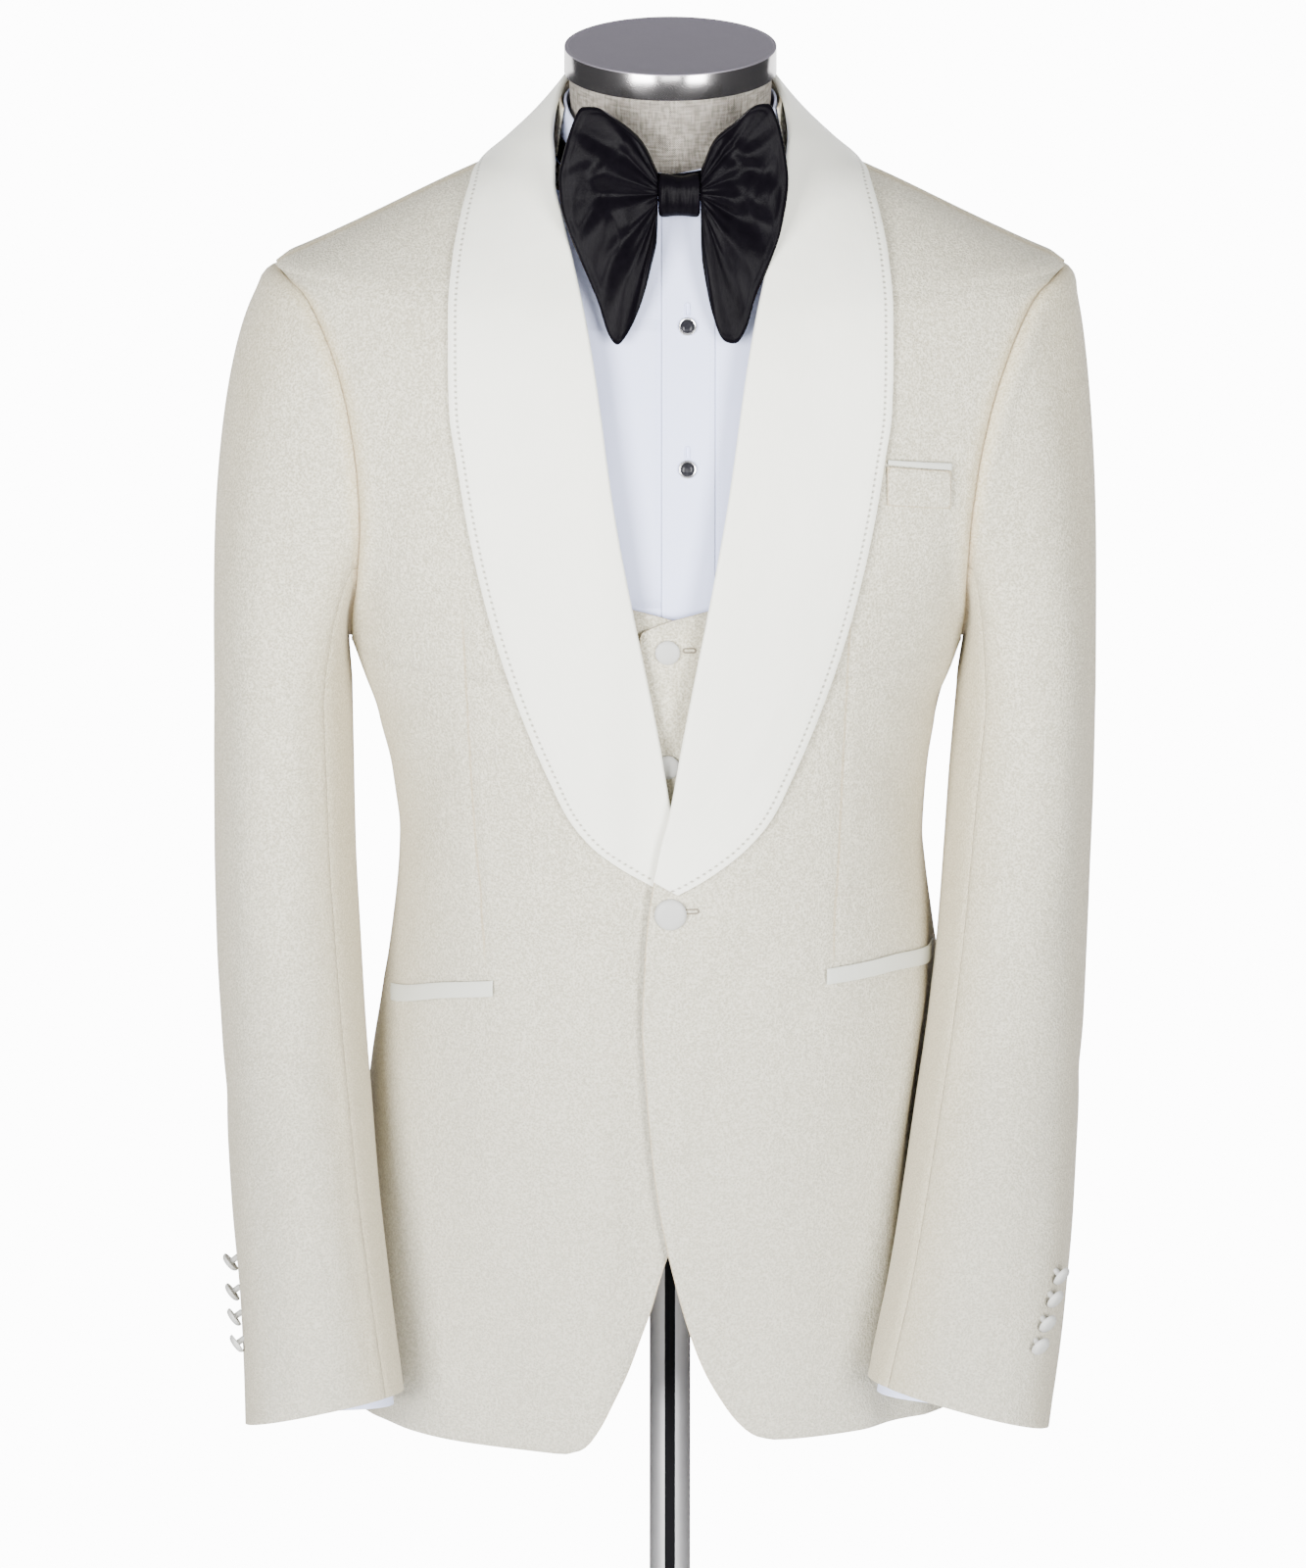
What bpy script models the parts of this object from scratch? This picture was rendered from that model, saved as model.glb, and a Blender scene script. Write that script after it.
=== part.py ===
"""Shawl-collar tuxedo on a limbless dress form.

Dinner jacket, low waistcoat, dress shirt and bow tie, each cut piece its own wall of cloth,
worn by a linen torso with a steel neck cap on a pole and a round foot.

Frame: metres, +Z up, -Y is the wearer's front, +X the wearer's left.
Origin: centre of the foot's underside, on the pole's axis.
"""
import math

import bmesh
import bpy
import numpy as np
from mathutils import Vector

MM = 0.001
CREASE_ANGLE = math.radians(40)
SEAM_GAP = 0.3 * MM          # air left between two pieces that are sewn together
ARMHOLE_GAP = 0.8 * MM       # more where the facets of two curved edges differ
LEFT, RIGHT = 1, -1          # the wearer's sides, as signs of X

# ---- cloth thicknesses -------------------------------------------------------------------
JACKET_CLOTH = 1.8 * MM
LAPEL_CLOTH = 1.5 * MM
WAISTCOAT_CLOTH = 1.5 * MM
SHIRT_CLOTH = 1.0 * MM
COLLAR_CLOTH = 1.2 * MM

# ---- how far each layer's outer face lies outside the form's skin -------------------------
SHIRT_OUT = 1.4 * MM
WAISTCOAT_OUT = 7.6 * MM
WAISTCOAT_OVER = 3.7 * MM    # extra for the front that buttons on top
WAISTCOAT_BACK_EASE = 2.0 * MM
UNDERLAP_SINK = 6.7 * MM     # the jacket's buttoned-under front lies this much deeper
LAPEL_PROUD = 3.6 * MM       # lapel's outer face above the front that it lies on
ROLL_LIFT = 2.5 * MM         # soft roll where the lapel turns out of the front

NECK_COLUMNS = 24            # all bands round the neck share these columns, so they nest
# ---- stand --------------------------------------------------------------------------------
FOOT_RADIUS = 165 * MM
FOOT_THICKNESS = 10 * MM
FOOT_BEVEL = 1.5 * MM
SOCKET_RADIUS = 26 * MM
SOCKET_HEIGHT = 34 * MM
SOCKET_FLANGE = 4 * MM
SOCKET_WALL = 4 * MM
POLE_RADIUS = 12 * MM
POLE_GROOVE = (6.2 * MM, 1.6 * MM)  # width and depth of the slot down the pole's front
TORSO_SLACK = 7.0 * MM       # the torso is this much slimmer than the skin the clothes hang on
SHOULDER_SLACK = 1.5 * MM    # and this much more at the shoulder tips
NECK_BLEND = (1475 * MM, 1494 * MM)          # heights over which the slack fades out
SHOULDER_LOW, SHOULDER_HIGH = (1380 * MM, 1400 * MM), (1422 * MM, 1440 * MM)
TORSO_BOTTOM = 872 * MM
NECK_TOP = 1549 * MM
CAP_RADIUS = 60.5 * MM
CAP_HEIGHT = 15.5 * MM
CAP_BEVEL = 1.0 * MM
CAP_TILT = math.radians(5.5)  # the cap leans towards the front

# Sections of the torso, mm: half width, depth to the front and back, squareness of the oval.
TORSO = (
    # height, half_width, shift, front, back, square
    (872, 148, -3, 103, 98, 2.20),
    (950, 145, -4, 102, 95, 2.20),
    (1030, 139, -4, 101, 91, 2.15),
    (1095, 135, -4, 102, 89, 2.15),
    (1165, 141, -4, 107, 94, 2.15),
    (1212, 153, -3, 112, 100, 2.20),
    (1260, 164, -1, 113, 104, 2.25),
    (1310, 174, 0, 110, 105, 2.25),
    (1360, 182, 0, 103, 101, 2.25),
    (1400, 184, 0, 94, 95, 2.15),
    (1422, 179, 0, 87, 90, 2.15),
    (1436, 165, 0, 81, 85, 2.10),
    (1450, 142, 0, 75, 80, 2.05),
    (1463, 116, 0, 69, 74, 2.00),
    (1475, 92, 0, 64, 68, 2.00),
    (1486, 73, 0, 61, 62, 2.00),
    (1496, 64, 0, 59, 58.5, 2.00),
    (1508, 60, 0, 57.5, 57, 2.00),
    (1524, 57, 0, 57, 57.2, 2.00),
    (1549, 58, 0, 58, 58.2, 2.00),
)

# Sections of the jacket's outer skin, worn and buttoned, mm.
JACKET = (
    # height, half_width, shift, front, back, square
    (740, 189, -6, 131, 127, 2.10),
    (764, 187.5, -6, 131, 126, 2.10),
    (860, 181, -5, 129, 124, 2.12),
    (968, 170, -4, 127, 119, 2.15),
    (1030, 160, -4, 126, 112, 2.15),
    (1095, 153.5, -5, 127, 107, 2.15),
    (1142, 155.5, -6, 129, 109, 2.15),
    (1188, 165.5, -8, 132, 115, 2.15),
    (1219, 176, -8, 133, 119, 2.15),
    (1250, 186, -6, 133, 122, 2.15),
    (1300, 214, -3, 131, 123, 2.15),
    (1360, 232, -1, 121, 119, 2.15),
    (1400, 233, 0, 112, 113, 2.15),
    (1425, 229, 0, 103, 106, 2.15),
    (1438.5, 226, 0, 96, 101, 2.15),
    (1450, 204, 0, 89, 95, 2.10),
    (1460, 183, 0, 83, 90, 2.10),
    (1470, 163, 0, 77, 84, 2.05),
    (1480, 143, 0, 71, 78, 2.05),
    (1490, 122, 0, 66, 76, 2.00),
    (1500, 99, 0, 62, 72, 2.00),
    (1506, 86, 0, 60, 70.5, 2.00),
)

# Jacket front: roll line and outer edge of the lapel, distance from the centre line, mm.
ROLL_LINE = (
    # height, x
    (1105, -9.5), (1123, -5), (1147, 1.5), (1177, 6.4), (1221, 14.4), (1278, 25.4), (1333, 35.1),
    (1370, 40.3), (1414, 47.1), (1449, 55.2), (1474, 61.5), (1490, 65.5), (1506, 67.5),
)
LAPEL_EDGE = (
    # height, x
    (1097, 2), (1102, 11.7), (1110.6, 25.4), (1124, 42.4), (1139, 55.4), (1161, 66.5), (1189, 78.7),
    (1243, 97.7), (1282, 107.9), (1314, 114.7), (1344, 119.8), (1384, 124.8), (1427, 125.0),
    (1454, 122.6), (1475, 117.8), (1494, 111),
)
# Where each cross-line of the lapel starts and ends, mm.
LAPEL_LINES = (
    # roll_height, edge_height
    (1106, 1098), (1114, 1103), (1126, 1112), (1141, 1125), (1160, 1142), (1183, 1164), (1208, 1191),
    (1234, 1222), (1260, 1254), (1287, 1286), (1314, 1316), (1342, 1346), (1370, 1373),
    (1399, 1400), (1428, 1428), (1455, 1454), (1477, 1475), (1493, 1488),
)
# The shawl collar round the neck, from the shoulder to the centre of the back, mm.
COLLAR_LINES = (
    # roll_x, roll_y, roll_z, edge_x, edge_y, edge_z
    (68.0, -49, 1507, 112, -14, 1497),
    (69.5, -36, 1520, 110, 0, 1497.5),
    (68.5, -18, 1530, 107, 15, 1498.5),
    (65.0, 3, 1538, 101, 33, 1497),
    (60.2, 24.4, 1544, 90, 52, 1493.5),
    (47.5, 44.6, 1548, 72, 70, 1490.5),
    (26.9, 59.6, 1550, 42, 82, 1489),
    (0.0, 65.2, 1551, 0, 86, 1488),
)

# Front edges below the lapel, x in mm (the wearer's left front laps over the right one).
OVER_EDGE = (
    # height, x
    (771, 60), (773, 51.5), (781, 40.6), (798, 28.3), (816, 18.7), (840, 10), (873, 1.1), (886, -1.9),
    (919, -7.9), (954, -11.8), (989, -14.6), (1018, -16.2), (1047, -15.2), (1076, -13.5), (1105, -9.5),
)
UNDER_EDGE = (
    # height, x on the wearer's right front, measured across the centre line
    (763, -60), (766, -51), (775, -43), (796, -32), (812, -24.5), (830, -17.8), (848, -11.3),
    (873, -4), (886, 0.5), (919, 8), (954, 13), (1000, 16), (1050, 15), (1105, 9.5),
)
# Height of the hem above HEM_HEIGHT, by the turn round the body (0 front, 180 back), mm.
HEM_HEIGHT = 765 * MM
HEM_RISE = {
    # turn, rise
    LEFT: ((0, 6), (35, 6), (60, 6.5), (90, 9), (130, 24), (180, 40)),
    RIGHT: ((0, -2), (35, -1), (60, 2), (90, 9), (130, 24), (180, 40)),
}
HEM_BLEND = 130 * MM          # the hem's rise fades out over this height
BODY_ROWS = (0, 3, 11, 28, 52, 90, 140, 195, 250, 305, 360, 415, 454, 472, 500, 535, 570, 600, 625,
             648, 664)                  # heights of the cloth's rows above the hem, mm
SHOULDER_ROWS = (1438.5, 1449, 1460, 1471, 1482, 1492, 1501)  # rows that cross the shoulder slope

# Armhole of the jacket, distance of its seam from the body's middle, mm.
ARMHOLE = (
    # height, front_x, back_x
    (1219, 176, 176), (1226, 176, 177), (1240, 176.5, 180), (1266, 174.5, 182), (1296, 174, 183.5),
    (1331, 176.5, 185.5), (1366, 182.5, 189), (1396, 191.5, 196), (1418, 201.5, 205),
    (1431, 211, 213), (1438.5, 226, 226),
)
ARMHOLE_LOW = 1219 * MM
SHOULDER_TIP = 1438 * MM       # rows above this cross the shoulder slope
SIDE_SEAM = ((740, 106), (1095, 101), (1219, 90))   # height mm, turn of the side seam
BREAK_HEIGHT = 1105 * MM       # the lapel's roll starts here, at the button
UNDERLAP_SPAN = (-42 * MM, -13 * MM)   # x over which the buttoned-under front sinks
LAPEL_ROLL_SPAN = (1140 * MM, 1220 * MM)   # height over which the lapel's soft roll grows
COLLAR_PUFF = 1.5 * MM         # the shawl collar's cross-lines bow up by this much
FRONT_COLUMNS, BACK_COLUMNS, LAPEL_COLUMNS = 8, 6, 4
FRONT_CROWDING = 0.92          # the front's columns lie closer at its edge

# Jacket sleeves, mm: how far out and in each section reaches, its middle's y and half depth.
SLEEVES = {
    RIGHT: (
        # height, outer, inner, middle_y, half_depth
        (1190, 263.5, 183.5, -4, 77),
        (1142, 264.0, 182.7, -8, 76),
        (1095, 264.0, 181.8, -14, 74),
        (1047, 262.8, 179.4, -24, 71),
        (1000, 259.8, 176.6, -40, 68),
        (952, 256.6, 172.6, -60, 64),
        (905, 253.1, 168.4, -80, 60),
        (857, 248.4, 162.8, -95, 56),
        (820, 246.5, 158.3, -104, 52),
        (787, 245.6, 153.8, -110, 49),
    ),
    LEFT: (
        # height, outer, inner, middle_y, half_depth
        (1190, 246.0, 165.5, -4, 77),
        (1142, 245.3, 161.5, -8, 76),
        (1095, 243.6, 158.2, -16, 74),
        (1047, 241.4, 154.3, -30, 71),
        (1000, 238.8, 148.7, -50, 67),
        (952, 235.5, 141.4, -72, 63),
        (905, 232.2, 134.3, -92, 58),
        (857, 227.4, 126.6, -107, 53),
        (822, 222.8, 119.4, -117, 49),
        (795, 218.4, 113.8, -124, 45),
    ),
}
# How the cuff's plane tilts: rise per mm inwards and per mm forwards.
CUFF_TILT = {RIGHT: (0.22, 0.22), LEFT: (0.29, 0.16)}
SLEEVE_HEAD_ROWS = 5
# Roundness of a sleeve's head, as a share of its length: over the shoulder, under the arm.
SLEEVE_HEAD_PUSH = {RIGHT: (0.57, 0.25), LEFT: (0.26, 0.25)}
SHIRT_HEAD_PUSH = (0.9, 1.5)
SLEEVE_HEAD_FALL = 0.99
# Where the sleeve's two seams run, degrees round the section (0 front, 90 outside), from the top.
FOREARM_SEAM = (-38, -52)
HIND_SEAM = {RIGHT: (152, 106), LEFT: (152, 70)}
SLEEVE_SLIT = 0.25             # each panel stops this many degrees short of its seam
SLEEVE_SQUARE = 0.93           # below 1 the sleeve's oval is a little squarer
TOP_SLEEVE_COLUMNS = 12
UNDER_SLEEVE_COLUMNS = 8
ARM_ROWS = 9

# Waistcoat, mm.
WAISTCOAT_NECK = (
    # height, x
    (1250, 0), (1256, 8), (1265, 30), (1290, 56), (1330, 76), (1380, 86), (1430, 88), (1462, 84),
)
WAISTCOAT_ARM = (
    # height, x
    (1200, 149), (1208, 148), (1218, 145), (1240, 140), (1280, 134), (1340, 132), (1400, 134),
    (1440, 137), (1452, 139),
)
WAISTCOAT_ARM_LOW = 1200 * MM
WAISTCOAT_SKIRT_ROWS = (975, 1020, 1065, 1110, 1155, 1199.9)
WAISTCOAT_FRONT_ROWS = WAISTCOAT_SKIRT_ROWS + (1208, 1228, 1249, 1256, 1265, 1290, 1330, 1370, 1410, 1440)
WAISTCOAT_BACK_ROWS = (975, 1035, 1095, 1145, 1199.9, 1210, 1232, 1262, 1310, 1370, 1410, 1440)
WAISTCOAT_LAP = 17 * MM
WAISTCOAT_LAP_TOP = (1247 * MM, 1268 * MM)     # height over which the lap turns into the neckline
WAISTCOAT_LAP_SPAN = (18 * MM, 45 * MM)        # x over which the front on top comes down
WAISTCOAT_BACK_REACH = 6 * MM                  # the back is this much wider at the armholes
STRAP_LINES = (88, 104, 120, 136)              # x of the shoulder straps' columns
STRAP_ROWS = 8
STRAP_RISE = 0.8
WAISTCOAT_BUTTONS = (1239, 1172, 1106, 1040)
WAISTCOAT_BUTTON_X = -1.7 * MM

# Shirt, mm.
SHIRT_ARM = (
    # height, front_x, back_x
    (1262, 165, 165), (1268, 162, 164), (1283, 157, 162), (1310, 153, 160), (1350, 158, 163),
    (1385, 164, 168), (1408, 170, 173), (1423, 178.5, 178.5),
)
SHIRT_ROWS = (905, 995, 1085, 1175, 1222, 1262, 1283, 1318, 1358, 1393, 1423, 1437, 1453, 1470, 1486)
PLACKET_LOW = 1000 * MM
PLACKET_WIDTH = 30 * MM
PLACKET_X = 10 * MM
PLACKET_OVER = 0.3 * MM         # the placket's extra thickness
SHIRT_SLEEVE_SLACK = (10 * MM, 8.2 * MM)   # how far it lies inside the jacket's, upper arm and wrist
SHIRT_SLEEVE_SPAN = (0.12, 0.96)           # the part of the jacket sleeve's length that it fills
SHIRT_SLEEVE_COLUMNS, SHIRT_SLEEVE_ROWS = 10, 4
SHIRT_CUFF_SLACK = 6.4 * MM
SHIRT_CUFF_SHARES = (0.945, 0.9825, 1.0)   # rows of the cuff along the jacket sleeve's length
SHIRT_CUFF_COLUMNS = 20
SHIRT_CUFF_SHOWS = 6.8 * MM     # how far the shirt's cuff reaches out of the jacket's, at the inner side
SHIRT_CUFF_SLANT = 0.2          # and how much less for each mm outwards
STUD_HEIGHTS = (1419, 1341)
STUD_X = 9.5 * MM
STUD_PROFILE = ((4.2, 0), (5.2, 0.6), (5.2, 1.6), (4.0, 2.6), (2.0, 3.2))   # radius, rise

# Bands round the neck, mm; the tie's band and the collar's stand are set off from the shirt's collar.
NECK_RADIUS = ((1486, 67.5), (1500, 65.4), (1520, 62.8), (1530, 61.2), (1541, 59.4))  # height, radius
NECK_FRONT = 1.06              # the bands reach this much further forward than sideways
SHIRT_COLLAR_TOP = (
    # turn, height
    (0, 1503), (20, 1507), (45, 1518), (70, 1529), (90, 1535), (135, 1539), (180, 1541),
)
SHIRT_COLLAR_FOOT = ((0, 1489), (40, 1492), (80, 1499), (180, 1499))
COLLAR_STAND_TURN = 75         # the jacket collar's stand runs round the back between these turns
COLLAR_STAND_TOP = ((75, 1532), (90, 1535.5), (115, 1541), (140, 1544.5), (180, 1547))
COLLAR_STAND_FOOT = 1504 * MM
COLLAR_STAND_OFFSET = 2.9 * MM
TIE_BAND_OFFSET = 1.4 * MM
TIE_BAND_MIDDLE = ((0, 1497), (60, 1505), (90, 1511), (180, 1515))
TIE_BAND_WIDTH = 13 * MM
TIE_BAND_CLOTH = 1.0 * MM

# Small parts.
JACKET_BUTTON = (0.0 * MM, 1086 * MM, 10.2 * MM)      # x, z, radius
WAISTCOAT_BUTTON_RADIUS = 7.8 * MM
CUFF_BUTTON_RADIUS = 6.6 * MM
CUFF_BUTTONS = {
    # rise above the cuff's edge in mm, angle round the sleeve in degrees
    RIGHT: ((48.5, 74), (62.5, 80), (75.5, 87), (91, 92)),
    LEFT: ((48, 41), (60.5, 44.5), (74, 49), (86.5, 53)),
}
CUFF_BUTTON_DROOP = math.radians(34)                   # they hang on their thread, face down by this
# How far each button's shank starts outside the curved cloth, whose facets lie just under it.
JACKET_BUTTON_SEAT = -0.3 * MM
CUFF_BUTTON_SEAT = 2.0 * MM
WAISTCOAT_BUTTON_SEAT = -0.2 * MM
BUTTON_SHANK, CUFF_BUTTON_SHANK = 0.9 * MM, 2.8 * MM
BUTTON_DOME = 1.8 * MM
WAISTCOAT_BUTTON_DOME = 1.1 * MM
CUFF_BUTTON_DOME = 2.2 * MM
HIP_WELT = {
    # middle line of the welt: x, z
    LEFT: ((89, 1043.5), (124, 1043.5), (153, 1038)),
    RIGHT: ((101, 1036), (130, 1029), (160, 1016)),
}
HIP_WELT_HEIGHT = 9.5 * MM
BREAST_WELT = ((122, 1332), (158, 1326.5))             # ends of its middle line, x and z
BREAST_WELT_HEIGHT = 22 * MM
BREAST_TRIM_HEIGHT = 4.2 * MM
BREAST_TRIM_SHIFT = 0.5                                # the strip starts this much further out, mm
PATCH_CLOTH = 1.2 * MM
PATCH_PROUD = 2.2 * MM                                 # a welt's outer face above the jacket's skin

# Bow tie, mm. The outline of each wing runs from the knot's top round to its bottom.
KNOT = (4.9, 1493.5, 11.8, 13.2)                       # middle x, z, half width, half height
BOW_Y = -78.2 * MM
KNOT_DEPTH = 8.5 * MM
KNOT_PROUD = 2 * MM                                    # the knot's middle before the bow's plane
KNOT_ENDS, KNOT_PINCH = 0.72, 0.10                     # size of its ends, and how far its waist is drawn in
KNOT_ROWS, KNOT_COLUMNS = 6, 12
BOW_LEAN = 0.225                                       # how fast the wings come forward downwards
WING_EDGE = 0.9 * MM                                   # half thickness of a wing at its outline
WING_ROOT = 0.85                                       # share of the knot's height that a wing fills
WING_LAYERS = (
    # name, before_the_bow's_plane, depth, spread, pleats, rays
    ("bow_wing", 4 * MM, 10 * MM, 1.0, 1.6 * MM, 5),
    ("bow_back_wing", -4.5 * MM, 2.5 * MM, 0.95, 0.0, 2),
)
PLEATS = 3.5                                           # folds across a wing's root
WING_OUTLINES = {
    RIGHT: ((-7.3, 1506), (-16.3, 1524), (-32.8, 1538), (-43, 1543.5), (-50, 1543.5), (-55, 1535),
            (-59.5, 1521), (-63, 1504), (-62, 1488), (-57.6, 1474), (-49.4, 1454.5), (-41, 1435),
            (-34.5, 1416), (-30, 1411), (-25.7, 1415.5), (-16.3, 1435), (-10.8, 1455), (-7.6, 1470),
            (-7.3, 1481)),
    LEFT: ((17, 1507), (25, 1525), (38, 1536), (49.7, 1545), (55.2, 1545.5), (59.6, 1538),
           (64, 1521), (66.5, 1502), (62.5, 1475), (55.5, 1455), (48.3, 1439), (42, 1419),
           (36.5, 1412), (31, 1413), (24, 1427), (19.5, 1447), (17.4, 1461), (17, 1472), (17, 1482)),
}

COLOURS = {
    # material: red, green, blue, roughness, metallic
    "jacquard": (0.78, 0.74, 0.65, 0.62, 0.0),
    "satin_ivory": (0.80, 0.79, 0.73, 0.35, 0.0),
    "shirting": (0.82, 0.84, 0.93, 0.70, 0.0),
    "satin_black": (0.010, 0.009, 0.012, 0.32, 0.0),
    "linen": (0.50, 0.46, 0.40, 0.90, 0.0),
    "steel": (0.60, 0.60, 0.62, 0.25, 1.0),
    "stud_black": (0.01, 0.01, 0.01, 0.12, 0.0),
}


# ================================ curves and skins ==========================================
def smooth_curve(pairs):
    """Return a function that runs smoothly through (key, value) pairs and never overshoots."""
    keys = np.array([pair[0] for pair in pairs], float)
    values = np.array([pair[1] for pair in pairs], float)
    steps = np.diff(keys)
    slopes = np.diff(values) / steps
    tangents = np.zeros(len(keys))
    tangents[0], tangents[-1] = slopes[0], slopes[-1]
    for i in range(1, len(keys) - 1):
        if slopes[i - 1] * slopes[i] > 0:
            weight_a = 2 * steps[i] + steps[i - 1]
            weight_b = steps[i] + 2 * steps[i - 1]
            tangents[i] = (weight_a + weight_b) / (weight_a / slopes[i - 1] + weight_b / slopes[i])

    def value(key):
        key = min(max(key, keys[0]), keys[-1])
        i = min(int(np.searchsorted(keys, key, side="right")) - 1, len(keys) - 2)
        t = (key - keys[i]) / steps[i]
        return float((1 + 2 * t) * (1 - t) ** 2 * values[i] + t * (1 - t) ** 2 * steps[i] * tangents[i]
                     + t * t * (3 - 2 * t) * values[i + 1] + t * t * (t - 1) * steps[i] * tangents[i + 1])

    return value


def curve_mm(pairs):
    """A smooth curve of millimetre pairs that is asked, and answers, in metres."""
    inner = smooth_curve(pairs)
    return lambda key: inner(key / MM) * MM


def smoothstep(low, high, value):
    t = min(max((value - low) / (high - low), 0.0), 1.0)
    return t * t * (3 - 2 * t)


def lerp(a, b, t):
    return a + (b - a) * t


class Skin:
    """A body of oval sections stacked by height; points are found by turn or by x."""

    def __init__(self, table):
        self.columns = [smooth_curve([(row[0], row[i]) for row in table]) for i in range(1, 6)]
        self.low, self.high = table[0][0] * MM, table[-1][0] * MM

    def section(self, z):
        width, shift, front, back, square = (column(z / MM) for column in self.columns)
        return width * MM, shift * MM, front * MM, back * MM, square

    def base(self, turn, z):
        """Point at a turn in degrees: 0 centre front, 90 the wearer's left, 180 centre back."""
        width, shift, front, back, square = self.section(z)
        s, c = math.sin(math.radians(turn)), math.cos(math.radians(turn))
        depth = front if c > 0 else back
        x = shift + width * math.copysign(abs(s) ** (2 / square), s)
        y = -depth * math.copysign(abs(c) ** (2 / square), c)
        return Vector((x, y, z))

    def normal(self, turn, z):
        """Outward unit normal, by differences; wider ones at the sides, where turns crowd."""
        step_turn, step_z = 0.6, 1.5 * MM
        if abs(math.cos(math.radians(turn))) < 0.02:
            step_turn = 3.0
        across = self.base(turn + step_turn, z) - self.base(turn - step_turn, z)
        up = self.base(turn, min(z + step_z, self.high)) - self.base(turn, max(z - step_z, self.low))
        return across.cross(up).normalized()

    def point(self, turn, z, out=0.0):
        return self.base(turn, z) + self.normal(turn, z) * out

    def turn_at(self, x, z, back=False):
        """Turn whose point has this x; x is signed and counted from the centre line."""
        width, shift, _, _, square = self.section(z)
        share = min(abs(x - shift) / width, 1.0)
        turn = math.degrees(math.asin(share ** (square / 2)))
        turn = 180 - turn if back else turn
        return math.copysign(turn, x - shift)

    def turn_from_middle(self, distance, z, side, back=False):
        """Turn whose point lies this far from the section's own middle."""
        _, shift, _, _, _ = self.section(z)
        return self.turn_at(shift + side * distance, z, back)


class JacketSkin(Skin):
    """The jacket's skin, which gives way where the sleeves press on it."""

    clearance = 3.0 * MM         # air kept between the skirt and a sleeve
    softness = 6 * MM            # the cloth starts to give way this far before the sleeve
    highest = 1190 * MM          # above this height the sleeve is still part of the armhole
    narrowest = 60 * MM          # the front and back near the centre line are never pressed

    def __init__(self, table):
        super().__init__(table)
        self.arms = {side: [curve_mm([(row[0], row[i]) for row in rows[::-1]]) for i in range(1, 5)]
                     for side, rows in SLEEVES.items()}

    def base(self, turn, z):
        point = super().base(turn, z)
        side = LEFT if point.x > 0 else RIGHT
        if z > self.highest or abs(point.x) < self.narrowest:
            return point
        outer, inner, middle, depth = (column(z) for column in self.arms[side])
        half = (outer - inner) / 2 + self.clearance
        share = (point.y - middle) / (depth + self.clearance)
        if abs(share) >= 1:
            return point
        wall_x = (outer + inner) / 2 - half * math.sqrt(1 - share * share)
        overlap = abs(point.x) - wall_x
        if overlap > -self.softness:
            eased = (overlap + self.softness) ** 2 / (4 * self.softness)
            point.x -= side * (overlap if overlap > self.softness else eased)
        return point


torso_skin = Skin(TORSO)
jacket_skin = JacketSkin(JACKET)
roll_x = curve_mm(ROLL_LINE)
lapel_edge_x = curve_mm(LAPEL_EDGE)
over_edge_x = curve_mm(OVER_EDGE)
under_edge_x = curve_mm(UNDER_EDGE)
hem_rise = {wearer_side: smooth_curve(rise) for wearer_side, rise in HEM_RISE.items()}
side_seam_turn = smooth_curve(SIDE_SEAM)
neck_radius = curve_mm(NECK_RADIUS)
waistcoat_neck_x = curve_mm(WAISTCOAT_NECK)
waistcoat_arm_x = curve_mm(WAISTCOAT_ARM)


# ================================ meshes ====================================================
def new_object(name, verts, faces, material):
    """One named solid with its own material and outward normals."""
    mesh = bpy.data.meshes.new(name)
    mesh.from_pydata([tuple(v) for v in verts], [], faces)
    mesh.validate()
    obj = bpy.data.objects.new(name, mesh)
    model.objects.link(obj)
    mesh.materials.append(material_named(material))
    shell = bmesh.new()
    shell.from_mesh(mesh)
    bmesh.ops.recalc_face_normals(shell, faces=shell.faces)
    shell.to_mesh(mesh)
    shell.free()
    mesh.shade_smooth()
    mesh.set_sharp_from_angle(angle=CREASE_ANGLE)


def wall(name, outer, inner, material, closed=False):
    """Closed wall between two grids of points (rows of equal length); closed joins row ends."""
    rows, columns = len(outer), len(outer[0])
    verts = [p for row in outer for p in row] + [p for row in inner for p in row]
    half = rows * columns
    spans = columns if closed else columns - 1
    faces = []
    for r in range(rows - 1):
        for c in range(spans):
            a, b = r * columns + c, r * columns + (c + 1) % columns
            d, e = a + columns, b + columns
            faces.append((a, b, e, d))
            faces.append((half + a, half + d, half + e, half + b))
    for c in range(spans):
        a, b = c, (c + 1) % columns
        faces.append((a, half + a, half + b, b))
        a, b = (rows - 1) * columns + a, (rows - 1) * columns + b
        faces.append((a, b, half + b, half + a))
    if not closed:
        for r in range(rows - 1):
            a, d = r * columns, (r + 1) * columns
            faces.append((a, d, half + d, half + a))
            a, d = a + columns - 1, d + columns - 1
            faces.append((a, half + a, half + d, d))
    new_object(name, verts, faces, material)


def grid_normals(grid, closed=False):
    """Unit normals of a grid of points, by differences."""
    rows, columns = len(grid), len(grid[0])
    normals = []
    for r in range(rows):
        line = []
        for c in range(columns):
            if closed:
                across = grid[r][(c + 1) % columns] - grid[r][c - 1]
            else:
                across = grid[r][min(c + 1, columns - 1)] - grid[r][max(c - 1, 0)]
            up = grid[min(r + 1, rows - 1)][c] - grid[max(r - 1, 0)][c]
            line.append(across.cross(up).normalized())
        normals.append(line)
    return normals


def moved(grid, normals, distance):
    return [[p + n * distance for p, n in zip(row, line)] for row, line in zip(grid, normals)]


def sheet(name, grid, normals, thickness, material, closed=False):
    """Wall whose outer face is the grid."""
    wall(name, grid, moved(grid, normals, -thickness), material, closed)


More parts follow.
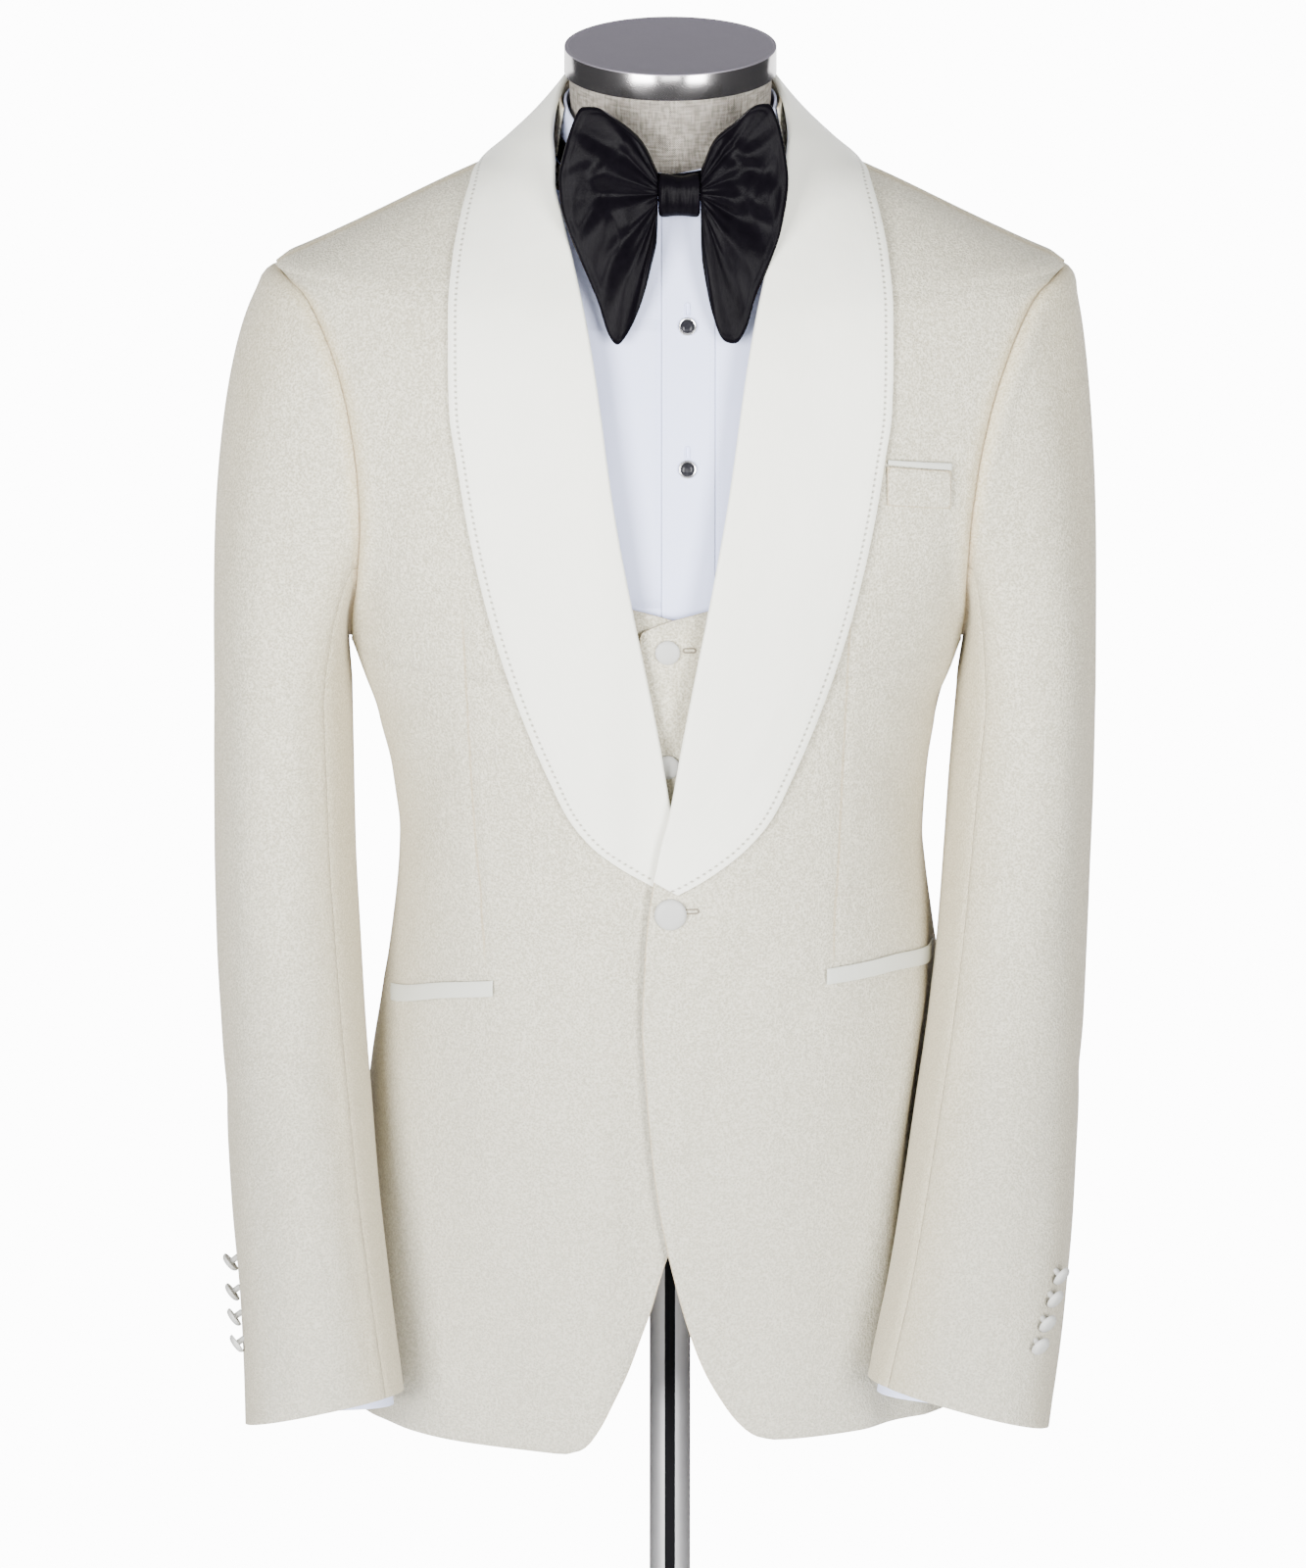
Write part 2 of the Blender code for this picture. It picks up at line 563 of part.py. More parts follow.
def skin_patch(skin, turns_and_heights, out):
    """Outer grid and normals of a patch on a skin; out may be a function of the point."""
    grid, normals = [], []
    for row in turns_and_heights:
        points, line = [], []
        for turn, z in row:
            base, normal = skin.base(turn, z), skin.normal(turn, z)
            distance = out(base) if callable(out) else out
            points.append(base + normal * distance)
            line.append(normal)
        grid.append(points)
        normals.append(line)
    return grid, normals


def turned(name, profile, steps, tilt=0.0, pivot=0.0):
    """Steel solid of revolution round Z from (radius, height) pairs, bottom to top."""
    verts, faces = [], []
    turn_over = math.cos(tilt), math.sin(tilt)
    for r, z in profile:
        for k in range(steps):
            angle = 2 * math.pi * k / steps
            x, y, rise = r * math.cos(angle), r * math.sin(angle), z - pivot
            verts.append((x, y * turn_over[0] - rise * turn_over[1],
                          pivot + rise * turn_over[0] + y * turn_over[1]))
    for i in range(len(profile) - 1):
        for k in range(steps):
            a, b = i * steps + k, i * steps + (k + 1) % steps
            faces.append((a, b, b + steps, a + steps))
    faces.append(tuple(range(steps))[::-1])
    faces.append(tuple(range((len(profile) - 1) * steps, len(profile) * steps)))
    new_object(name, verts, faces, "steel")


def disc_on(name, centre, outward, profile, material, steps=16):
    """Round button standing on a surface: (radius, height) pairs along the outward direction."""
    outward = outward.normalized()
    side = outward.cross(Vector((0, 0, 1))).normalized()
    up = side.cross(outward)
    verts, faces = [], []
    for r, h in profile:
        for k in range(steps):
            angle = 2 * math.pi * k / steps
            verts.append(centre + outward * h + (side * math.cos(angle) + up * math.sin(angle)) * r)
    for i in range(len(profile) - 1):
        for k in range(steps):
            a, b = i * steps + k, i * steps + (k + 1) % steps
            faces.append((a, b, b + steps, a + steps))
    faces.append(tuple(range(steps))[::-1])
    faces.append(tuple(range((len(profile) - 1) * steps, len(profile) * steps)))
    new_object(name, verts, faces, material)


def covered_button(name, centre, outward, radius, seat, dome=BUTTON_DOME, shank=BUTTON_SHANK, steps=16):
    """Cloth-covered button: shank, flat underside and domed face."""
    under = seat + shank
    rim = under + 1.0 * MM
    profile = ((radius * 0.35, seat), (radius * 0.35, under), (radius * 0.9, under + 0.1 * MM),
               (radius, rim), (radius * 0.86, rim + 0.6 * dome), (radius * 0.5, rim + dome))
    disc_on(name, centre, outward, profile, "satin_ivory", steps)


# ================================ materials =================================================
def material_named(name):
    if name in bpy.data.materials:
        return bpy.data.materials[name]
    red, green, blue, roughness, metallic = COLOURS[name]
    material = bpy.data.materials.new(name)
    material.use_nodes = True
    shader = material.node_tree.nodes["Principled BSDF"]
    shader.inputs["Base Color"].default_value = (red, green, blue, 1)
    shader.inputs["Roughness"].default_value = roughness
    shader.inputs["Metallic"].default_value = metallic
    return material


# ================================ the stand =================================================
def build_stand():
    """Round foot, the socket on it and the pole up to the torso's underside."""
    turned("base_plate", ((FOOT_RADIUS - FOOT_BEVEL, 0), (FOOT_RADIUS, FOOT_BEVEL),
                          (FOOT_RADIUS, FOOT_THICKNESS - FOOT_BEVEL),
                          (FOOT_RADIUS - FOOT_BEVEL, FOOT_THICKNESS)), steps=32)
    low = FOOT_THICKNESS + SEAM_GAP
    bore = POLE_RADIUS + SEAM_GAP
    neck = bore + SOCKET_WALL
    ring_solid("pole_socket", ((bore, low), (SOCKET_RADIUS, low), (SOCKET_RADIUS, low + SOCKET_FLANGE),
                               (neck, low + 2 * SOCKET_FLANGE), (neck, low + SOCKET_HEIGHT),
                               (bore, low + SOCKET_HEIGHT)))
    build_pole(low, TORSO_BOTTOM - SEAM_GAP)


def build_pole(low, high, steps=20):
    """Round pole with a narrow slot down its front."""
    half, depth = POLE_GROOVE[0] / 2, POLE_GROOVE[1]
    corner = math.asin(half / POLE_RADIUS)
    floor = depth - POLE_RADIUS * math.cos(corner)
    section = [(-half, floor), (half, floor)]
    for k in range(steps + 1):
        angle = lerp(corner, 2 * math.pi - corner, k / steps)
        section.append((POLE_RADIUS * math.sin(angle), -POLE_RADIUS * math.cos(angle)))
    count = len(section)
    verts = [(x, y, z) for z in (low, high) for x, y in section]
    faces = [(k, (k + 1) % count, count + (k + 1) % count, count + k) for k in range(count)]
    faces += [tuple(range(count))[::-1], tuple(range(count, 2 * count))]
    new_object("pole", verts, faces, "steel")


def ring_solid(name, outline, steps=20):
    """Turned steel ring from a closed outline of (radius, height) pairs that stays off the axis."""
    count = len(outline)
    verts = [(r * math.cos(2 * math.pi * k / steps), r * math.sin(2 * math.pi * k / steps), z)
             for k in range(steps) for r, z in outline]
    faces = []
    for k in range(steps):
        for i in range(count):
            a, b = k * count + i, k * count + (i + 1) % count
            c = ((k + 1) % steps) * count
            faces.append((a, c + i, c + (i + 1) % count, b))
    new_object(name, verts, faces, "steel")


def build_torso():
    """Limbless linen torso, whole under the clothes, and the steel cap on its neck."""
    heights = [TORSO_BOTTOM] + [row[0] * MM for row in TORSO[1:-1]] + [NECK_TOP]
    columns = NECK_COLUMNS
    verts, faces = [], []
    for z in heights:
        slack = TORSO_SLACK * (1 - smoothstep(*NECK_BLEND, z))
        slack += SHOULDER_SLACK * smoothstep(*SHOULDER_LOW, z) * (1 - smoothstep(*SHOULDER_HIGH, z))
        for k in range(columns):
            verts.append(torso_skin.point(360 * k / columns, z, -slack))
            verts[-1].z = z
    top = (len(heights) - 1) * columns
    lean = math.tan(CAP_TILT)
    for k in range(columns):
        verts[top + k].z += verts[top + k].y * lean
    for i in range(len(heights) - 1):
        for k in range(columns):
            a, b = i * columns + k, i * columns + (k + 1) % columns
            faces.append((a, b, b + columns, a + columns))
    faces.append(tuple(range(columns))[::-1])
    faces.append(tuple(range(top, top + columns)))
    new_object("form_torso", verts, faces, "linen")
    low = NECK_TOP + SEAM_GAP
    turned("neck_cap", ((CAP_RADIUS - CAP_BEVEL, low), (CAP_RADIUS, low + CAP_BEVEL),
                        (CAP_RADIUS, low + CAP_HEIGHT - CAP_BEVEL),
                        (CAP_RADIUS - CAP_BEVEL, low + CAP_HEIGHT)),
           steps=32, tilt=CAP_TILT, pivot=low)


# ================================ jacket body ===============================================
def under_sink(x):
    """How deep the buttoned-under front lies at this x."""
    return UNDERLAP_SINK * smoothstep(*UNDERLAP_SPAN, x)


def front_edge(side, z):
    """Signed x of the cloth's front edge at a height, roll line included."""
    if side == LEFT:
        return over_edge_x(z) if z < BREAK_HEIGHT else roll_x(z)
    return under_edge_x(z) if z < BREAK_HEIGHT else -roll_x(z)


def armhole_turn(z, side, back, skin=jacket_skin, table=ARMHOLE):
    column = 2 if back else 1
    reach = smooth_curve([(row[0], row[column]) for row in table])
    return skin.turn_from_middle(reach(z / MM) * MM, z, side, back)


def body_heights():
    return [HEM_HEIGHT + row * MM for row in BODY_ROWS] + [z * MM for z in SHOULDER_ROWS]


def hem_lift(turn, z, side):
    """Rise of a row that follows the hem, fading out up the cloth."""
    fade = 1 - smoothstep(0, HEM_BLEND, z - HEM_HEIGHT)
    return hem_rise[side](abs(turn)) * MM * fade


def seam_inset(skin, z, distance):
    """Turn that a small distance along the section takes at the side of the body."""
    width, _, front, _, _ = skin.section(z)
    return math.degrees(distance / max(0.5 * (width + front), 0.03))


def jacket_front(side):
    """Front panel from its edge or roll line to the side seam, armhole and shoulder seam."""
    patch = []
    for z in body_heights():
        edge_z = z + hem_lift(0, z, side)
        start = jacket_skin.turn_at(front_edge(side, edge_z), edge_z)
        if z < ARMHOLE_LOW:
            end = side * side_seam_turn(z / MM)
        elif z < SHOULDER_TIP:
            end = armhole_turn(z, side, back=False)
        else:
            end = side * 90.0
        end -= side * seam_inset(jacket_skin, z, SEAM_GAP / 2)
        row = []
        for k in range(FRONT_COLUMNS + 1):
            turn = lerp(start, end, (k / FRONT_COLUMNS) ** FRONT_CROWDING)
            row.append((turn, edge_z if k == 0 else z + hem_lift(turn, z, side)))
        patch.append(row)
    sink = (lambda base: -under_sink(base.x)) if side == RIGHT else 0.0
    grid, normals = skin_patch(jacket_skin, patch, sink)
    name = "jacket_front_left" if side == LEFT else "jacket_front_right"
    if side == RIGHT:
        grid, normals = [row[::-1] for row in grid], [row[::-1] for row in normals]
    sheet(name, grid, normals, JACKET_CLOTH, "jacquard")


def jacket_back(side):
    """Back panel from the side seam, armhole and shoulder seam to the centre seam."""
    patch = []
    for z in body_heights():
        if z < ARMHOLE_LOW:
            start = side * side_seam_turn(z / MM)
        elif z < SHOULDER_TIP:
            start = armhole_turn(z, side, back=True)
        else:
            start = side * 90.0
        inset = seam_inset(jacket_skin, z, SEAM_GAP / 2)
        start += side * inset
        end = side * (180 - inset)
        turns = [lerp(start, end, k / BACK_COLUMNS) for k in range(BACK_COLUMNS + 1)]
        patch.append([(turn, z + hem_lift(turn, z, side)) for turn in turns])
    grid, normals = skin_patch(jacket_skin, patch, 0.0)
    name = "jacket_back_left" if side == LEFT else "jacket_back_right"
    if side == RIGHT:
        grid, normals = [row[::-1] for row in grid], [row[::-1] for row in normals]
    sheet(name, grid, normals, JACKET_CLOTH, "jacquard")


# ================================ lapels and collar =========================================
def on_front(x, z, side, out):
    """Point of the jacket's front at x and z, moved out, sunk where it buttons under."""
    turn = jacket_skin.turn_at(x, z)
    sink = under_sink(x) if side == RIGHT else 0.0
    return jacket_skin.point(turn, z, out - sink)


def lapel_grid(side):
    """Points of a lapel and its half of the shawl collar, from the button to the centre back."""
    columns = LAPEL_COLUMNS
    grid = []
    for roll_height, edge_height in LAPEL_LINES:
        z_roll, z_edge = roll_height * MM, edge_height * MM
        x_roll, x_edge = side * roll_x(z_roll), side * lapel_edge_x(z_edge)
        row = []
        for k in range(columns + 1):
            t = k / columns
            lift = ROLL_LIFT * (1 - t) ** 2 * smoothstep(*LAPEL_ROLL_SPAN, z_roll)
            x, z = lerp(x_roll, x_edge, t), lerp(z_roll, z_edge, t)
            row.append(on_front(x, z, side, LAPEL_PROUD + lift))
        grid.append(row)
    for roll_px, roll_py, roll_pz, edge_px, edge_py, edge_pz in COLLAR_LINES:
        roll = Vector((side * roll_px, roll_py, roll_pz)) * MM
        edge = Vector((side * edge_px, edge_py, edge_pz)) * MM
        if roll_px == 0:
            roll.x = edge.x = side * SEAM_GAP / 2
        row = []
        for k in range(columns + 1):
            t = k / columns
            point = roll.lerp(edge, t)
            point.z += COLLAR_PUFF * math.sin(math.pi * t)
            row.append(point)
        grid.append(row)
    return grid


def build_lapel(side):
    """Lapel and shawl collar of one side; the last row lies in the centre plane."""
    grid = lapel_grid(side)
    if side == RIGHT:
        grid = [row[::-1] for row in grid]
    normals = grid_normals(grid)
    normals[-1] = [Vector((0, normal.y, normal.z)).normalized() for normal in normals[-1]]
    name = "lapel_left" if side == LEFT else "lapel_right"
    sheet(name, grid, normals, LAPEL_CLOTH, "satin_ivory")


def build_collar_stand():
    """Band inside the collar's fold, round the back of the neck."""
    top = smooth_curve(COLLAR_STAND_TOP)
    neck_band("collar_stand", lambda turn: COLLAR_STAND_FOOT, lambda turn: top(turn) * MM,
              COLLAR_STAND_OFFSET, COLLAR_CLOTH, "jacquard", 2, COLLAR_STAND_TURN, 360 - COLLAR_STAND_TURN)


# ================================ sleeves ===================================================
def armhole_loop(skin, table, side, heights):
    """Points round an armhole from the shoulder tip down the front and up the back.

    Each entry is (point, normal, outward along the skin, angle round the sleeve).
    """
    low, high = table[0][0] * MM, table[-1][0] * MM
    levels = [z for z in heights if low - 1e-6 < z < high + 1e-6]
    entries = []

    def add_side(order, back, start):
        points = [(skin.base(turn, z), skin.normal(turn, z)) for turn, z in
                  ((armhole_turn(z, side, back, skin, table), z) for z in order)]
        lengths = [0.0]
        for (here, _), (after, _) in zip(points, points[1:]):
            lengths.append(lengths[-1] + (after - here).length)
        for (point, normal), length in zip(points, lengths):
            entries.append([point, normal, start - 180 * length / lengths[-1]])

    add_side(levels[::-1], False, 90)
    add_side(levels, True, -90)
    entries = entries[:-1]
    del entries[len(levels)]
    count = len(entries)
    centre = sum((entry[0] for entry in entries), Vector()) / count
    loop = []
    for i, (point, normal, angle) in enumerate(entries):
        along = entries[(i + 1) % count][0] - entries[i - 1][0]
        outward = along.cross(normal).normalized()
        if outward.dot(Vector((side, 0, 0))) < 0 and abs(outward.x) > 0.3:
            outward = -outward
        elif abs(outward.x) <= 0.3 and outward.dot(point - centre) > 0:
            outward = -outward
        loop.append((point, normal, outward, angle))
    return loop


class SleeveShape:
    """Sections of a sleeve below its head, by a share of the way from biceps to cuff."""

    def __init__(self, side, inset=0.0):
        table = SLEEVES[side]
        self.side, self.inset = side, inset
        self.columns = [curve_mm([(row[0], row[i]) for row in table[::-1]]) for i in range(1, 5)]
        self.top, self.bottom = table[0][0] * MM, table[-1][0] * MM
        self.tilt = CUFF_TILT[side]

    def section(self, z):
        outer, inner, middle, depth = (column(z) for column in self.columns)
        return (outer + inner) / 2, (outer - inner) / 2 - self.inset, middle, depth - self.inset

    def point(self, angle, share):
        """angle: 0 front, 90 outside; share: 0 biceps, 1 cuff's edge."""
        z = lerp(self.top, self.bottom, share)
        reach, half, middle, depth = self.section(z)
        s, c = math.sin(math.radians(angle)), math.cos(math.radians(angle))
        out = math.copysign(abs(s) ** SLEEVE_SQUARE, s) * half
        ahead = math.copysign(abs(c) ** SLEEVE_SQUARE, c) * depth
        rise = (self.tilt[0] * -out + self.tilt[1] * ahead) * share
        return Vector((self.side * (reach + out), middle - ahead, z + rise))


def sleeve_point(entry, shape, level, arm_rows, push):
    """Point of a sleeve's outer face at a level: head rows first, then the arm's rows."""
    point, normal, outward, angle = entry
    start = point + outward * ARMHOLE_GAP
    if level <= SLEEVE_HEAD_ROWS:
        t = level / SLEEVE_HEAD_ROWS
        end = shape.point(angle, 0)
        length = (end - start).length
        under = smoothstep(-0.2, 0.9, math.cos(math.radians(angle + 90)))
        leave = outward * lerp(0.8, 0.1, under) + normal * lerp(0.35, 1.0, under)
        leave = leave.normalized() * length * lerp(push[0], push[1], under)
        arrive = Vector((0, 0, -1)) * length * SLEEVE_HEAD_FALL
        a = 2 * t ** 3 - 3 * t ** 2 + 1
        b = t ** 3 - 2 * t ** 2 + t
        c = -2 * t ** 3 + 3 * t ** 2
        d = t ** 3 - t ** 2
        return start * a + leave * b + end * c + arrive * d
    return shape.point(angle, (level - SLEEVE_HEAD_ROWS) / arm_rows)


def loop_at(loop, angle):
    """Entry of the loop at an angle, interpolated; angles run from 90 down to -270."""
    while angle > 90:
        angle -= 360
    while angle <= -270:
        angle += 360
    count = len(loop)
    for i in range(count):
        high = loop[i][3]
        low = loop[(i + 1) % count][3] - (360 if i == count - 1 else 0)
        if low <= angle <= high:
            t = (high - angle) / (high - low)
            a, b = loop[i], loop[(i + 1) % count]
            return (a[0].lerp(b[0], t), a[1].lerp(b[1], t).normalized(),
                    a[2].lerp(b[2], t).normalized(), angle)
    raise ValueError("angle outside the loop")


def sleeve_panel(name, loop, shape, spans, columns, arm_rows, thickness, material, push, closed=False):
    """One piece of a sleeve between two seams, or the whole tube when closed."""
    levels = SLEEVE_HEAD_ROWS + arm_rows

    def tube(angle, level):
        point, normal, outward, _ = loop_at(loop, angle)
        return sleeve_point((point, normal, outward, angle), shape, level, arm_rows, push)

    grid, normals = [], []
    for level in range(levels + 1):
        share = max(level - SLEEVE_HEAD_ROWS, 0) / arm_rows
        first, last = spans(share)
        row, line = [], []
        for k in range(columns if closed else columns + 1):
            angle = lerp(first, last, k / columns)
            point = tube(angle, level)
            row.append(point)
            across = tube(angle + 4, level) - tube(angle - 4, level)
            down = tube(angle, min(level + 1, levels)) - tube(angle, max(level - 1, 0))
            normal = across.cross(down).normalized() * -shape.side
            seam_normal = loop_at(loop, angle)[1]
            if level == 0:
                normal = seam_normal
            elif level == 1:
                normal = (normal + seam_normal).normalized()
            line.append(normal)
        grid.append(row)
        normals.append(line)
    if shape.side == LEFT:
        grid, normals = [row[::-1] for row in grid], [line[::-1] for line in normals]
    sheet(name, grid, normals, thickness, material, closed)


def shape_centre(shape, share):
    """Middle of a sleeve's section at a share of its length."""
    z = lerp(shape.top, shape.bottom, share)
    reach, _, middle, _ = shape.section(z)
    return Vector((shape.side * reach, middle, z))


def jacket_sleeve(side):
    """Top and under sleeve between the forearm seam and the hind seam, with the cuff's buttons."""
    loop = armhole_loop(jacket_skin, ARMHOLE, side, body_heights())
    shape = SleeveShape(side)
    label = "left" if side == LEFT else "right"
    hind_top, hind_cuff = HIND_SEAM[side]
    fore_top, fore_cuff = FOREARM_SEAM

    def top_span(share):
        return (lerp(fore_top, fore_cuff, share) + SLEEVE_SLIT,
                lerp(hind_top, hind_cuff, share) - SLEEVE_SLIT)

    def under_span(share):
        return (lerp(hind_top, hind_cuff, share) + SLEEVE_SLIT,
                lerp(fore_top, fore_cuff, share) + 360 - SLEEVE_SLIT)

    sleeve_panel(f"sleeve_top_{label}", loop, shape, top_span, TOP_SLEEVE_COLUMNS, ARM_ROWS,
                 JACKET_CLOTH, "jacquard", SLEEVE_HEAD_PUSH[side])
    sleeve_panel(f"sleeve_under_{label}", loop, shape, under_span, UNDER_SLEEVE_COLUMNS, ARM_ROWS,
                 JACKET_CLOTH, "jacquard", SLEEVE_HEAD_PUSH[side])
    cuff_buttons(shape, top_span, label)


def cuff_buttons(shape, span, label):
    """Drooping buttons that stand on the top sleeve's facets, before its hind seam."""
    length = shape.top - shape.bottom
    for number, (rise, angle) in enumerate(CUFF_BUTTONS[shape.side], 1):
        share = 1 - rise * MM / length
        row = min(int(share * ARM_ROWS), ARM_ROWS - 1)
        first, last = span(share)
        place = (angle - first) / (last - first) * TOP_SLEEVE_COLUMNS
        corners = []
        for level in (row, row + 1):
            first, last = span(level / ARM_ROWS)
            for column in (int(place), int(place) + 1):
                turn = lerp(first, last, column / TOP_SLEEVE_COLUMNS)
                corners.append(shape.point(turn, level / ARM_ROWS))
        t = share * ARM_ROWS - row
        here = corners[0].lerp(corners[2], t).lerp(corners[1].lerp(corners[3], t), place % 1)
        outward = (corners[1] - corners[0]).cross(corners[2] - corners[0]).normalized()
        if outward.dot(here - shape_centre(shape, share)) < 0:
            outward = -outward
        down = (Vector((0, 0, -1)) + outward * outward.z).normalized()
        axis = outward * math.cos(CUFF_BUTTON_DROOP) + down * math.sin(CUFF_BUTTON_DROOP)
        covered_button(f"cuff_button_{label}_{number}", here, axis, CUFF_BUTTON_RADIUS, CUFF_BUTTON_SEAT,
                       CUFF_BUTTON_DOME, CUFF_BUTTON_SHANK, steps=10)


# ================================ pockets ===================================================
def front_patch(name, ends, height, material, side, columns=4):
    """Band along a line of (x, z) ends on the front, this high, lying on the cloth."""
    xs = smooth_curve([(i, p[0]) for i, p in enumerate(ends)])
    zs = smooth_curve([(i, p[1]) for i, p in enumerate(ends)])
    grid = []
    for level in (-0.5, 0.5):
        row = []
        for k in range(columns + 1):
            t = k / columns * (len(ends) - 1)
            x, z = side * xs(t) * MM, zs(t) * MM + level * height
            row.append(jacket_skin.point(jacket_skin.turn_at(x, z), z, PATCH_PROUD))
        grid.append(row)
    normals = []
    for row in grid:
        normals.append([jacket_skin.normal(jacket_skin.turn_at(p.x, p.z), p.z) for p in row])
    if side == RIGHT:
        grid, normals = [row[::-1] for row in grid], [row[::-1] for row in normals]
    sheet(name, grid, normals, PATCH_CLOTH, material)


def build_pockets():
    """Satin welts at the hips and the breast pocket's welt with its satin strip."""
    for side, label in ((LEFT, "left"), (RIGHT, "right")):
        front_patch(f"hip_welt_{label}", HIP_WELT[side], HIP_WELT_HEIGHT, "satin_ivory", side, columns=6)
    front_patch("breast_welt", BREAST_WELT, BREAST_WELT_HEIGHT, "jacquard", LEFT)
    rise = ((BREAST_WELT_HEIGHT + BREAST_TRIM_HEIGHT) / 2 + SEAM_GAP) / MM
    trim = tuple((x + BREAST_TRIM_SHIFT, z + rise) for x, z in BREAST_WELT)
    front_patch("breast_welt_trim", trim, BREAST_TRIM_HEIGHT, "satin_ivory", LEFT)


# ================================ waistcoat =================================================
def waistcoat_front(side):
    """Front with a low neckline; the wearer's left one buttons on top."""
    columns = 6
    patch = []
    for height in WAISTCOAT_FRONT_ROWS:
        z = height * MM
        inner = waistcoat_neck_x(z) - WAISTCOAT_LAP * (1 - smoothstep(*WAISTCOAT_LAP_TOP, z))
        start = torso_skin.turn_at(side * inner, z)
        if z < WAISTCOAT_ARM_LOW:
            end = side * (90.0 - seam_inset(torso_skin, z, SEAM_GAP / 2))
        else:
            end = torso_skin.turn_at(side * waistcoat_arm_x(z), z)
        patch.append([(lerp(start, end, k / columns), z) for k in range(columns + 1)])

    def out(base):
        lap = 1 - smoothstep(*WAISTCOAT_LAP_SPAN, abs(base.x))
        return WAISTCOAT_OUT + (WAISTCOAT_OVER * lap if side == LEFT else 0.0)

    grid, normals = skin_patch(torso_skin, patch, out)
    if side == RIGHT:
        grid, normals = [row[::-1] for row in grid], [row[::-1] for row in normals]
    label = "left" if side == LEFT else "right"
    sheet(f"waistcoat_front_{label}", grid, normals, WAISTCOAT_CLOTH, "jacquard")


def waistcoat_back():
    """One plain back between the side seams and armholes."""
    columns = 10
    patch = []
    for height in WAISTCOAT_BACK_ROWS:
        z = height * MM
        reach = 90.0 + seam_inset(torso_skin, z, SEAM_GAP / 2)
        if z >= WAISTCOAT_ARM_LOW:
            reach = torso_skin.turn_at(waistcoat_arm_x(z) + WAISTCOAT_BACK_REACH, z, back=True)
        patch.append([(lerp(reach, 360 - reach, k / columns), z) for k in range(columns + 1)])
    grid, normals = skin_patch(torso_skin, patch, WAISTCOAT_OUT + WAISTCOAT_BACK_EASE)
    sheet("waistcoat_back", grid, normals, WAISTCOAT_CLOTH, "jacquard")


def waistcoat_straps():
    """Shoulder pieces that join the fronts to the back over the shoulder."""
    low = WAISTCOAT_FRONT_ROWS[-1] * MM + 3 * SEAM_GAP
    for side, label in ((LEFT, "left"), (RIGHT, "right")):
        grid = [[strap_point(x * MM, side, row / STRAP_ROWS, low) for x in STRAP_LINES]
                for row in range(STRAP_ROWS + 1)]
        normals = grid_normals(grid)
        if normals[STRAP_ROWS // 2][1].z < 0:
            normals = [[-n for n in line] for line in normals]
        wall(f"waistcoat_strap_{label}", grid, moved(grid, normals, -WAISTCOAT_CLOTH), "jacquard")


def strap_point(x, side, share, low):
    """Point over the shoulder at this x: share 0 at the front row, 1 at the back row."""
    ridge = low
    while torso_skin.section(ridge + MM)[0] >= x:
        ridge += MM
    z = lerp(low, ridge, (1 - abs(2 * share - 1)) ** STRAP_RISE)
    turn = torso_skin.turn_at(side * x, z, back=share > 0.5)
    return torso_skin.point(turn, z, WAISTCOAT_OUT)


def waistcoat_buttons():
    """Covered buttons down the front that lies on top."""
    for number, height in enumerate(WAISTCOAT_BUTTONS, 1):
        z = height * MM
        turn = torso_skin.turn_at(WAISTCOAT_BUTTON_X, z)
        centre = torso_skin.point(turn, z, WAISTCOAT_OUT + WAISTCOAT_OVER)
        covered_button(f"waistcoat_button_{number}", centre, torso_skin.normal(turn, z),
                       WAISTCOAT_BUTTON_RADIUS, WAISTCOAT_BUTTON_SEAT, WAISTCOAT_BUTTON_DOME, steps=12)


# ================================ shirt =====================================================
def shirt_rows():
    return [height * MM for height in SHIRT_ROWS]


def shirt_reach(z, side, back):
    """Turn where the shirt's front or back ends at a height: side seam, armhole or shoulder."""
    low, high = SHIRT_ARM[0][0] * MM, SHIRT_ARM[-1][0] * MM
    turn = armhole_turn(z, side, back, torso_skin, SHIRT_ARM) if low < z < high else side * 90.0
    return turn + side * seam_inset(torso_skin, z, SEAM_GAP / 2) * (1 if back else -1)


def shirt_front(side):
    """Shirt front from the placket to the side seam, armhole and shoulder."""
    columns = 6
    edge = PLACKET_X + side * (PLACKET_WIDTH / 2 + SEAM_GAP)
    patch = []
    for z in shirt_rows():
        start = torso_skin.turn_at(edge, z)
        end = shirt_reach(z, side, back=False)
        patch.append([(lerp(start, end, k / columns), z) for k in range(columns + 1)])
    grid, normals = skin_patch(torso_skin, patch, SHIRT_OUT)
    if side == RIGHT:
        grid, normals = [row[::-1] for row in grid], [row[::-1] for row in normals]
    label = "left" if side == LEFT else "right"
    sheet(f"shirt_front_{label}", grid, normals, SHIRT_CLOTH, "shirting")


def shirt_back():
    """One plain back between the side seams, armholes and shoulders."""
    columns = 12
    patch = []
    for z in shirt_rows():
        reach = shirt_reach(z, LEFT, back=True)
        patch.append([(lerp(reach, 360 - reach, k / columns), z) for k in range(columns + 1)])
    grid, normals = skin_patch(torso_skin, patch, SHIRT_OUT)
    sheet("shirt_back", grid, normals, SHIRT_CLOTH, "shirting")


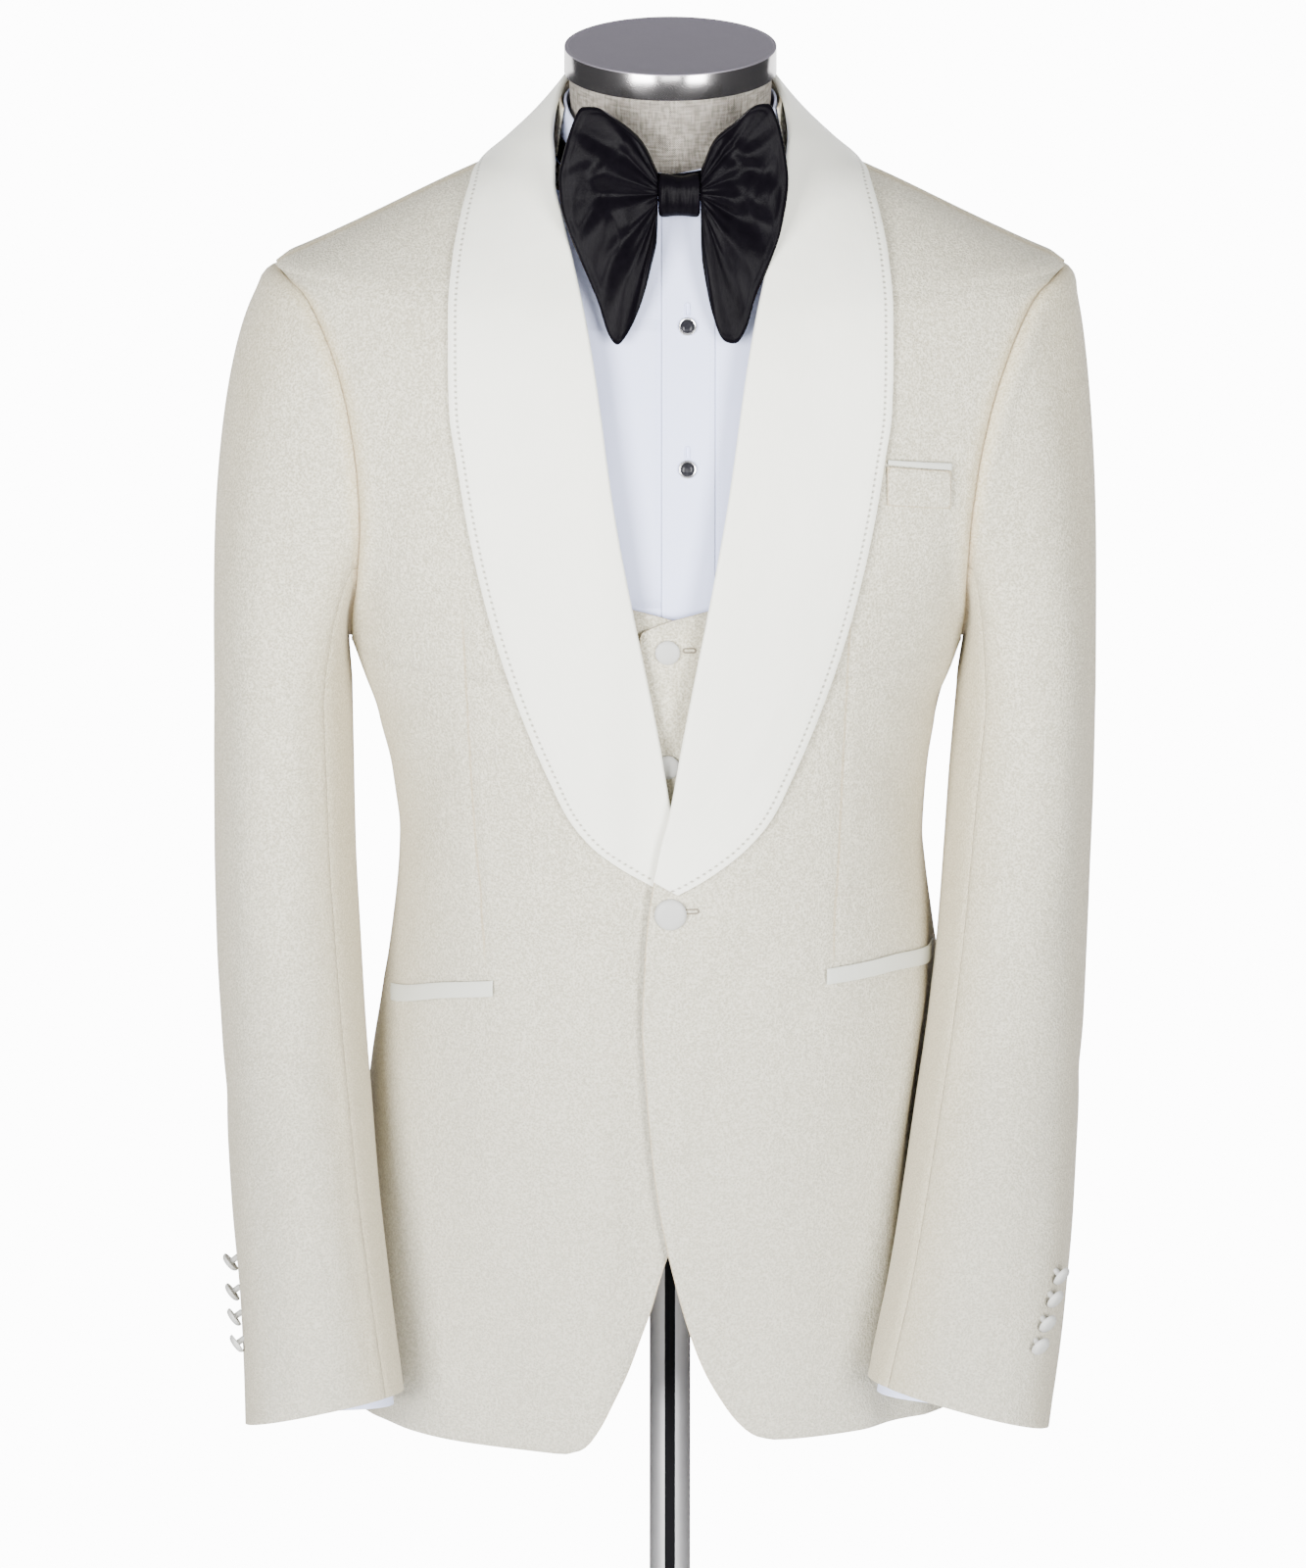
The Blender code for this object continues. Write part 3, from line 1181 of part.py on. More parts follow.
def shirt_placket():
    """Front strip with its studs."""
    edges = [PLACKET_X + share * PLACKET_WIDTH / 2 for share in (-1, 0, 1)]
    patch = [[(torso_skin.turn_at(x, z), z) for x in edges] for z in shirt_rows() if z > PLACKET_LOW]
    grid, normals = skin_patch(torso_skin, patch, SHIRT_OUT + PLACKET_OVER)
    sheet("shirt_placket", grid, normals, SHIRT_CLOTH + PLACKET_OVER, "shirting")
    profile = tuple((radius * MM, SEAM_GAP + rise * MM) for radius, rise in STUD_PROFILE)
    for number, height in enumerate(STUD_HEIGHTS, 1):
        z = height * MM
        turn = torso_skin.turn_at(STUD_X, z)
        centre = torso_skin.point(turn, z, SHIRT_OUT + PLACKET_OVER)
        disc_on(f"shirt_stud_{number}", centre, torso_skin.normal(turn, z), profile, "stud_black", 10)


def neck_point(turn, z, offset):
    """Point on a band round the neck at a turn and height, this far outside the shirt collar."""
    radius = neck_radius(z) + offset
    angle = math.radians(turn)
    ahead = lerp(1.0, NECK_FRONT, smoothstep(-0.2, 1.0, math.cos(angle)))
    return Vector((radius * math.sin(angle), -radius * math.cos(angle) * ahead, z))


def around(turn):
    """The turn folded into 0..180."""
    turn %= 360
    return min(turn, 360 - turn)


def neck_band(name, low_of, high_of, offset, thickness, material, levels, first=0.0, last=360.0):
    """Band round the neck between two heights that vary with the turn."""
    closed = last - first >= 360
    count = NECK_COLUMNS if closed else round(NECK_COLUMNS * (last - first) / 360)
    grid = []
    for level in range(levels + 1):
        row = []
        for k in range(count if closed else count + 1):
            turn = lerp(first, last, k / count)
            z = lerp(low_of(around(turn)), high_of(around(turn)), level / levels)
            row.append(neck_point(turn, z, offset))
        grid.append(row)
    sheet(name, grid, grid_normals(grid, closed), thickness, material, closed)


def build_shirt_collar():
    """Upright band round the neck, lower at the front."""
    top, foot = smooth_curve(SHIRT_COLLAR_TOP), smooth_curve(SHIRT_COLLAR_FOOT)
    neck_band("shirt_collar", lambda turn: foot(turn) * MM, lambda turn: top(turn) * MM, 0.0,
              COLLAR_CLOTH, "shirting", 2)


def shirt_sleeves():
    """A plain tube inside each jacket sleeve, and the cuff that shows below it."""
    for side, label in ((LEFT, "left"), (RIGHT, "right")):
        loop = armhole_loop(torso_skin, SHIRT_ARM, side, shirt_rows())
        loop = [(p + n * SHIRT_OUT, n, o, a) for p, n, o, a in loop]
        upper, lower = (SleeveShape(side, inset=slack) for slack in SHIRT_SLEEVE_SLACK)
        shape = ShirtSleeveShape(upper, lower, *SHIRT_SLEEVE_SPAN)
        sleeve_panel(f"shirt_sleeve_{label}", loop, shape, lambda share: (-90, 270), SHIRT_SLEEVE_COLUMNS,
                     SHIRT_SLEEVE_ROWS, SHIRT_CLOTH, "shirting", SHIRT_HEAD_PUSH, closed=True)
        cuff = SleeveShape(side, inset=SHIRT_CUFF_SLACK)
        middles = [shape_centre(cuff, share) for share in SHIRT_CUFF_SHARES]
        along = (middles[-1] - middles[0]).normalized()
        half = cuff.section(cuff.bottom)[1]
        grid = []
        for level, share in enumerate(SHIRT_CUFF_SHARES):
            ease = smoothstep(0, len(SHIRT_CUFF_SHARES) - 1, level)
            row = []
            for k in range(SHIRT_CUFF_COLUMNS):
                angle = 360 * k / SHIRT_CUFF_COLUMNS
                outwards = half * (1 + math.sin(math.radians(angle)))
                drop = (SHIRT_CUFF_SHOWS - SHIRT_CUFF_SLANT * outwards) * ease
                row.append(cuff.point(angle, share) + along * drop)
            grid.append(row)
        normals = grid_normals(grid, closed=True)
        if normals[1][0].dot(grid[1][0] - middles[1]) < 0:
            normals = [[-n for n in line] for line in normals]
        sheet(f"shirt_cuff_{label}", grid, normals, COLLAR_CLOTH, "shirting", closed=True)


class ShirtSleeveShape:
    """The shirt's sleeve inside the jacket's: slack at the top, close inside the cuff."""

    def __init__(self, upper, lower, first, last):
        self.upper, self.lower, self.first, self.last = upper, lower, first, last
        self.side, self.top, self.bottom = upper.side, upper.top, upper.bottom

    def section(self, z):
        return self.upper.section(z)

    def point(self, angle, share):
        place = lerp(self.first, self.last, share)
        return self.upper.point(angle, place).lerp(self.lower.point(angle, place), share ** 3)


# ================================ bow tie ===================================================
def bow_wing(name, side, front_y, depth, spread, pleats, rays):
    """Puffed wing: a fan from the knot's side out to the outline, with pleats that fade."""
    knot_x, knot_z, half_width, half_height = (value * MM for value in KNOT)
    root_x = knot_x + side * (half_width + SEAM_GAP)
    outline = WING_OUTLINES[side]
    count = len(outline)
    front, back = [], []
    for i, (x, z) in enumerate(outline):
        share = i / (count - 1)
        root = Vector((root_x, 0, knot_z + half_height * WING_ROOT * (1 - 2 * share)))
        tip = Vector((x * MM, 0, z * MM))
        tip = Vector((root_x + (tip.x - root_x) * spread, 0, knot_z + (tip.z - knot_z) * spread))
        line_front, line_back = [], []
        for k in range(rays + 1):
            t = k / rays
            base = root.lerp(tip, t)
            if side * (base.x - root_x) < 0:
                base.x = root_x
            puff = math.sin(math.pi * min(share, 1 - share)) ** 0.6 if 0 < i < count - 1 else 0.0
            swell = depth * (0.18 + 0.82 * math.sin(math.pi * (0.25 + 0.7 * t)) ** 1.2) * puff
            fold = pleats * math.cos(2 * math.pi * PLEATS * share) * math.sin(math.pi * t) * (1 - 0.6 * t)
            plane = front_y - BOW_LEAN * max(knot_z - base.z, -0.5 * (base.z - knot_z))
            line_front.append(base + Vector((0, plane - WING_EDGE - swell * 0.6 + fold * puff, 0)))
            line_back.append(base + Vector((0, plane + WING_EDGE + swell * 0.4, 0)))
        front.append(line_front)
        back.append(line_back)
    wall(name, front, back, "satin_black")


def build_bow():
    """Knot, two puffed wings with a flatter one behind each, and the neck band."""
    knot_x, knot_z, half_width, half_height = (value * MM for value in KNOT)
    rows, columns = KNOT_ROWS, KNOT_COLUMNS
    grid = []
    for k in range(columns):
        angle = 2 * math.pi * k / columns
        row = []
        for i in range(rows + 1):
            t = i / rows
            size = (1 - KNOT_PINCH * math.sin(math.pi * t)) * (1.0 if 0 < i < rows else KNOT_ENDS)
            row.append(Vector((knot_x + lerp(-half_width, half_width, t),
                               BOW_Y - KNOT_PROUD - math.cos(angle) * KNOT_DEPTH * size,
                               knot_z + math.sin(angle) * half_height * size)))
        grid.append(row)
    verts = [p for row in grid for p in row]
    span = rows + 1
    faces = []
    for k in range(columns):
        for i in range(rows):
            a, b = k * span + i, ((k + 1) % columns) * span + i
            faces.append((a, a + 1, b + 1, b))
    faces.append(tuple(k * span for k in range(columns)))
    faces.append(tuple(k * span + rows for k in range(columns))[::-1])
    new_object("bow_knot", verts, faces, "satin_black")
    for side, label in ((LEFT, "left"), (RIGHT, "right")):
        for name, before, depth, spread, pleats, rays in WING_LAYERS:
            bow_wing(f"{name}_{label}", side, BOW_Y - before, depth, spread, pleats, rays)
    build_tie_band()


def build_tie_band():
    """Neck band of the tie, round the shirt's collar."""
    middle = smooth_curve(TIE_BAND_MIDDLE)
    half = TIE_BAND_WIDTH / 2
    neck_band("bow_neck_band", lambda turn: middle(turn) * MM - half, lambda turn: middle(turn) * MM + half,
              TIE_BAND_OFFSET, TIE_BAND_CLOTH, "satin_black", 1)


# ================================ assembly ==================================================
for old in list(bpy.data.objects):
    bpy.data.objects.remove(old)
model = bpy.data.collections.new("tuxedo_on_dress_form")
bpy.context.scene.collection.children.link(model)

build_stand()
build_torso()
for wearer_side in (LEFT, RIGHT):
    jacket_front(wearer_side)
    jacket_back(wearer_side)
    jacket_sleeve(wearer_side)
    build_lapel(wearer_side)
    waistcoat_front(wearer_side)
    shirt_front(wearer_side)
build_collar_stand()
build_pockets()
button_x, button_z, button_radius = JACKET_BUTTON
button_turn = jacket_skin.turn_at(button_x, button_z)
covered_button("jacket_button", jacket_skin.point(button_turn, button_z),
               jacket_skin.normal(button_turn, button_z), button_radius, JACKET_BUTTON_SEAT)
waistcoat_back()
waistcoat_straps()
waistcoat_buttons()
shirt_back()
shirt_placket()
build_shirt_collar()
shirt_sleeves()
build_bow()
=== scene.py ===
"""Visual model of a shawl-collar tuxedo on a limbless dress form, in the part's own frame.

Metres, +Z up, -Y the wearer's front, +X the wearer's left. Cloth pieces are thin shells on the
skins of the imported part; hard pieces are modelled with Blender's own tools.
"""
import logging
import math
from dataclasses import dataclass, field
from enum import Enum, IntEnum
from typing import Callable, Iterable, Sequence

import bmesh
import bpy
import numpy as np
from mathutils import Matrix, Vector


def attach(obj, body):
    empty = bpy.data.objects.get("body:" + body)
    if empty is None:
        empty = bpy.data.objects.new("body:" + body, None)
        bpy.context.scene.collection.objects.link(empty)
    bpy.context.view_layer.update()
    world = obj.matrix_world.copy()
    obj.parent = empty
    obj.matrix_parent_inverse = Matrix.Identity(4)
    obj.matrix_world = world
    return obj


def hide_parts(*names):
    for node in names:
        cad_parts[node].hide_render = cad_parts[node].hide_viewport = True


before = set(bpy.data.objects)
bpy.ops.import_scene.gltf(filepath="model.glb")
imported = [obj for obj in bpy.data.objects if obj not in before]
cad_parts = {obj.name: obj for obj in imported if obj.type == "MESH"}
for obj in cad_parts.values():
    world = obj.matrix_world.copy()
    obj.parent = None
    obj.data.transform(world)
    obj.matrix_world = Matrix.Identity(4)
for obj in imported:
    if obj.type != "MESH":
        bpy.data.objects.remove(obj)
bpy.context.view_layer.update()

MM = 0.001
log = logging.getLogger("tuxedo")
Array = np.ndarray
Folds = tuple[tuple[float, ...], ...]


class Side(IntEnum):
    """The wearer's sides, as signs of X."""

    LEFT = 1
    RIGHT = -1

    @property
    def label(self) -> str:
        """Name used in piece names."""
        return self.name.lower()


class Held(Enum):
    """How a sheet is held in place."""

    HUNG = "hung"
    LAID = "laid"
    FOLDED = "folded"
    STRETCHED = "stretched"


class Slot(Enum):
    """The record's material slots."""

    JACQUARD = "jacquard"
    SATIN_IVORY = "satin_ivory"
    SHIRTING = "shirting"
    SATIN_BLACK = "satin_black"
    LINEN = "linen"
    STEEL = "steel"
    STUD = "stud_black"


# ---- sizes that pieces share ----
SEAM_GAP = 0.3 * MM
ARMHOLE_GAP = 0.8 * MM
FOLD_BOW = 0.0002  # how far a fold bends sideways, per mm along it squared
FAR = 200 * MM  # the "edge" mark of a piece that shows no stitching
POLE_STEP = 7.5  # degrees between the pole's edges
LEAST_CUT = 10 * MM  # the shortest side that a flat cut may state
LEAST_FILL = 0.3  # the smallest share of its rectangle that a flat cut may fill
TORSO_SECTIONS = (
    # height, half_width, shift, front, back, square
    (872, 148, -3, 103, 98, 2.20), (950, 145, -4, 102, 95, 2.20), (1030, 139, -4, 101, 91, 2.15),
    (1095, 135, -4, 102, 89, 2.15), (1165, 141, -4, 107, 94, 2.15), (1212, 153, -3, 112, 100, 2.20),
    (1260, 164, -1, 113, 104, 2.25), (1310, 174, 0, 110, 105, 2.25), (1360, 182, 0, 103, 101, 2.25),
    (1400, 184, 0, 94, 95, 2.15), (1422, 179, 0, 87, 90, 2.15), (1436, 165, 0, 81, 85, 2.10),
    (1450, 142, 0, 75, 80, 2.05), (1463, 116, 0, 69, 74, 2.00), (1475, 92, 0, 64, 68, 2.00),
    (1486, 73, 0, 61, 62, 2.00), (1496, 64, 0, 59, 58.5, 2.00), (1508, 60, 0, 57.5, 57, 2.00),
    (1524, 57, 0, 57, 57.2, 2.00), (1549, 58, 0, 58, 58.2, 2.00),
)
JACKET_SECTIONS = (
    # height, half_width, shift, front, back, square
    (740, 189, -6, 131, 127, 2.10), (764, 187.5, -6, 131, 126, 2.10), (860, 181, -5, 129, 124, 2.12),
    (968, 170, -4, 127, 119, 2.15), (1030, 160, -4, 126, 112, 2.15), (1095, 153.5, -5, 127, 107, 2.15),
    (1142, 155.5, -6, 129, 109, 2.15), (1188, 165.5, -8, 132, 115, 2.15), (1219, 176, -8, 133, 119, 2.15),
    (1250, 186, -6, 133, 122, 2.15), (1300, 214, -3, 131, 123, 2.15), (1360, 232, -1, 121, 119, 2.15),
    (1400, 233, 0, 112, 113, 2.15), (1425, 229, 0, 103, 106, 2.15), (1438.5, 226, 0, 96, 101, 2.15),
    (1450, 204, 0, 89, 95, 2.10), (1460, 183, 0, 83, 90, 2.10), (1470, 163, 0, 77, 84, 2.05),
    (1480, 143, 0, 71, 78, 2.05), (1490, 122, 0, 66, 76, 2.00), (1500, 99, 0, 62, 72, 2.00),
    (1506, 86, 0, 60, 70.5, 2.00),
)
SLEEVE_SECTIONS = {
    Side.RIGHT: (
        # height, outer, inner, middle_y, half_depth
        (1190, 263.5, 183.5, -4, 77), (1142, 264.0, 182.7, -8, 76), (1095, 264.0, 181.8, -14, 74),
        (1047, 262.8, 179.4, -24, 71), (1000, 259.8, 176.6, -40, 68), (952, 256.6, 172.6, -60, 64),
        (905, 253.1, 168.4, -80, 60), (857, 248.4, 162.8, -95, 56), (820, 246.5, 158.3, -104, 52),
        (787, 245.6, 153.8, -110, 49),
    ),
    Side.LEFT: (
        (1190, 246.0, 165.5, -4, 77), (1142, 245.3, 161.5, -8, 76), (1095, 243.6, 158.2, -16, 74),
        (1047, 241.4, 154.3, -30, 71), (1000, 238.8, 148.7, -50, 67), (952, 235.5, 141.4, -72, 63),
        (905, 232.2, 134.3, -92, 58), (857, 227.4, 126.6, -107, 53), (822, 222.8, 119.4, -117, 49),
        (795, 218.4, 113.8, -124, 45),
    ),
}
CUFF_TILT = {Side.RIGHT: (0.22, 0.22), Side.LEFT: (0.29, 0.16)}


# ---- curves and skins ----
class Curve:
    """Smooth line through (key, value) pairs that never overshoots; takes and gives arrays."""

    def __init__(self, pairs: Iterable[Sequence[float]], unit: float = 1.0) -> None:
        """Fit the curve.

        Args:
            pairs: keys and values, sorted by key.
            unit: the unit that keys and values are asked in.
        """
        table = np.array([tuple(pair) for pair in pairs], float)
        self.unit = unit
        self.keys, self.values = table[:, 0], table[:, 1]
        self.steps = np.diff(self.keys)
        slopes = np.diff(self.values) / self.steps
        tangents = np.zeros(len(self.keys))
        tangents[0], tangents[-1] = slopes[0], slopes[-1]
        for i in range(1, len(self.keys) - 1):
            if slopes[i - 1] * slopes[i] > 0:
                a = 2 * self.steps[i] + self.steps[i - 1]
                b = self.steps[i] + 2 * self.steps[i - 1]
                tangents[i] = (a + b) / (a / slopes[i - 1] + b / slopes[i])
        self.tangents = tangents

    def __call__(self, key: Array | float) -> Array:
        """Value at the key, held at the ends.

        Args:
            key: where to look, in the curve's unit.

        Returns:
            The curve's value there, in the same unit.
        """
        key = np.clip(np.asarray(key, float) / self.unit, self.keys[0], self.keys[-1])
        i = np.clip(np.searchsorted(self.keys, key, side="right") - 1, 0, len(self.keys) - 2)
        step = self.steps[i]
        t = (key - self.keys[i]) / step
        value = ((1 + 2 * t) * (1 - t) ** 2 * self.values[i] + t * (1 - t) ** 2 * step * self.tangents[i]
                 + t * t * (3 - 2 * t) * self.values[i + 1] + t * t * (t - 1) * step * self.tangents[i + 1])
        return value * self.unit


def columns(rows: Sequence[Sequence[float]], unit: float = 1.0) -> tuple[Curve, ...]:
    """One curve for each further column of a table, keyed by its first one."""
    rows = sorted(rows)
    return tuple(Curve([(row[0], row[i]) for row in rows], unit) for i in range(1, len(rows[0])))


def smoothstep(low: float, high: float, value: Array | float) -> Array:
    """Rise from 0 at low to 1 at high with level ends."""
    t = np.clip((np.asarray(value, float) - low) / (high - low), 0.0, 1.0)
    return t * t * (3 - 2 * t)


def lerp(a: Array | float, b: Array | float, t: Array | float) -> Array:
    """Straight mix of a and b."""
    return a + (b - a) * t


def hill(distance: Array, width: float) -> Array:
    """Soft bump of height 1 at distance 0 that has faded out at about twice the width."""
    return np.exp(-(distance / width) ** 2)


def stack(*parts: Array) -> Array:
    """Points from arrays of x, y and z that broadcast together."""
    return np.stack(np.broadcast_arrays(*parts), axis=-1)


def unit(vectors: Array) -> Array:
    """Vectors scaled to length 1."""
    return vectors / np.maximum(np.linalg.norm(vectors, axis=-1, keepdims=True), 1e-12)


def run(points: Array, axis: int = 0) -> Array:
    """Length along an axis of the points, 0 at its first one."""
    return np.insert(np.cumsum(np.linalg.norm(np.diff(points, axis=axis), axis=-1), axis), 0, 0.0, axis)


def sine(degrees: Array) -> Array:
    """Sine of an angle in degrees."""
    return np.sin(np.radians(degrees))


def cosine(degrees: Array) -> Array:
    """Cosine of an angle in degrees."""
    return np.cos(np.radians(degrees))


def power(value: Array, exponent: Array | float) -> Array:
    """Power of the size of a value, with its sign."""
    return np.sign(value) * np.abs(value) ** exponent


def resample(lengths: Array, rows: Array, dense: Array) -> Array:
    """Smooth curves through rows of numbers at given lengths, read at dense ones."""
    return np.stack([Curve(np.stack([lengths, column], 1))(dense) for column in rows.T], 1)


def grid_normals(points: Array, closed: bool = False) -> Array:
    """Unit normals of a grid, by differences along its rows and columns.

    Args:
        points: rows of points.
        closed: whether the last column meets the first.

    Returns:
        One normal for each point.
    """
    across = np.roll(points, -1, 1) - np.roll(points, 1, 1) if closed else np.gradient(points, axis=1)
    return unit(np.cross(across, np.gradient(points, axis=0)))


def by_side(left: object, right: object) -> object:
    """Dataclass field that holds one value for each side."""
    return field(default_factory=lambda: {Side.LEFT: left, Side.RIGHT: right})


class Skin:
    """Body of oval sections stacked by height; points are found by turn or by x."""

    def __init__(self, sections: Sequence[Sequence[float]]) -> None:
        """Fit a curve to each column.

        Args:
            sections: rows of height, half width, shift, front, back (mm) and squareness.
        """
        self.columns = columns(sections)
        self.low, self.high = sections[0][0] * MM, sections[-1][0] * MM

    def section(self, z: Array) -> tuple[Array, ...]:
        """Half width, shift, front, back and squareness at a height."""
        width, shift, front, back, square = (column(np.asarray(z) / MM) for column in self.columns)
        return width * MM, shift * MM, front * MM, back * MM, square

    def base(self, turn: Array, z: Array) -> Array:
        """Point of the skin.

        Args:
            turn: degrees round the body, 0 centre front, 90 the wearer's left, 180 centre back.
            z: height.

        Returns:
            Points with x, y and z in the last axis.
        """
        width, shift, front, back, square = self.section(z)
        depth = np.where(cosine(turn) > 0, front, back)
        x = shift + width * power(sine(turn), 2 / square)
        y = -depth * power(cosine(turn), 2 / square)
        return stack(x, y, np.asarray(z, float) + 0 * x)

    def normal(self, turn: Array, z: Array) -> Array:
        """Outward unit normal, by differences; wider ones at the sides, where turns crowd.

        Args:
            turn: degrees round the body.
            z: height.

        Returns:
            Unit vectors.
        """
        turn, z = np.asarray(turn, float), np.asarray(z, float)
        step = 0.6 + 2.4 * (1 - smoothstep(0.02, 0.08, np.abs(cosine(turn))))
        across = self.base(turn + step, z) - self.base(turn - step, z)
        up = (self.base(turn, np.minimum(z + 1.5 * MM, self.high))
              - self.base(turn, np.maximum(z - 1.5 * MM, self.low)))
        return unit(np.cross(across, up))

    def point(self, turn: Array, z: Array, out: Array | float = 0.0) -> Array:
        """Point at a distance outside the skin."""
        return self.base(turn, z) + self.normal(turn, z) * np.asarray(out)[..., None]

    def turn_at(self, x: Array, z: Array, back: bool = False) -> Array:
        """Turn whose point has this x.

        Args:
            x: signed x.
            z: height.
            back: whether the point lies on the back.

        Returns:
            Degrees round the body, below 0 on the wearer's right.
        """
        width, shift, _, _, square = self.section(z)
        share = np.minimum(np.abs(x - shift) / width, 1.0)
        turn = np.degrees(np.arcsin(share ** (square / 2)))
        return np.where(back, 180 - turn, turn) * np.where(x < shift, -1.0, 1.0)

    def turn_from_middle(self, distance: Array, z: Array, side: Side, back: bool = False) -> Array:
        """Turn whose point lies this far from the section's own middle."""
        return self.turn_at(self.section(z)[1] + side * distance, z, back)

    def spot(self, x: float, z: float, out: float = 0.0, rise: float = 0.0) -> tuple[Array, Array]:
        """Point and normal on the front.

        Args:
            x: signed x.
            z: height.
            out: distance of the point outside the skin.
            rise: how far above z the point is taken, at the same turn.

        Returns:
            The point and the outward normal.
        """
        turn, z = self.turn_at(np.array(x), np.array(z)), np.array(z)
        return self.point(turn, z + rise, out), self.normal(turn, z)


class JacketSkin(Skin):
    """The jacket's skin, which gives way where the sleeves press on it."""

    clearance, softness = 3.0 * MM, 6.0 * MM
    highest, narrowest = 1190 * MM, 60 * MM

    def __init__(self, sections: Sequence[Sequence[float]]) -> None:
        """Fit the curves, with those of the sleeves, whose own table says where they press.

        Args:
            sections: the jacket's rows.
        """
        super().__init__(sections)
        self.arms = {side: columns(rows, MM) for side, rows in SLEEVE_SECTIONS.items()}

    def base(self, turn: Array, z: Array) -> Array:
        """Point of the skin, pressed in beside the arms.

        Args:
            turn: degrees round the body.
            z: height.

        Returns:
            Points with x, y and z in the last axis.
        """
        point = super().base(turn, z)
        x, y, height = point[..., 0], point[..., 1], point[..., 2]
        for side in Side:
            outer, inner, middle, depth = (column(height) for column in self.arms[side])
            half = (outer - inner) / 2 + self.clearance
            share = np.clip((y - middle) / (depth + self.clearance), -1, 1)
            overlap = x * side - ((outer + inner) / 2 - half * np.sqrt(1 - share * share))
            eased = (overlap + self.softness) ** 2 / (4 * self.softness)
            press = np.where(overlap > self.softness, overlap, eased)
            near = ((x * side > self.narrowest) & (height <= self.highest) & (np.abs(share) < 1)
                    & (overlap > -self.softness))
            x = x - side * np.where(near, press, 0.0)
        return stack(x, y, height)


TORSO = Skin(TORSO_SECTIONS)
JACKET = JacketSkin(JACKET_SECTIONS)


# ---- grids, creases and sheets ----
@dataclass(frozen=True)
class Fold:
    """A soft trough (depth above 0) or ridge (below 0) in a sheet, in mm.

    x, z: middle; length, width: half sizes; lean: degrees from upright, top towards +x; depth.
    Each row of a table of Folds has these six columns.
    """

    x: float
    z: float
    length: float
    width: float
    lean: float
    depth: float

    def at(self, x: Array, z: Array) -> Array:
        """How far the sheet sinks at a point.

        Args:
            x: signed x, or another measure across the sheet.
            z: height.

        Returns:
            Depth in metres.
        """
        dx, dz = x / MM - self.x, z / MM - self.z
        along = dz * cosine(self.lean) + dx * sine(self.lean)
        across = dx * cosine(self.lean) - dz * sine(self.lean) + FOLD_BOW * along * along
        return self.depth * MM * hill(across, self.width) * hill(along, self.length)


def sink(folds: Folds, x: Array, z: Array) -> Array:
    """How far a sheet sinks from all of its folds."""
    return sum((Fold(*row).at(x, z) for row in folds), np.zeros(np.broadcast(x, z).shape))


def spaced(stops: Sequence[float], pitch: float, fine: Sequence[float] = ()) -> Array:
    """Values from the first to the last stop.

    Args:
        stops: values that are kept.
        pitch: about how far apart the values are.
        fine: more values to keep.

    Returns:
        The values in order.
    """
    values = list(fine)
    for a, b in zip(stops, stops[1:]):
        values += list(np.linspace(a, b, max(2, int(math.ceil(abs(b - a) / pitch)) + 1)))
    values = np.unique(np.round(values, 6))
    keep = np.insert(np.diff(values) > 0.15 * pitch, 0, True) | np.isin(values, np.round(fine, 6))
    return values[keep]


@dataclass
class Grid:
    """Outer face of a sheet as rows of points, with lengths along it for its cloth's threads."""

    points: Array
    closed: bool = False
    marks: dict[str, Array] = field(default_factory=dict)
    origin: tuple[int, int] = (0, 0)
    uv: Array | None = None

    def lengths(self) -> Array:
        """Place of each point in the flat cloth.

        Returns:
            Lengths in metres across and along, counted from the origin's column and row.
        """
        if self.uv is not None:
            return self.uv
        across, along = run(self.points, 1), run(self.points)
        row, column = self.origin
        return np.stack([across - across[:, column, None], along - along[row]], -1)

    def turned(self, when: bool) -> "Grid":
        """The same face with its columns in reverse, so that it looks the other way.

        Args:
            when: False to leave it as it is.

        Returns:
            The grid, whose points, marks and lengths are all reversed.
        """
        if not when:
            return self
        marks = {name: values[:, ::-1] for name, values in self.marks.items()}
        uv = None if self.uv is None else self.uv[:, ::-1]
        return Grid(self.points[:, ::-1], self.closed, marks, self.origin, uv)

    def faces_in(self, row: int) -> bool:
        """Whether a closed grid's face looks inwards at this row."""
        ring = self.points[row]
        return float(np.dot(grid_normals(self.points, True)[row, 0], ring[0] - ring.mean(0))) < 0

    def area(self) -> float:
        """Area of the outer face.

        Returns:
            Square metres.
        """
        p = np.concatenate([self.points, self.points[:, :1]], 1) if self.closed else self.points
        cross = np.cross(p[1:, 1:] - p[:-1, :-1], p[1:, :-1] - p[:-1, 1:])
        return float(np.linalg.norm(cross, axis=-1).sum() / 2)

    def faces(self) -> list[tuple[int, ...]]:
        """Quads between neighbouring points.

        Returns:
            Four point numbers for each.
        """
        rows, columns = self.points.shape[:2]
        last = columns if self.closed else columns - 1
        r, c = np.meshgrid(np.arange(rows - 1), np.arange(last), indexing="ij")
        a, b = r * columns + c, r * columns + (c + 1) % columns
        return np.stack([a, b, b + columns, a + columns], -1).reshape(-1, 4).tolist()


def add_marks(mesh: bpy.types.Mesh, marks: dict[str, Array]) -> None:
    """Store numbers on the vertices.

    Args:
        mesh: the mesh that takes them.
        marks: one number per vertex for each name.
    """
    for name, values in marks.items():
        layer = mesh.attributes.new(name, "FLOAT", "POINT")
        layer.data.foreach_set("value", np.ascontiguousarray(values, dtype=np.float32).ravel())


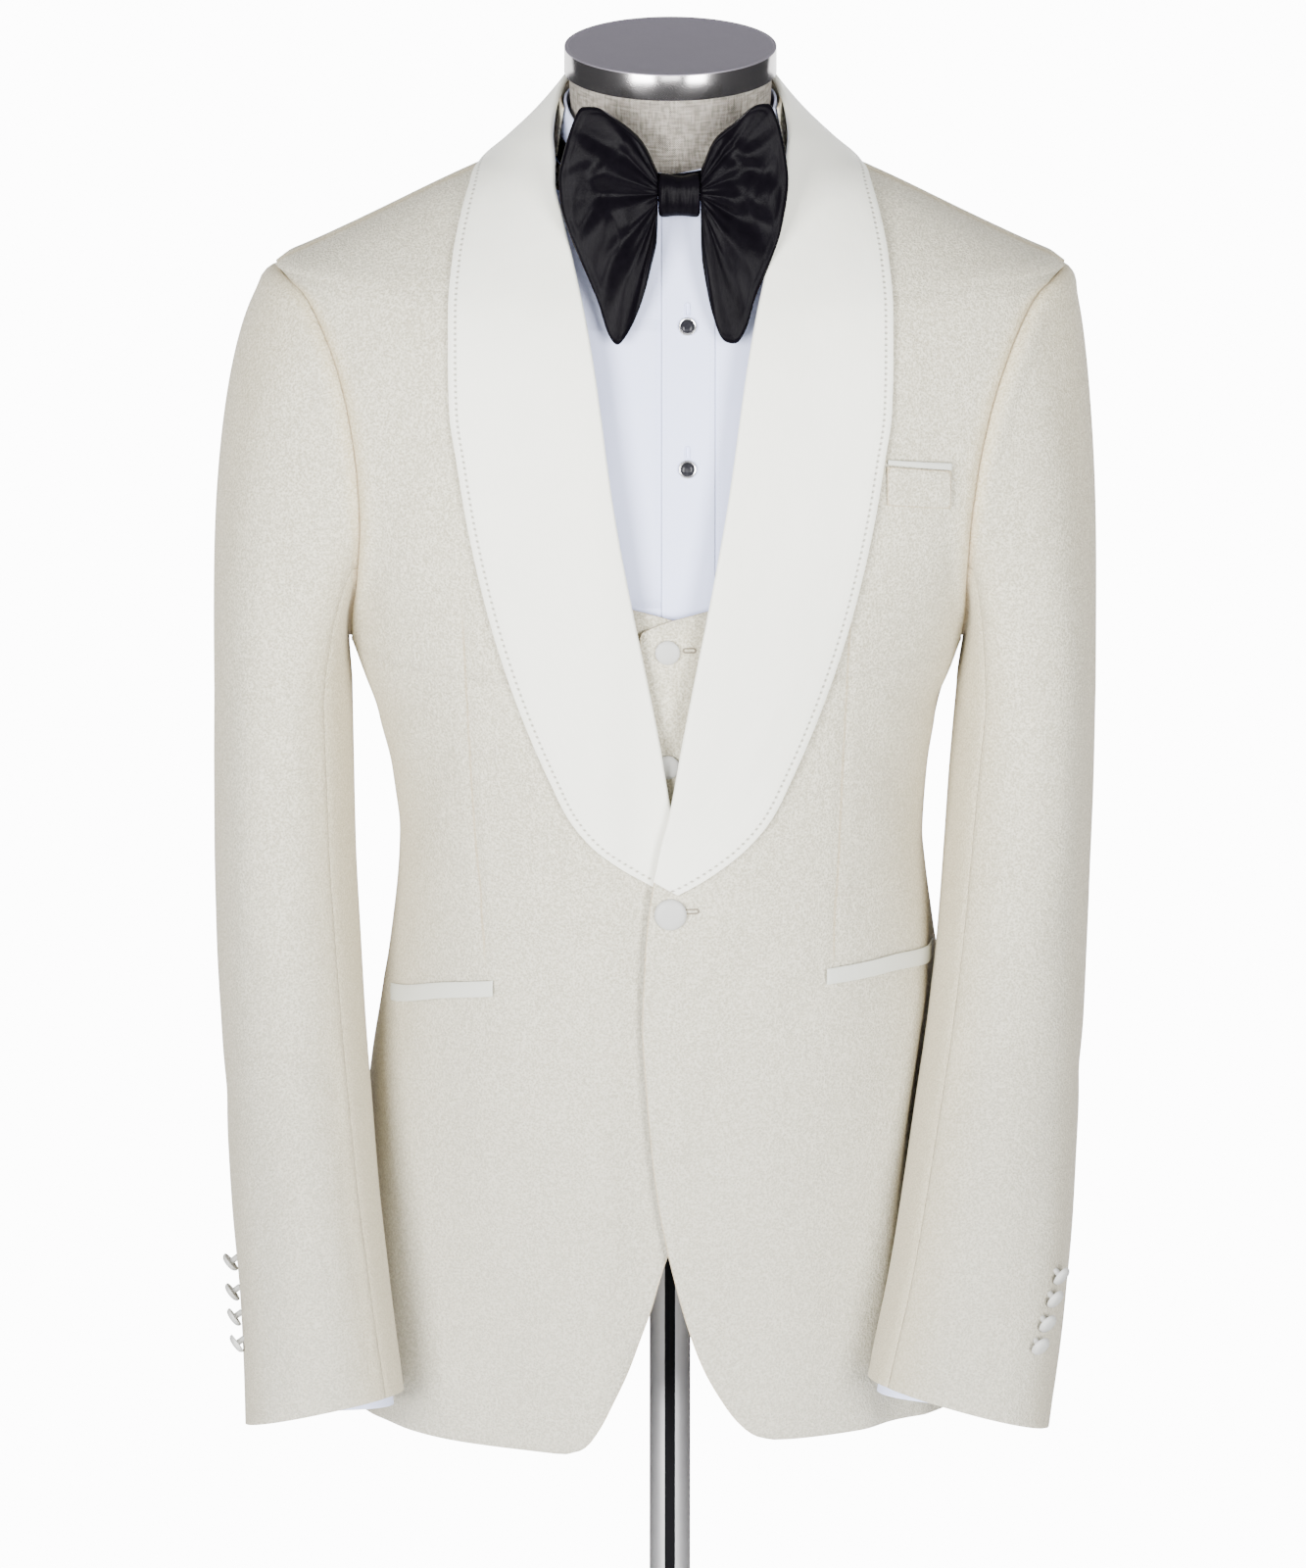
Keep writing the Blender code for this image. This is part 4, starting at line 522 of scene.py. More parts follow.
def new_mesh(name: str, points: Array, faces: list[tuple[int, ...]], uv: Array) -> bpy.types.Mesh:
    """Mesh with its place in the flat cloth.

    Args:
        name: the mesh's name.
        points: its vertices, in rows or in one list.
        faces: lists of vertex numbers.
        uv: metres across and along the threads, for each vertex.

    Returns:
        The mesh.
    """
    mesh = bpy.data.meshes.new(name)
    mesh.from_pydata(points.reshape(-1, 3).tolist(), [], faces)
    layer = mesh.uv_layers.new(name="threads")
    corners = np.empty(len(mesh.loops), dtype=np.int32)
    mesh.loops.foreach_get("vertex_index", corners)
    layer.data.foreach_set("uv", uv.reshape(-1, 2)[corners].astype(np.float32).ravel())
    return mesh


def put_in(name: str, mesh: bpy.types.Mesh, sharp: float | None = None) -> bpy.types.Object:
    """Put a smooth mesh into the scene.

    Args:
        name: the object's name.
        mesh: its mesh.
        sharp: angle in degrees beyond which an edge stays sharp.

    Returns:
        The object.
    """
    obj = bpy.data.objects.new(name, mesh)
    bpy.context.collection.objects.link(obj)
    mesh.shade_smooth()
    if sharp:
        mesh.set_sharp_from_angle(angle=math.radians(sharp))
    return obj


def select_only(obj: bpy.types.Object | None = None) -> None:
    """Deselect everything, then select one object.

    Args:
        obj: the object to select and activate, if any.
    """
    bpy.ops.object.select_all(action="DESELECT")
    if obj:
        bpy.context.view_layer.objects.active = obj
        obj.select_set(True)


def bevel(obj: bpy.types.Object, width: float, segments: int, angle: float) -> None:
    """Add a bevel.

    Args:
        obj: the object.
        width: how wide the bevel is.
        segments: its faces across.
        angle: edges sharper than this, in degrees, are rounded.
    """
    rim = obj.modifiers.new("rim", "BEVEL")
    rim.width, rim.segments = width, segments
    rim.limit_method, rim.angle_limit = "ANGLE", math.radians(angle)


def apply_modifiers(obj: bpy.types.Object) -> None:
    """Bake the modifiers into the mesh.

    Args:
        obj: the object, with a mesh of its own.
    """
    select_only(obj)
    for modifier in list(obj.modifiers):
        bpy.ops.object.modifier_apply(modifier=modifier.name)


def finish_piece(obj: bpy.types.Object, slot: Slot, finish: "Finish", nodes: Sequence[str]) -> None:
    """Give a finished piece its material, its place in the frame and the solids it stands for.

    Args:
        obj: the piece, untransformed.
        slot: the record's slot; not used.
        finish: what its surface looks like.
        nodes: names of the solids that it replaces.
    """
    obj.data.materials.clear()
    obj.data.materials.append(finish.material())
    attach(obj, "root")
    if nodes:
        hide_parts(*nodes)
    log.info("%s: %d faces", obj.name, len(obj.data.polygons))


@dataclass
class Sheet:
    """A cloth piece: its outer face, thickness, cloth and how it is held."""

    name: str
    grid: Grid
    thickness: float
    slot: Slot
    finish: "Finish"
    held: Held = Held.HUNG
    rests_on: tuple[str, ...] = ("form_torso",)
    soft_edge: float = 0.25 * MM

    def build(self) -> None:
        uv = self.grid.lengths().reshape(-1, 2)
        mesh = new_mesh(self.name, self.grid.points, self.grid.faces(), uv)
        add_marks(mesh, self.grid.marks)
        obj = put_in(self.name + "_cloth", mesh)
        solid = obj.modifiers.new("cloth", "SOLIDIFY")
        solid.thickness, solid.offset = self.thickness, -1.0
        solid.use_even_offset, solid.use_rim = False, True
        bevel(obj, min(self.soft_edge, self.thickness * 0.4), 2, 50)
        apply_modifiers(obj)
        finish_piece(obj, self.slot, self.finish, (self.name,))
        self.declare_cut(uv)

    def declare_cut(self, uv: Array) -> None:
        """State the flat cut, measured along the threads.

        Args:
            uv: metres across and along the threads, for each point of its outer face.
        """
        area, size = self.grid.area(), np.maximum(uv.max(0) - uv.min(0), LEAST_CUT)
        size[0] = max(size[0], area / size[1])
        area = float(np.clip(area, LEAST_FILL * size[0] * size[1], size[0] * size[1]))
        log.info("cut of %s: %.3f x %.3f m, %.5f m2", self.name, size[0], size[1], area)
        list(self.rests_on)


def outward(mesh: bpy.types.Mesh) -> None:
    """Merge double points and turn every face outwards.

    Args:
        mesh: a closed mesh.
    """
    shell = bmesh.new()
    shell.from_mesh(mesh)
    bmesh.ops.remove_doubles(shell, verts=shell.verts, dist=1e-6)
    bmesh.ops.recalc_face_normals(shell, faces=shell.faces)
    shell.to_mesh(mesh)
    shell.free()


def pad(node: str, name: str, rings: Array, uv: Array, slot: Slot, finish: "Finish",
        sharp: float | None = None) -> None:
    """Build a closed padded piece from rings of points, with its two ends closed.

    Args:
        node: the solid that it replaces.
        name: the piece's name.
        rings: one row of points for each ring.
        uv: metres across and along the threads, for each point.
        slot: material slot.
        finish: material.
        sharp: angle in degrees beyond which an edge stays sharp.
    """
    count, around = rings.shape[:2]
    faces = Grid(rings, True).faces()
    faces += [list(range(around))[::-1], list(range((count - 1) * around, count * around))]
    mesh = new_mesh(node, rings, faces, uv)
    outward(mesh)
    obj = put_in(name, mesh, sharp)
    finish_piece(obj, slot, finish, (node,))


# ---- jacket ----
@dataclass
class JacketBody:
    """Fronts and backs of the jacket with its hem, darts, seams and soft creases."""

    finish: "Finish"
    cloth: float = 1.8 * MM
    hem_height: float = 765 * MM
    hem_blend: float = 130 * MM
    armhole_low: float = 1219 * MM
    tip: float = 1438.5 * MM
    break_height: float = 1105 * MM
    top: float = 1501 * MM
    underlap_sink: float = 6.7 * MM
    pitch: float = 4.2 * MM
    panel_width: float = 270 * MM
    least_radius: float = 30 * MM
    crowd: float = 0.95
    flute: float = 21 * MM
    flute_height: float = 120 * MM
    dart_reach: float = 20 * MM
    over_edge: Curve = Curve((
        (771, 60), (773, 51.5), (781, 40.6), (798, 28.3), (816, 18.7), (840, 10), (873, 1.1), (886, -1.9),
        (919, -7.9), (954, -11.8), (989, -14.6), (1018, -16.2), (1047, -15.2), (1076, -13.5),
        (1105, -9.5)), MM)
    under_edge: Curve = Curve((
        (763, -60), (766, -51), (775, -43), (796, -32), (812, -24.5), (830, -17.8), (848, -11.3),
        (873, -4), (886, 0.5), (919, 8), (954, 13), (1000, 16), (1050, 15), (1105, 9.5)), MM)
    roll: Curve = Curve((
        (1105, -9.5), (1123, -5), (1147, 1.5), (1177, 6.4), (1221, 14.4), (1278, 25.4), (1333, 35.1),
        (1370, 40.3), (1414, 47.1), (1449, 55.2), (1474, 61.5), (1490, 65.5), (1506, 67.5)), MM)
    hem_rise: dict[Side, Curve] = by_side(
        Curve(((0, 6), (35, 6), (60, 6.5), (90, 9), (130, 24), (180, 40))),
        Curve(((0, -2), (35, -1), (60, 2), (90, 9), (130, 24), (180, 40))))
    side_seam: Curve = Curve(((740, 106), (1095, 101), (1219, 90)))
    armhole: tuple[Curve, ...] = columns((
        # height, half width of the front, half width of the back
        (1219, 176, 176), (1226, 176, 177), (1240, 176.5, 180), (1266, 174.5, 182), (1296, 174, 183.5),
        (1331, 176.5, 185.5), (1366, 182.5, 189), (1396, 191.5, 196), (1418, 201.5, 205), (1431, 211, 213),
        (1438.5, 226, 226)), MM)
    darts: dict[Side, Curve] = by_side(
        Curve(((1040, 93.5), (1101, 95.8), (1262, 102.5)), MM),
        Curve(((1040, 105.5), (1143, 113), (1263, 118.6)), MM))
    dart_span: tuple[float, float, float, float] = (1046 * MM, 1062 * MM, 1240 * MM, 1270 * MM)
    front_folds: dict[Side, Folds] = by_side(
        (
            (44, 1052, 46, 13, 62, 1.5), (66, 1016, 60, 16, 34, 1.3), (30, 980, 85, 17, 10, 1.2),
            (122, 960, 120, 20, 3, 1.4), (95, 880, 100, 24, -5, 1.1), (140, 1130, 60, 14, -22, 1.4),
            (150, 1190, 36, 10, -48, 1.6), (120, 1092, 34, 10, 70, 1.1), (168, 1275, 50, 12, -12, 1.6),
            (150, 1370, 44, 16, 24, 0.9), (142, 1010, 40, 12, 60, -0.8), (70, 830, 60, 20, 8, -0.9)),
        (
            (-42, 1060, 44, 12, -60, 1.5), (-64, 1022, 58, 16, -30, 1.2), (-34, 960, 90, 18, -8, 1.1),
            (-128, 950, 120, 20, -4, 1.4), (-92, 868, 96, 24, 6, 1.0), (-146, 1135, 60, 13, 20, 1.5),
            (-154, 1196, 34, 10, 46, 1.6), (-126, 1098, 36, 11, -68, 1.0), (-170, 1280, 50, 12, 12, 1.5),
            (-152, 1366, 46, 16, -22, 0.9), (-140, 1000, 36, 12, -58, -0.8), (-74, 822, 60, 20, -7, -0.8)))
    back_folds: Folds = (
        (52, 1096, 34, 12, 74, 1.6), (-58, 1090, 36, 12, -76, 1.5), (96, 1140, 70, 16, 24, 1.3),
        (-98, 1136, 66, 16, -26, 1.4), (70, 930, 120, 20, 3, 1.5), (-66, 940, 120, 21, -4, 1.4),
        (132, 1290, 70, 15, 10, 1.6), (-134, 1286, 70, 15, -11, 1.7), (118, 880, 90, 18, -6, -1.0),
        (-120, 872, 90, 18, 5, -1.0), (40, 1452, 26, 14, 80, 0.8), (-42, 1450, 26, 14, -80, 0.8),
        (0, 1330, 120, 26, 0, 0.9))

    def edge(self, side: Side, z: Array) -> Array:
        """Signed x of the front edge at a height, roll line included."""
        below = self.over_edge(z) if side is Side.LEFT else self.under_edge(z)
        return np.where(z < self.break_height, below, side * self.roll(z))

    def under_sink(self, x: Array, side: Side) -> Array:
        """How deep the buttoned-under front lies at this x."""
        return self.underlap_sink * smoothstep(-42 * MM, -13 * MM, x) * (side is Side.RIGHT)

    def armhole_turn(self, z: Array, side: Side, back: bool) -> Array:
        """Turn of the armhole's seam at a height."""
        return JACKET.turn_from_middle(self.armhole[int(back)](z), z, side, back)

    def lift(self, turn: Array, z: Array, side: Side) -> Array:
        """Rise of a row that follows the hem, fading out up the cloth."""
        fade = 1 - smoothstep(0, self.hem_blend, z - self.hem_height)
        return self.hem_rise[side](np.abs(turn)) * MM * fade

    def rows(self) -> Array:
        """Rows of a panel, closer at the hem and the armhole's foot.

        Returns:
            Their heights, before they follow the hem.
        """
        low = self.hem_height
        fine = [low + d * MM for d in (0, 1, 2.5, 4.5, 7, 10, 13.5)]
        fine += [self.armhole_low + d * MM for d in (-2, 0, 1, 2, 3.5, 5, 7, 9, 12, 15, 18)]
        return spaced((low, self.armhole_low, self.tip - 12 * MM, self.tip, self.top), self.pitch, fine)

    def panel(self, side: Side, back: bool) -> Sheet:
        """One front or back.

        Args:
            side: the wearer's side.
            back: the back panel rather than the front one.

        Returns:
            The sheet, not built yet.
        """
        z = self.rows()
        width, _, front, _, _ = JACKET.section(z)
        inset = np.degrees(SEAM_GAP / 2 / np.maximum(0.5 * (width + front), self.least_radius))
        armhole = np.where(z < self.tip, self.armhole_turn(z, side, back), side * 90.0)
        seam = np.where(z < self.armhole_low, side * self.side_seam(z / MM), armhole)
        columns = int(round(self.panel_width / self.pitch))
        t = np.linspace(0, 1, columns + 1)[None, :]
        rows = z[:, None]
        if back:
            turn = lerp((seam + side * inset)[:, None], side * (180 - inset)[:, None], t)
            height = rows + self.lift(turn, rows, side)
        else:
            edge_z = z + self.lift(np.zeros_like(z), z, side)
            start = JACKET.turn_at(self.edge(side, edge_z), edge_z)[:, None]
            turn = lerp(start, (seam - side * inset)[:, None], t ** self.crowd)
            height = lerp(rows + self.lift(turn, rows, side), edge_z[:, None], hill(t * columns, 3.0))
        base, normal = JACKET.base(turn, height), JACKET.normal(turn, height)
        across = run(base, 1)
        to_start, to_end = across, across[:, -1:] - across
        to_seam, to_middle = (to_start, to_end) if back else (to_end, to_start)
        points = base - normal * self.drop(side, back, base, height, to_seam, to_middle)[..., None]
        # painted shade: warm darkening at the body's sides beside the sleeves and along the armhole seam,
        # where shade falls
        warm = 0.55 * smoothstep(0.1, 1.0, (np.abs(turn) - 40) / 50)
        warm = warm * smoothstep(1440 * MM, 1330 * MM, height)
        above = height > self.armhole_low - 4 * MM
        marks = {"warm": np.maximum(warm, 0.9 * hill(to_seam, 7 * MM) * above),
                 "edge": np.minimum(to_seam, to_middle)}
        if not back:
            off = (base[..., 0] - side * self.darts[side](height)) / self.dart_reach
            marks.update(dart=1 + np.clip(off, -0.9, 0.9), sewn=self.dart_share(height))
        grid = Grid(points, marks=marks, origin=(0, 0 if back == (side is Side.LEFT) else columns))
        name = f"jacket_{'back' if back else 'front'}_{side.label}"
        return Sheet(name, grid.turned(side is Side.RIGHT), self.cloth, Slot.JACQUARD, self.finish)

    def dart_share(self, height: Array) -> Array:
        """How fully the dart is sewn at a height, fading out at both ends."""
        a, b, c, d = self.dart_span
        return smoothstep(a, b, height) * (1 - smoothstep(c, d, height))

    def drop(self, side: Side, back: bool, base: Array, height: Array, to_seam: Array,
             to_middle: Array) -> Array:
        """How far a panel sinks at its seams, its dart, its hem and its folds.

        Args:
            side: the wearer's side.
            back: the back panel rather than the front one.
            base: points on the skin.
            height: their heights before the folds.
            to_seam: distance along the cloth to the side seam or armhole.
            to_middle: distance along the cloth to the front edge or centre back.

        Returns:
            Depth in metres at each point.
        """
        x = base[..., 0]
        drop = 0.7 * MM * hill(to_seam, 2.5 * MM) - 0.35 * MM * hill(to_seam - 6 * MM, 3.5 * MM)
        drop += 0.5 * MM * hill(to_middle, 2.0 * MM)
        fade = smoothstep(0, 16 * MM, to_seam) * smoothstep(0, 12 * MM, to_middle)
        folds, strength = (self.back_folds, 1.5) if back else (self.front_folds[side], 1.2)
        calm = fade * smoothstep(self.top, self.top - 30 * MM, height)
        drop += strength * sink(folds, x, height) * calm
        foot = 1 - smoothstep(0, self.flute_height, self.rows() - self.hem_height)
        drop += 0.9 * MM * np.sin(x / self.flute + 0.6 * side) * foot[:, None] * fade
        if not back:
            dart = np.abs(x - side * self.darts[side](height))
            sewn = 0.75 * MM * hill(dart, 1.6 * MM) - 0.25 * MM * hill(dart - 5 * MM, 3.5 * MM)
            drop += self.dart_share(height) * sewn + self.under_sink(x, side)
        return drop

    def build(self) -> None:
        """Build both fronts and both backs."""
        for side in Side:
            for back in (False, True):
                self.panel(side, back).build()


@dataclass
class Lapels:
    """Satin shawl collar: a lapel and half of the collar on each side, rolled out of the front."""

    body: JacketBody
    finish: "Finish"
    stand_finish: "Finish"
    cloth: float = 1.5 * MM
    proud: float = 3.6 * MM
    roll_lift: float = 2.5 * MM
    roll_radius: float = 1.9 * MM
    puff: float = 1.5 * MM
    pitch: float = 3.6 * MM
    columns: int = 26
    outer: Curve = Curve((
        (1097, 2), (1102, 11.7), (1110.6, 25.4), (1124, 42.4), (1139, 55.4), (1161, 66.5), (1189, 78.7),
        (1243, 97.7), (1282, 107.9), (1314, 114.7), (1344, 119.8), (1384, 124.8), (1427, 125.0),
        (1454, 122.6), (1475, 117.8), (1494, 111)), MM)
    lines: tuple[tuple[float, float], ...] = (
        (1106, 1098), (1114, 1103), (1126, 1112), (1141, 1125), (1160, 1142), (1183, 1164), (1208, 1191),
        (1234, 1222), (1260, 1254), (1287, 1286), (1314, 1316), (1342, 1346), (1370, 1373),
        (1399, 1400), (1428, 1428), (1455, 1454), (1477, 1475), (1493, 1488))
    collar: tuple[tuple[float, ...], ...] = (
        # roll x, y, z, edge x, y, z
        (68.0, -49, 1507, 112, -14, 1497), (69.5, -36, 1520, 110, 0, 1497.5),
        (68.5, -18, 1530, 107, 15, 1498.5), (65.0, 3, 1538, 101, 33, 1497),
        (60.2, 24.4, 1544, 90, 52, 1493.5), (47.5, 44.6, 1548, 72, 70, 1490.5),
        (26.9, 59.6, 1550, 42, 82, 1489), (0.0, 65.2, 1551, 0, 86, 1488))
    folds: dict[Side, Folds] = by_side(
        ((60, 1300, 60, 12, 14, 0.7), (84, 1390, 70, 14, -6, 0.6), (34, 1180, 40, 9, 26, 0.6),
         (96, 1440, 30, 10, 50, -0.5), (70, 1220, 40, 9, 30, -0.5)),
        ((-58, 1310, 60, 12, -14, 0.7), (-86, 1380, 70, 14, 6, 0.6),
         (-36, 1190, 40, 9, -24, 0.7), (-98, 1446, 30, 10, -52, -0.5)))

    def control(self, side: Side, t: Array) -> Array:
        """Cross-lines from the button to the centre back.

        Args:
            side: the wearer's side.
            t: shares of the way from the roll line to the outer edge.

        Returns:
            One row of points for each cross-line.
        """
        rows = []
        for roll_height, edge_height in self.lines:
            z_roll, z_edge = roll_height * MM, edge_height * MM
            z = lerp(z_roll, z_edge, t)
            x = lerp(side * self.body.roll(z_roll), side * self.outer(z_edge), t)
            lift = self.roll_lift * (1 - t) ** 2 * smoothstep(1140 * MM, 1220 * MM, z_roll)
            out = self.proud + lift - self.body.under_sink(x, side)
            rows.append(JACKET.point(JACKET.turn_at(x, z), z, out))
        for line in self.collar:
            roll, edge = (np.array(line[i:i + 3]) * MM * (side, 1, 1) for i in (0, 3))
            if line[0] == 0:
                roll[0] = edge[0] = side * SEAM_GAP / 2
            row = lerp(roll[None], edge[None], t[:, None])
            row[:, 2] += self.puff * np.sin(math.pi * t)
            rows.append(row)
        return np.array(rows)

    def lapel(self, side: Side) -> Sheet:
        """One lapel with its half of the collar.

        Args:
            side: the wearer's side.

        Returns:
            The sheet, not built yet.
        """
        t = np.linspace(0, 1, self.columns + 1) ** 0.9
        control = self.control(side, t)
        middle = control[:, self.columns // 2]
        s = run(middle)
        dense = np.linspace(0, s[-1], int(s[-1] / self.pitch))
        points = resample(s, control.reshape(len(s), -1), dense).reshape(len(dense), -1, 3)
        normal = grid_normals(points)
        normal = normal * side * np.sign(-normal[10, 5, 1] * side)
        inward = unit(points[:, 0] - points[:, 1])
        start = np.linspace(math.radians(165), 0, 9)[:-1]
        grown = smoothstep(0, 30 * MM, dense) * (1 - 0.5 * smoothstep(s[-1] - 30 * MM, s[-1], dense))
        radius = (self.roll_radius * (0.25 + 0.75 * grown))[:, None]
        turned = [points[:, 0] - normal[:, 0] * radius * (1 - math.cos(a)) + inward * radius * math.sin(a)
                  for a in start]
        folds = sink(self.folds[side], points[..., 0], points[..., 2])
        calm = np.sin(math.pi * t)[None, :] ** 0.7
        width = np.linalg.norm(points[:, -1] - points[:, 0], axis=1)
        from_edge = width[:, None] * (1 - t)[None, :]
        ease = 0.35 * MM * hill(from_edge, 2.2 * MM) - 0.3 * MM * hill(from_edge - 9 * MM, 6 * MM)
        points = points - normal * (folds * calm + ease)[..., None]
        points = np.concatenate([np.stack(turned, 1), points], 1)
        points[-1, :, 0] = side * SEAM_GAP / 2
        edge = np.concatenate([np.repeat(width[:, None], len(start), 1), from_edge], 1)
        along = np.broadcast_to(dense[:, None], edge.shape)
        origin = (0, points.shape[1] - 1 if side is Side.LEFT else 0)
        grid = Grid(points, marks={"edge": edge, "along": along}, origin=origin)
        return Sheet(f"lapel_{side.label}", grid.turned(side is Side.RIGHT), self.cloth, Slot.SATIN_IVORY,
                     self.finish, Held.FOLDED, (f"jacket_front_{side.label}", "collar_stand"))

    def build(self) -> None:
        """Build both lapels and the collar's stand."""
        for side in Side:
            self.lapel(side).build()
        top = Curve(((75, 1532), (90, 1535.5), (115, 1541), (140, 1544.5), (180, 1547)))
        NeckBand("collar_stand", Slot.JACQUARD, self.stand_finish, lambda turn: 1504 * MM + 0 * turn,
                 lambda turn: top(turn) * MM, 2.9 * MM, 1.2 * MM, 75, 285).build()


@dataclass
class NeckBand:
    """Band round the neck between two heights that vary with the turn."""

    name: str
    slot: Slot
    finish: "Finish"
    low: Callable[[Array], Array]
    high: Callable[[Array], Array]
    offset: float
    thickness: float
    first: float = 0.0
    last: float = 360.0
    rests_on: tuple[str, ...] = ("form_torso",)
    pitch: float = 3.0 * MM
    girth: float = 420 * MM
    front: float = 1.06
    radius: Curve = Curve(((1486, 67.5), (1500, 65.4), (1520, 62.8), (1530, 61.2), (1541, 59.4)), MM)

    def build(self) -> None:
        """Build the band."""
        closed = self.last - self.first >= 360
        count = int(self.girth * (self.last - self.first) / 360 / self.pitch)
        turn = np.linspace(self.first, self.last, count + 1)
        turn = (turn[:-1] if closed else turn)[None, :]
        folded = np.minimum(turn % 360, 360 - turn % 360)
        share = np.linspace(0, 1, 14)[:, None]
        z = lerp(self.low(folded), self.high(folded), share)
        radius = self.radius(z) + self.offset
        ahead = lerp(1.0, self.front, smoothstep(-0.2, 1.0, cosine(turn)))
        points = stack(radius * sine(turn), -radius * cosine(turn) * ahead, z)
        height = self.high(folded) - self.low(folded)
        along = self.radius.values[0] * MM * np.radians(turn) + 0 * z
        marks = {"edge": np.minimum(share, 1 - share) * height, "along": along}
        grid = Grid(points, closed, marks, uv=stack(along, share * height))
        Sheet(self.name, grid, self.thickness, self.slot, self.finish, Held.STRETCHED, self.rests_on).build()


class Armhole:
    """Seam round an armhole: point, normal and direction into the sleeve at any angle."""

    def __init__(self, skin: Skin, turn: Callable[[Array, Side, bool], Array], side: Side,
                 low: float, high: float, out: float = 0.0) -> None:
        """Walk up the front and down the back.

        Args:
            skin: what the seam lies on.
            turn: the seam's turn at a height, for a side and its front or back.
            side: the wearer's side.
            low: lowest height.
            high: highest height.
            out: offset along the normals.
        """
        levels = low + (high - low) * np.sin(np.linspace(0, math.pi / 2, 90)) ** 1.2
        parts = []
        for back, order in ((False, levels[::-1]), (True, levels)):
            turns = turn(order, side, back)
            points, normals = skin.base(turns, order), skin.normal(turns, order)
            length = run(points)
            parts.append((points, normals, 180 * length / length[-1] + (180 if back else 0)))
        points, normals, self.turns = (np.concatenate([ahead, behind[1:]]) for ahead, behind in zip(*parts))
        normals = unit(self._smooth(normals, 5))
        along = np.roll(points, -1, 0) - np.roll(points, 1, 0)
        along[0] = along[-1] = points[1] - points[-2]
        outward = unit(np.cross(along, normals))
        centre = points.mean(0)
        sideways = np.abs(outward[:, 0]) > 0.3
        flip = np.where(sideways, outward[:, 0] * side < 0, ((points - centre) * outward).sum(1) > 0)
        outward = np.where(flip[:, None], -outward, outward)
        self.points = points + normals * out
        self.normals, self.outward = normals, unit(self._smooth(outward, 5))

    @staticmethod
    def _smooth(rows: Array, reach: int) -> Array:
        """Running mean round the closed loop.

        Args:
            rows: vectors, the last one equal to the first.
            reach: how many neighbours count on each side.

        Returns:
            The means, closed in the same way.
        """
        ring = rows[:-1]
        total = sum(np.roll(ring, k, 0) for k in range(-reach, reach + 1)) / (2 * reach + 1)
        return np.concatenate([total, total[:1]])

    def at(self, angle: Array) -> tuple[Array, Array, Array]:
        """Read the seam.

        Args:
            angle: degrees round the sleeve, 90 at the shoulder tip.

        Returns:
            Point, normal and direction into the sleeve.
        """
        place = (90 - angle) % 360
        read = lambda rows: np.stack([np.interp(place, self.turns, rows[:, i]) for i in range(3)], -1)
        return read(self.points), unit(read(self.normals)), unit(read(self.outward))


@dataclass
class SleeveShape:
    """Sections of a sleeve below its head, by a share of the way from biceps to cuff."""

    side: Side
    inset: float = 0.0
    square: float = 0.93

    def __post_init__(self) -> None:
        """Read the table of the side."""
        table = SLEEVE_SECTIONS[self.side]
        self.columns = columns(table, MM)
        self.top, self.bottom = table[0][0] * MM, table[-1][0] * MM
        self.tilt = CUFF_TILT[self.side]

    def point(self, angle: Array, share: Array) -> Array:
        """Point of the sleeve.

        Args:
            angle: degrees, 0 in front, 90 outside.
            share: 0 at the biceps, 1 at the cuff's edge.

        Returns:
            Points with x, y and z in the last axis.
        """
        z = lerp(self.top, self.bottom, share)
        outer, inner, middle, depth = (column(z) for column in self.columns)
        half, depth = (outer - inner) / 2 - self.inset, depth - self.inset
        out = power(sine(angle), self.square) * half
        ahead = power(cosine(angle), self.square) * depth
        rise = (-self.tilt[0] * out + self.tilt[1] * ahead) * share
        return stack(self.side * ((outer + inner) / 2 + out), middle - ahead, z + rise)


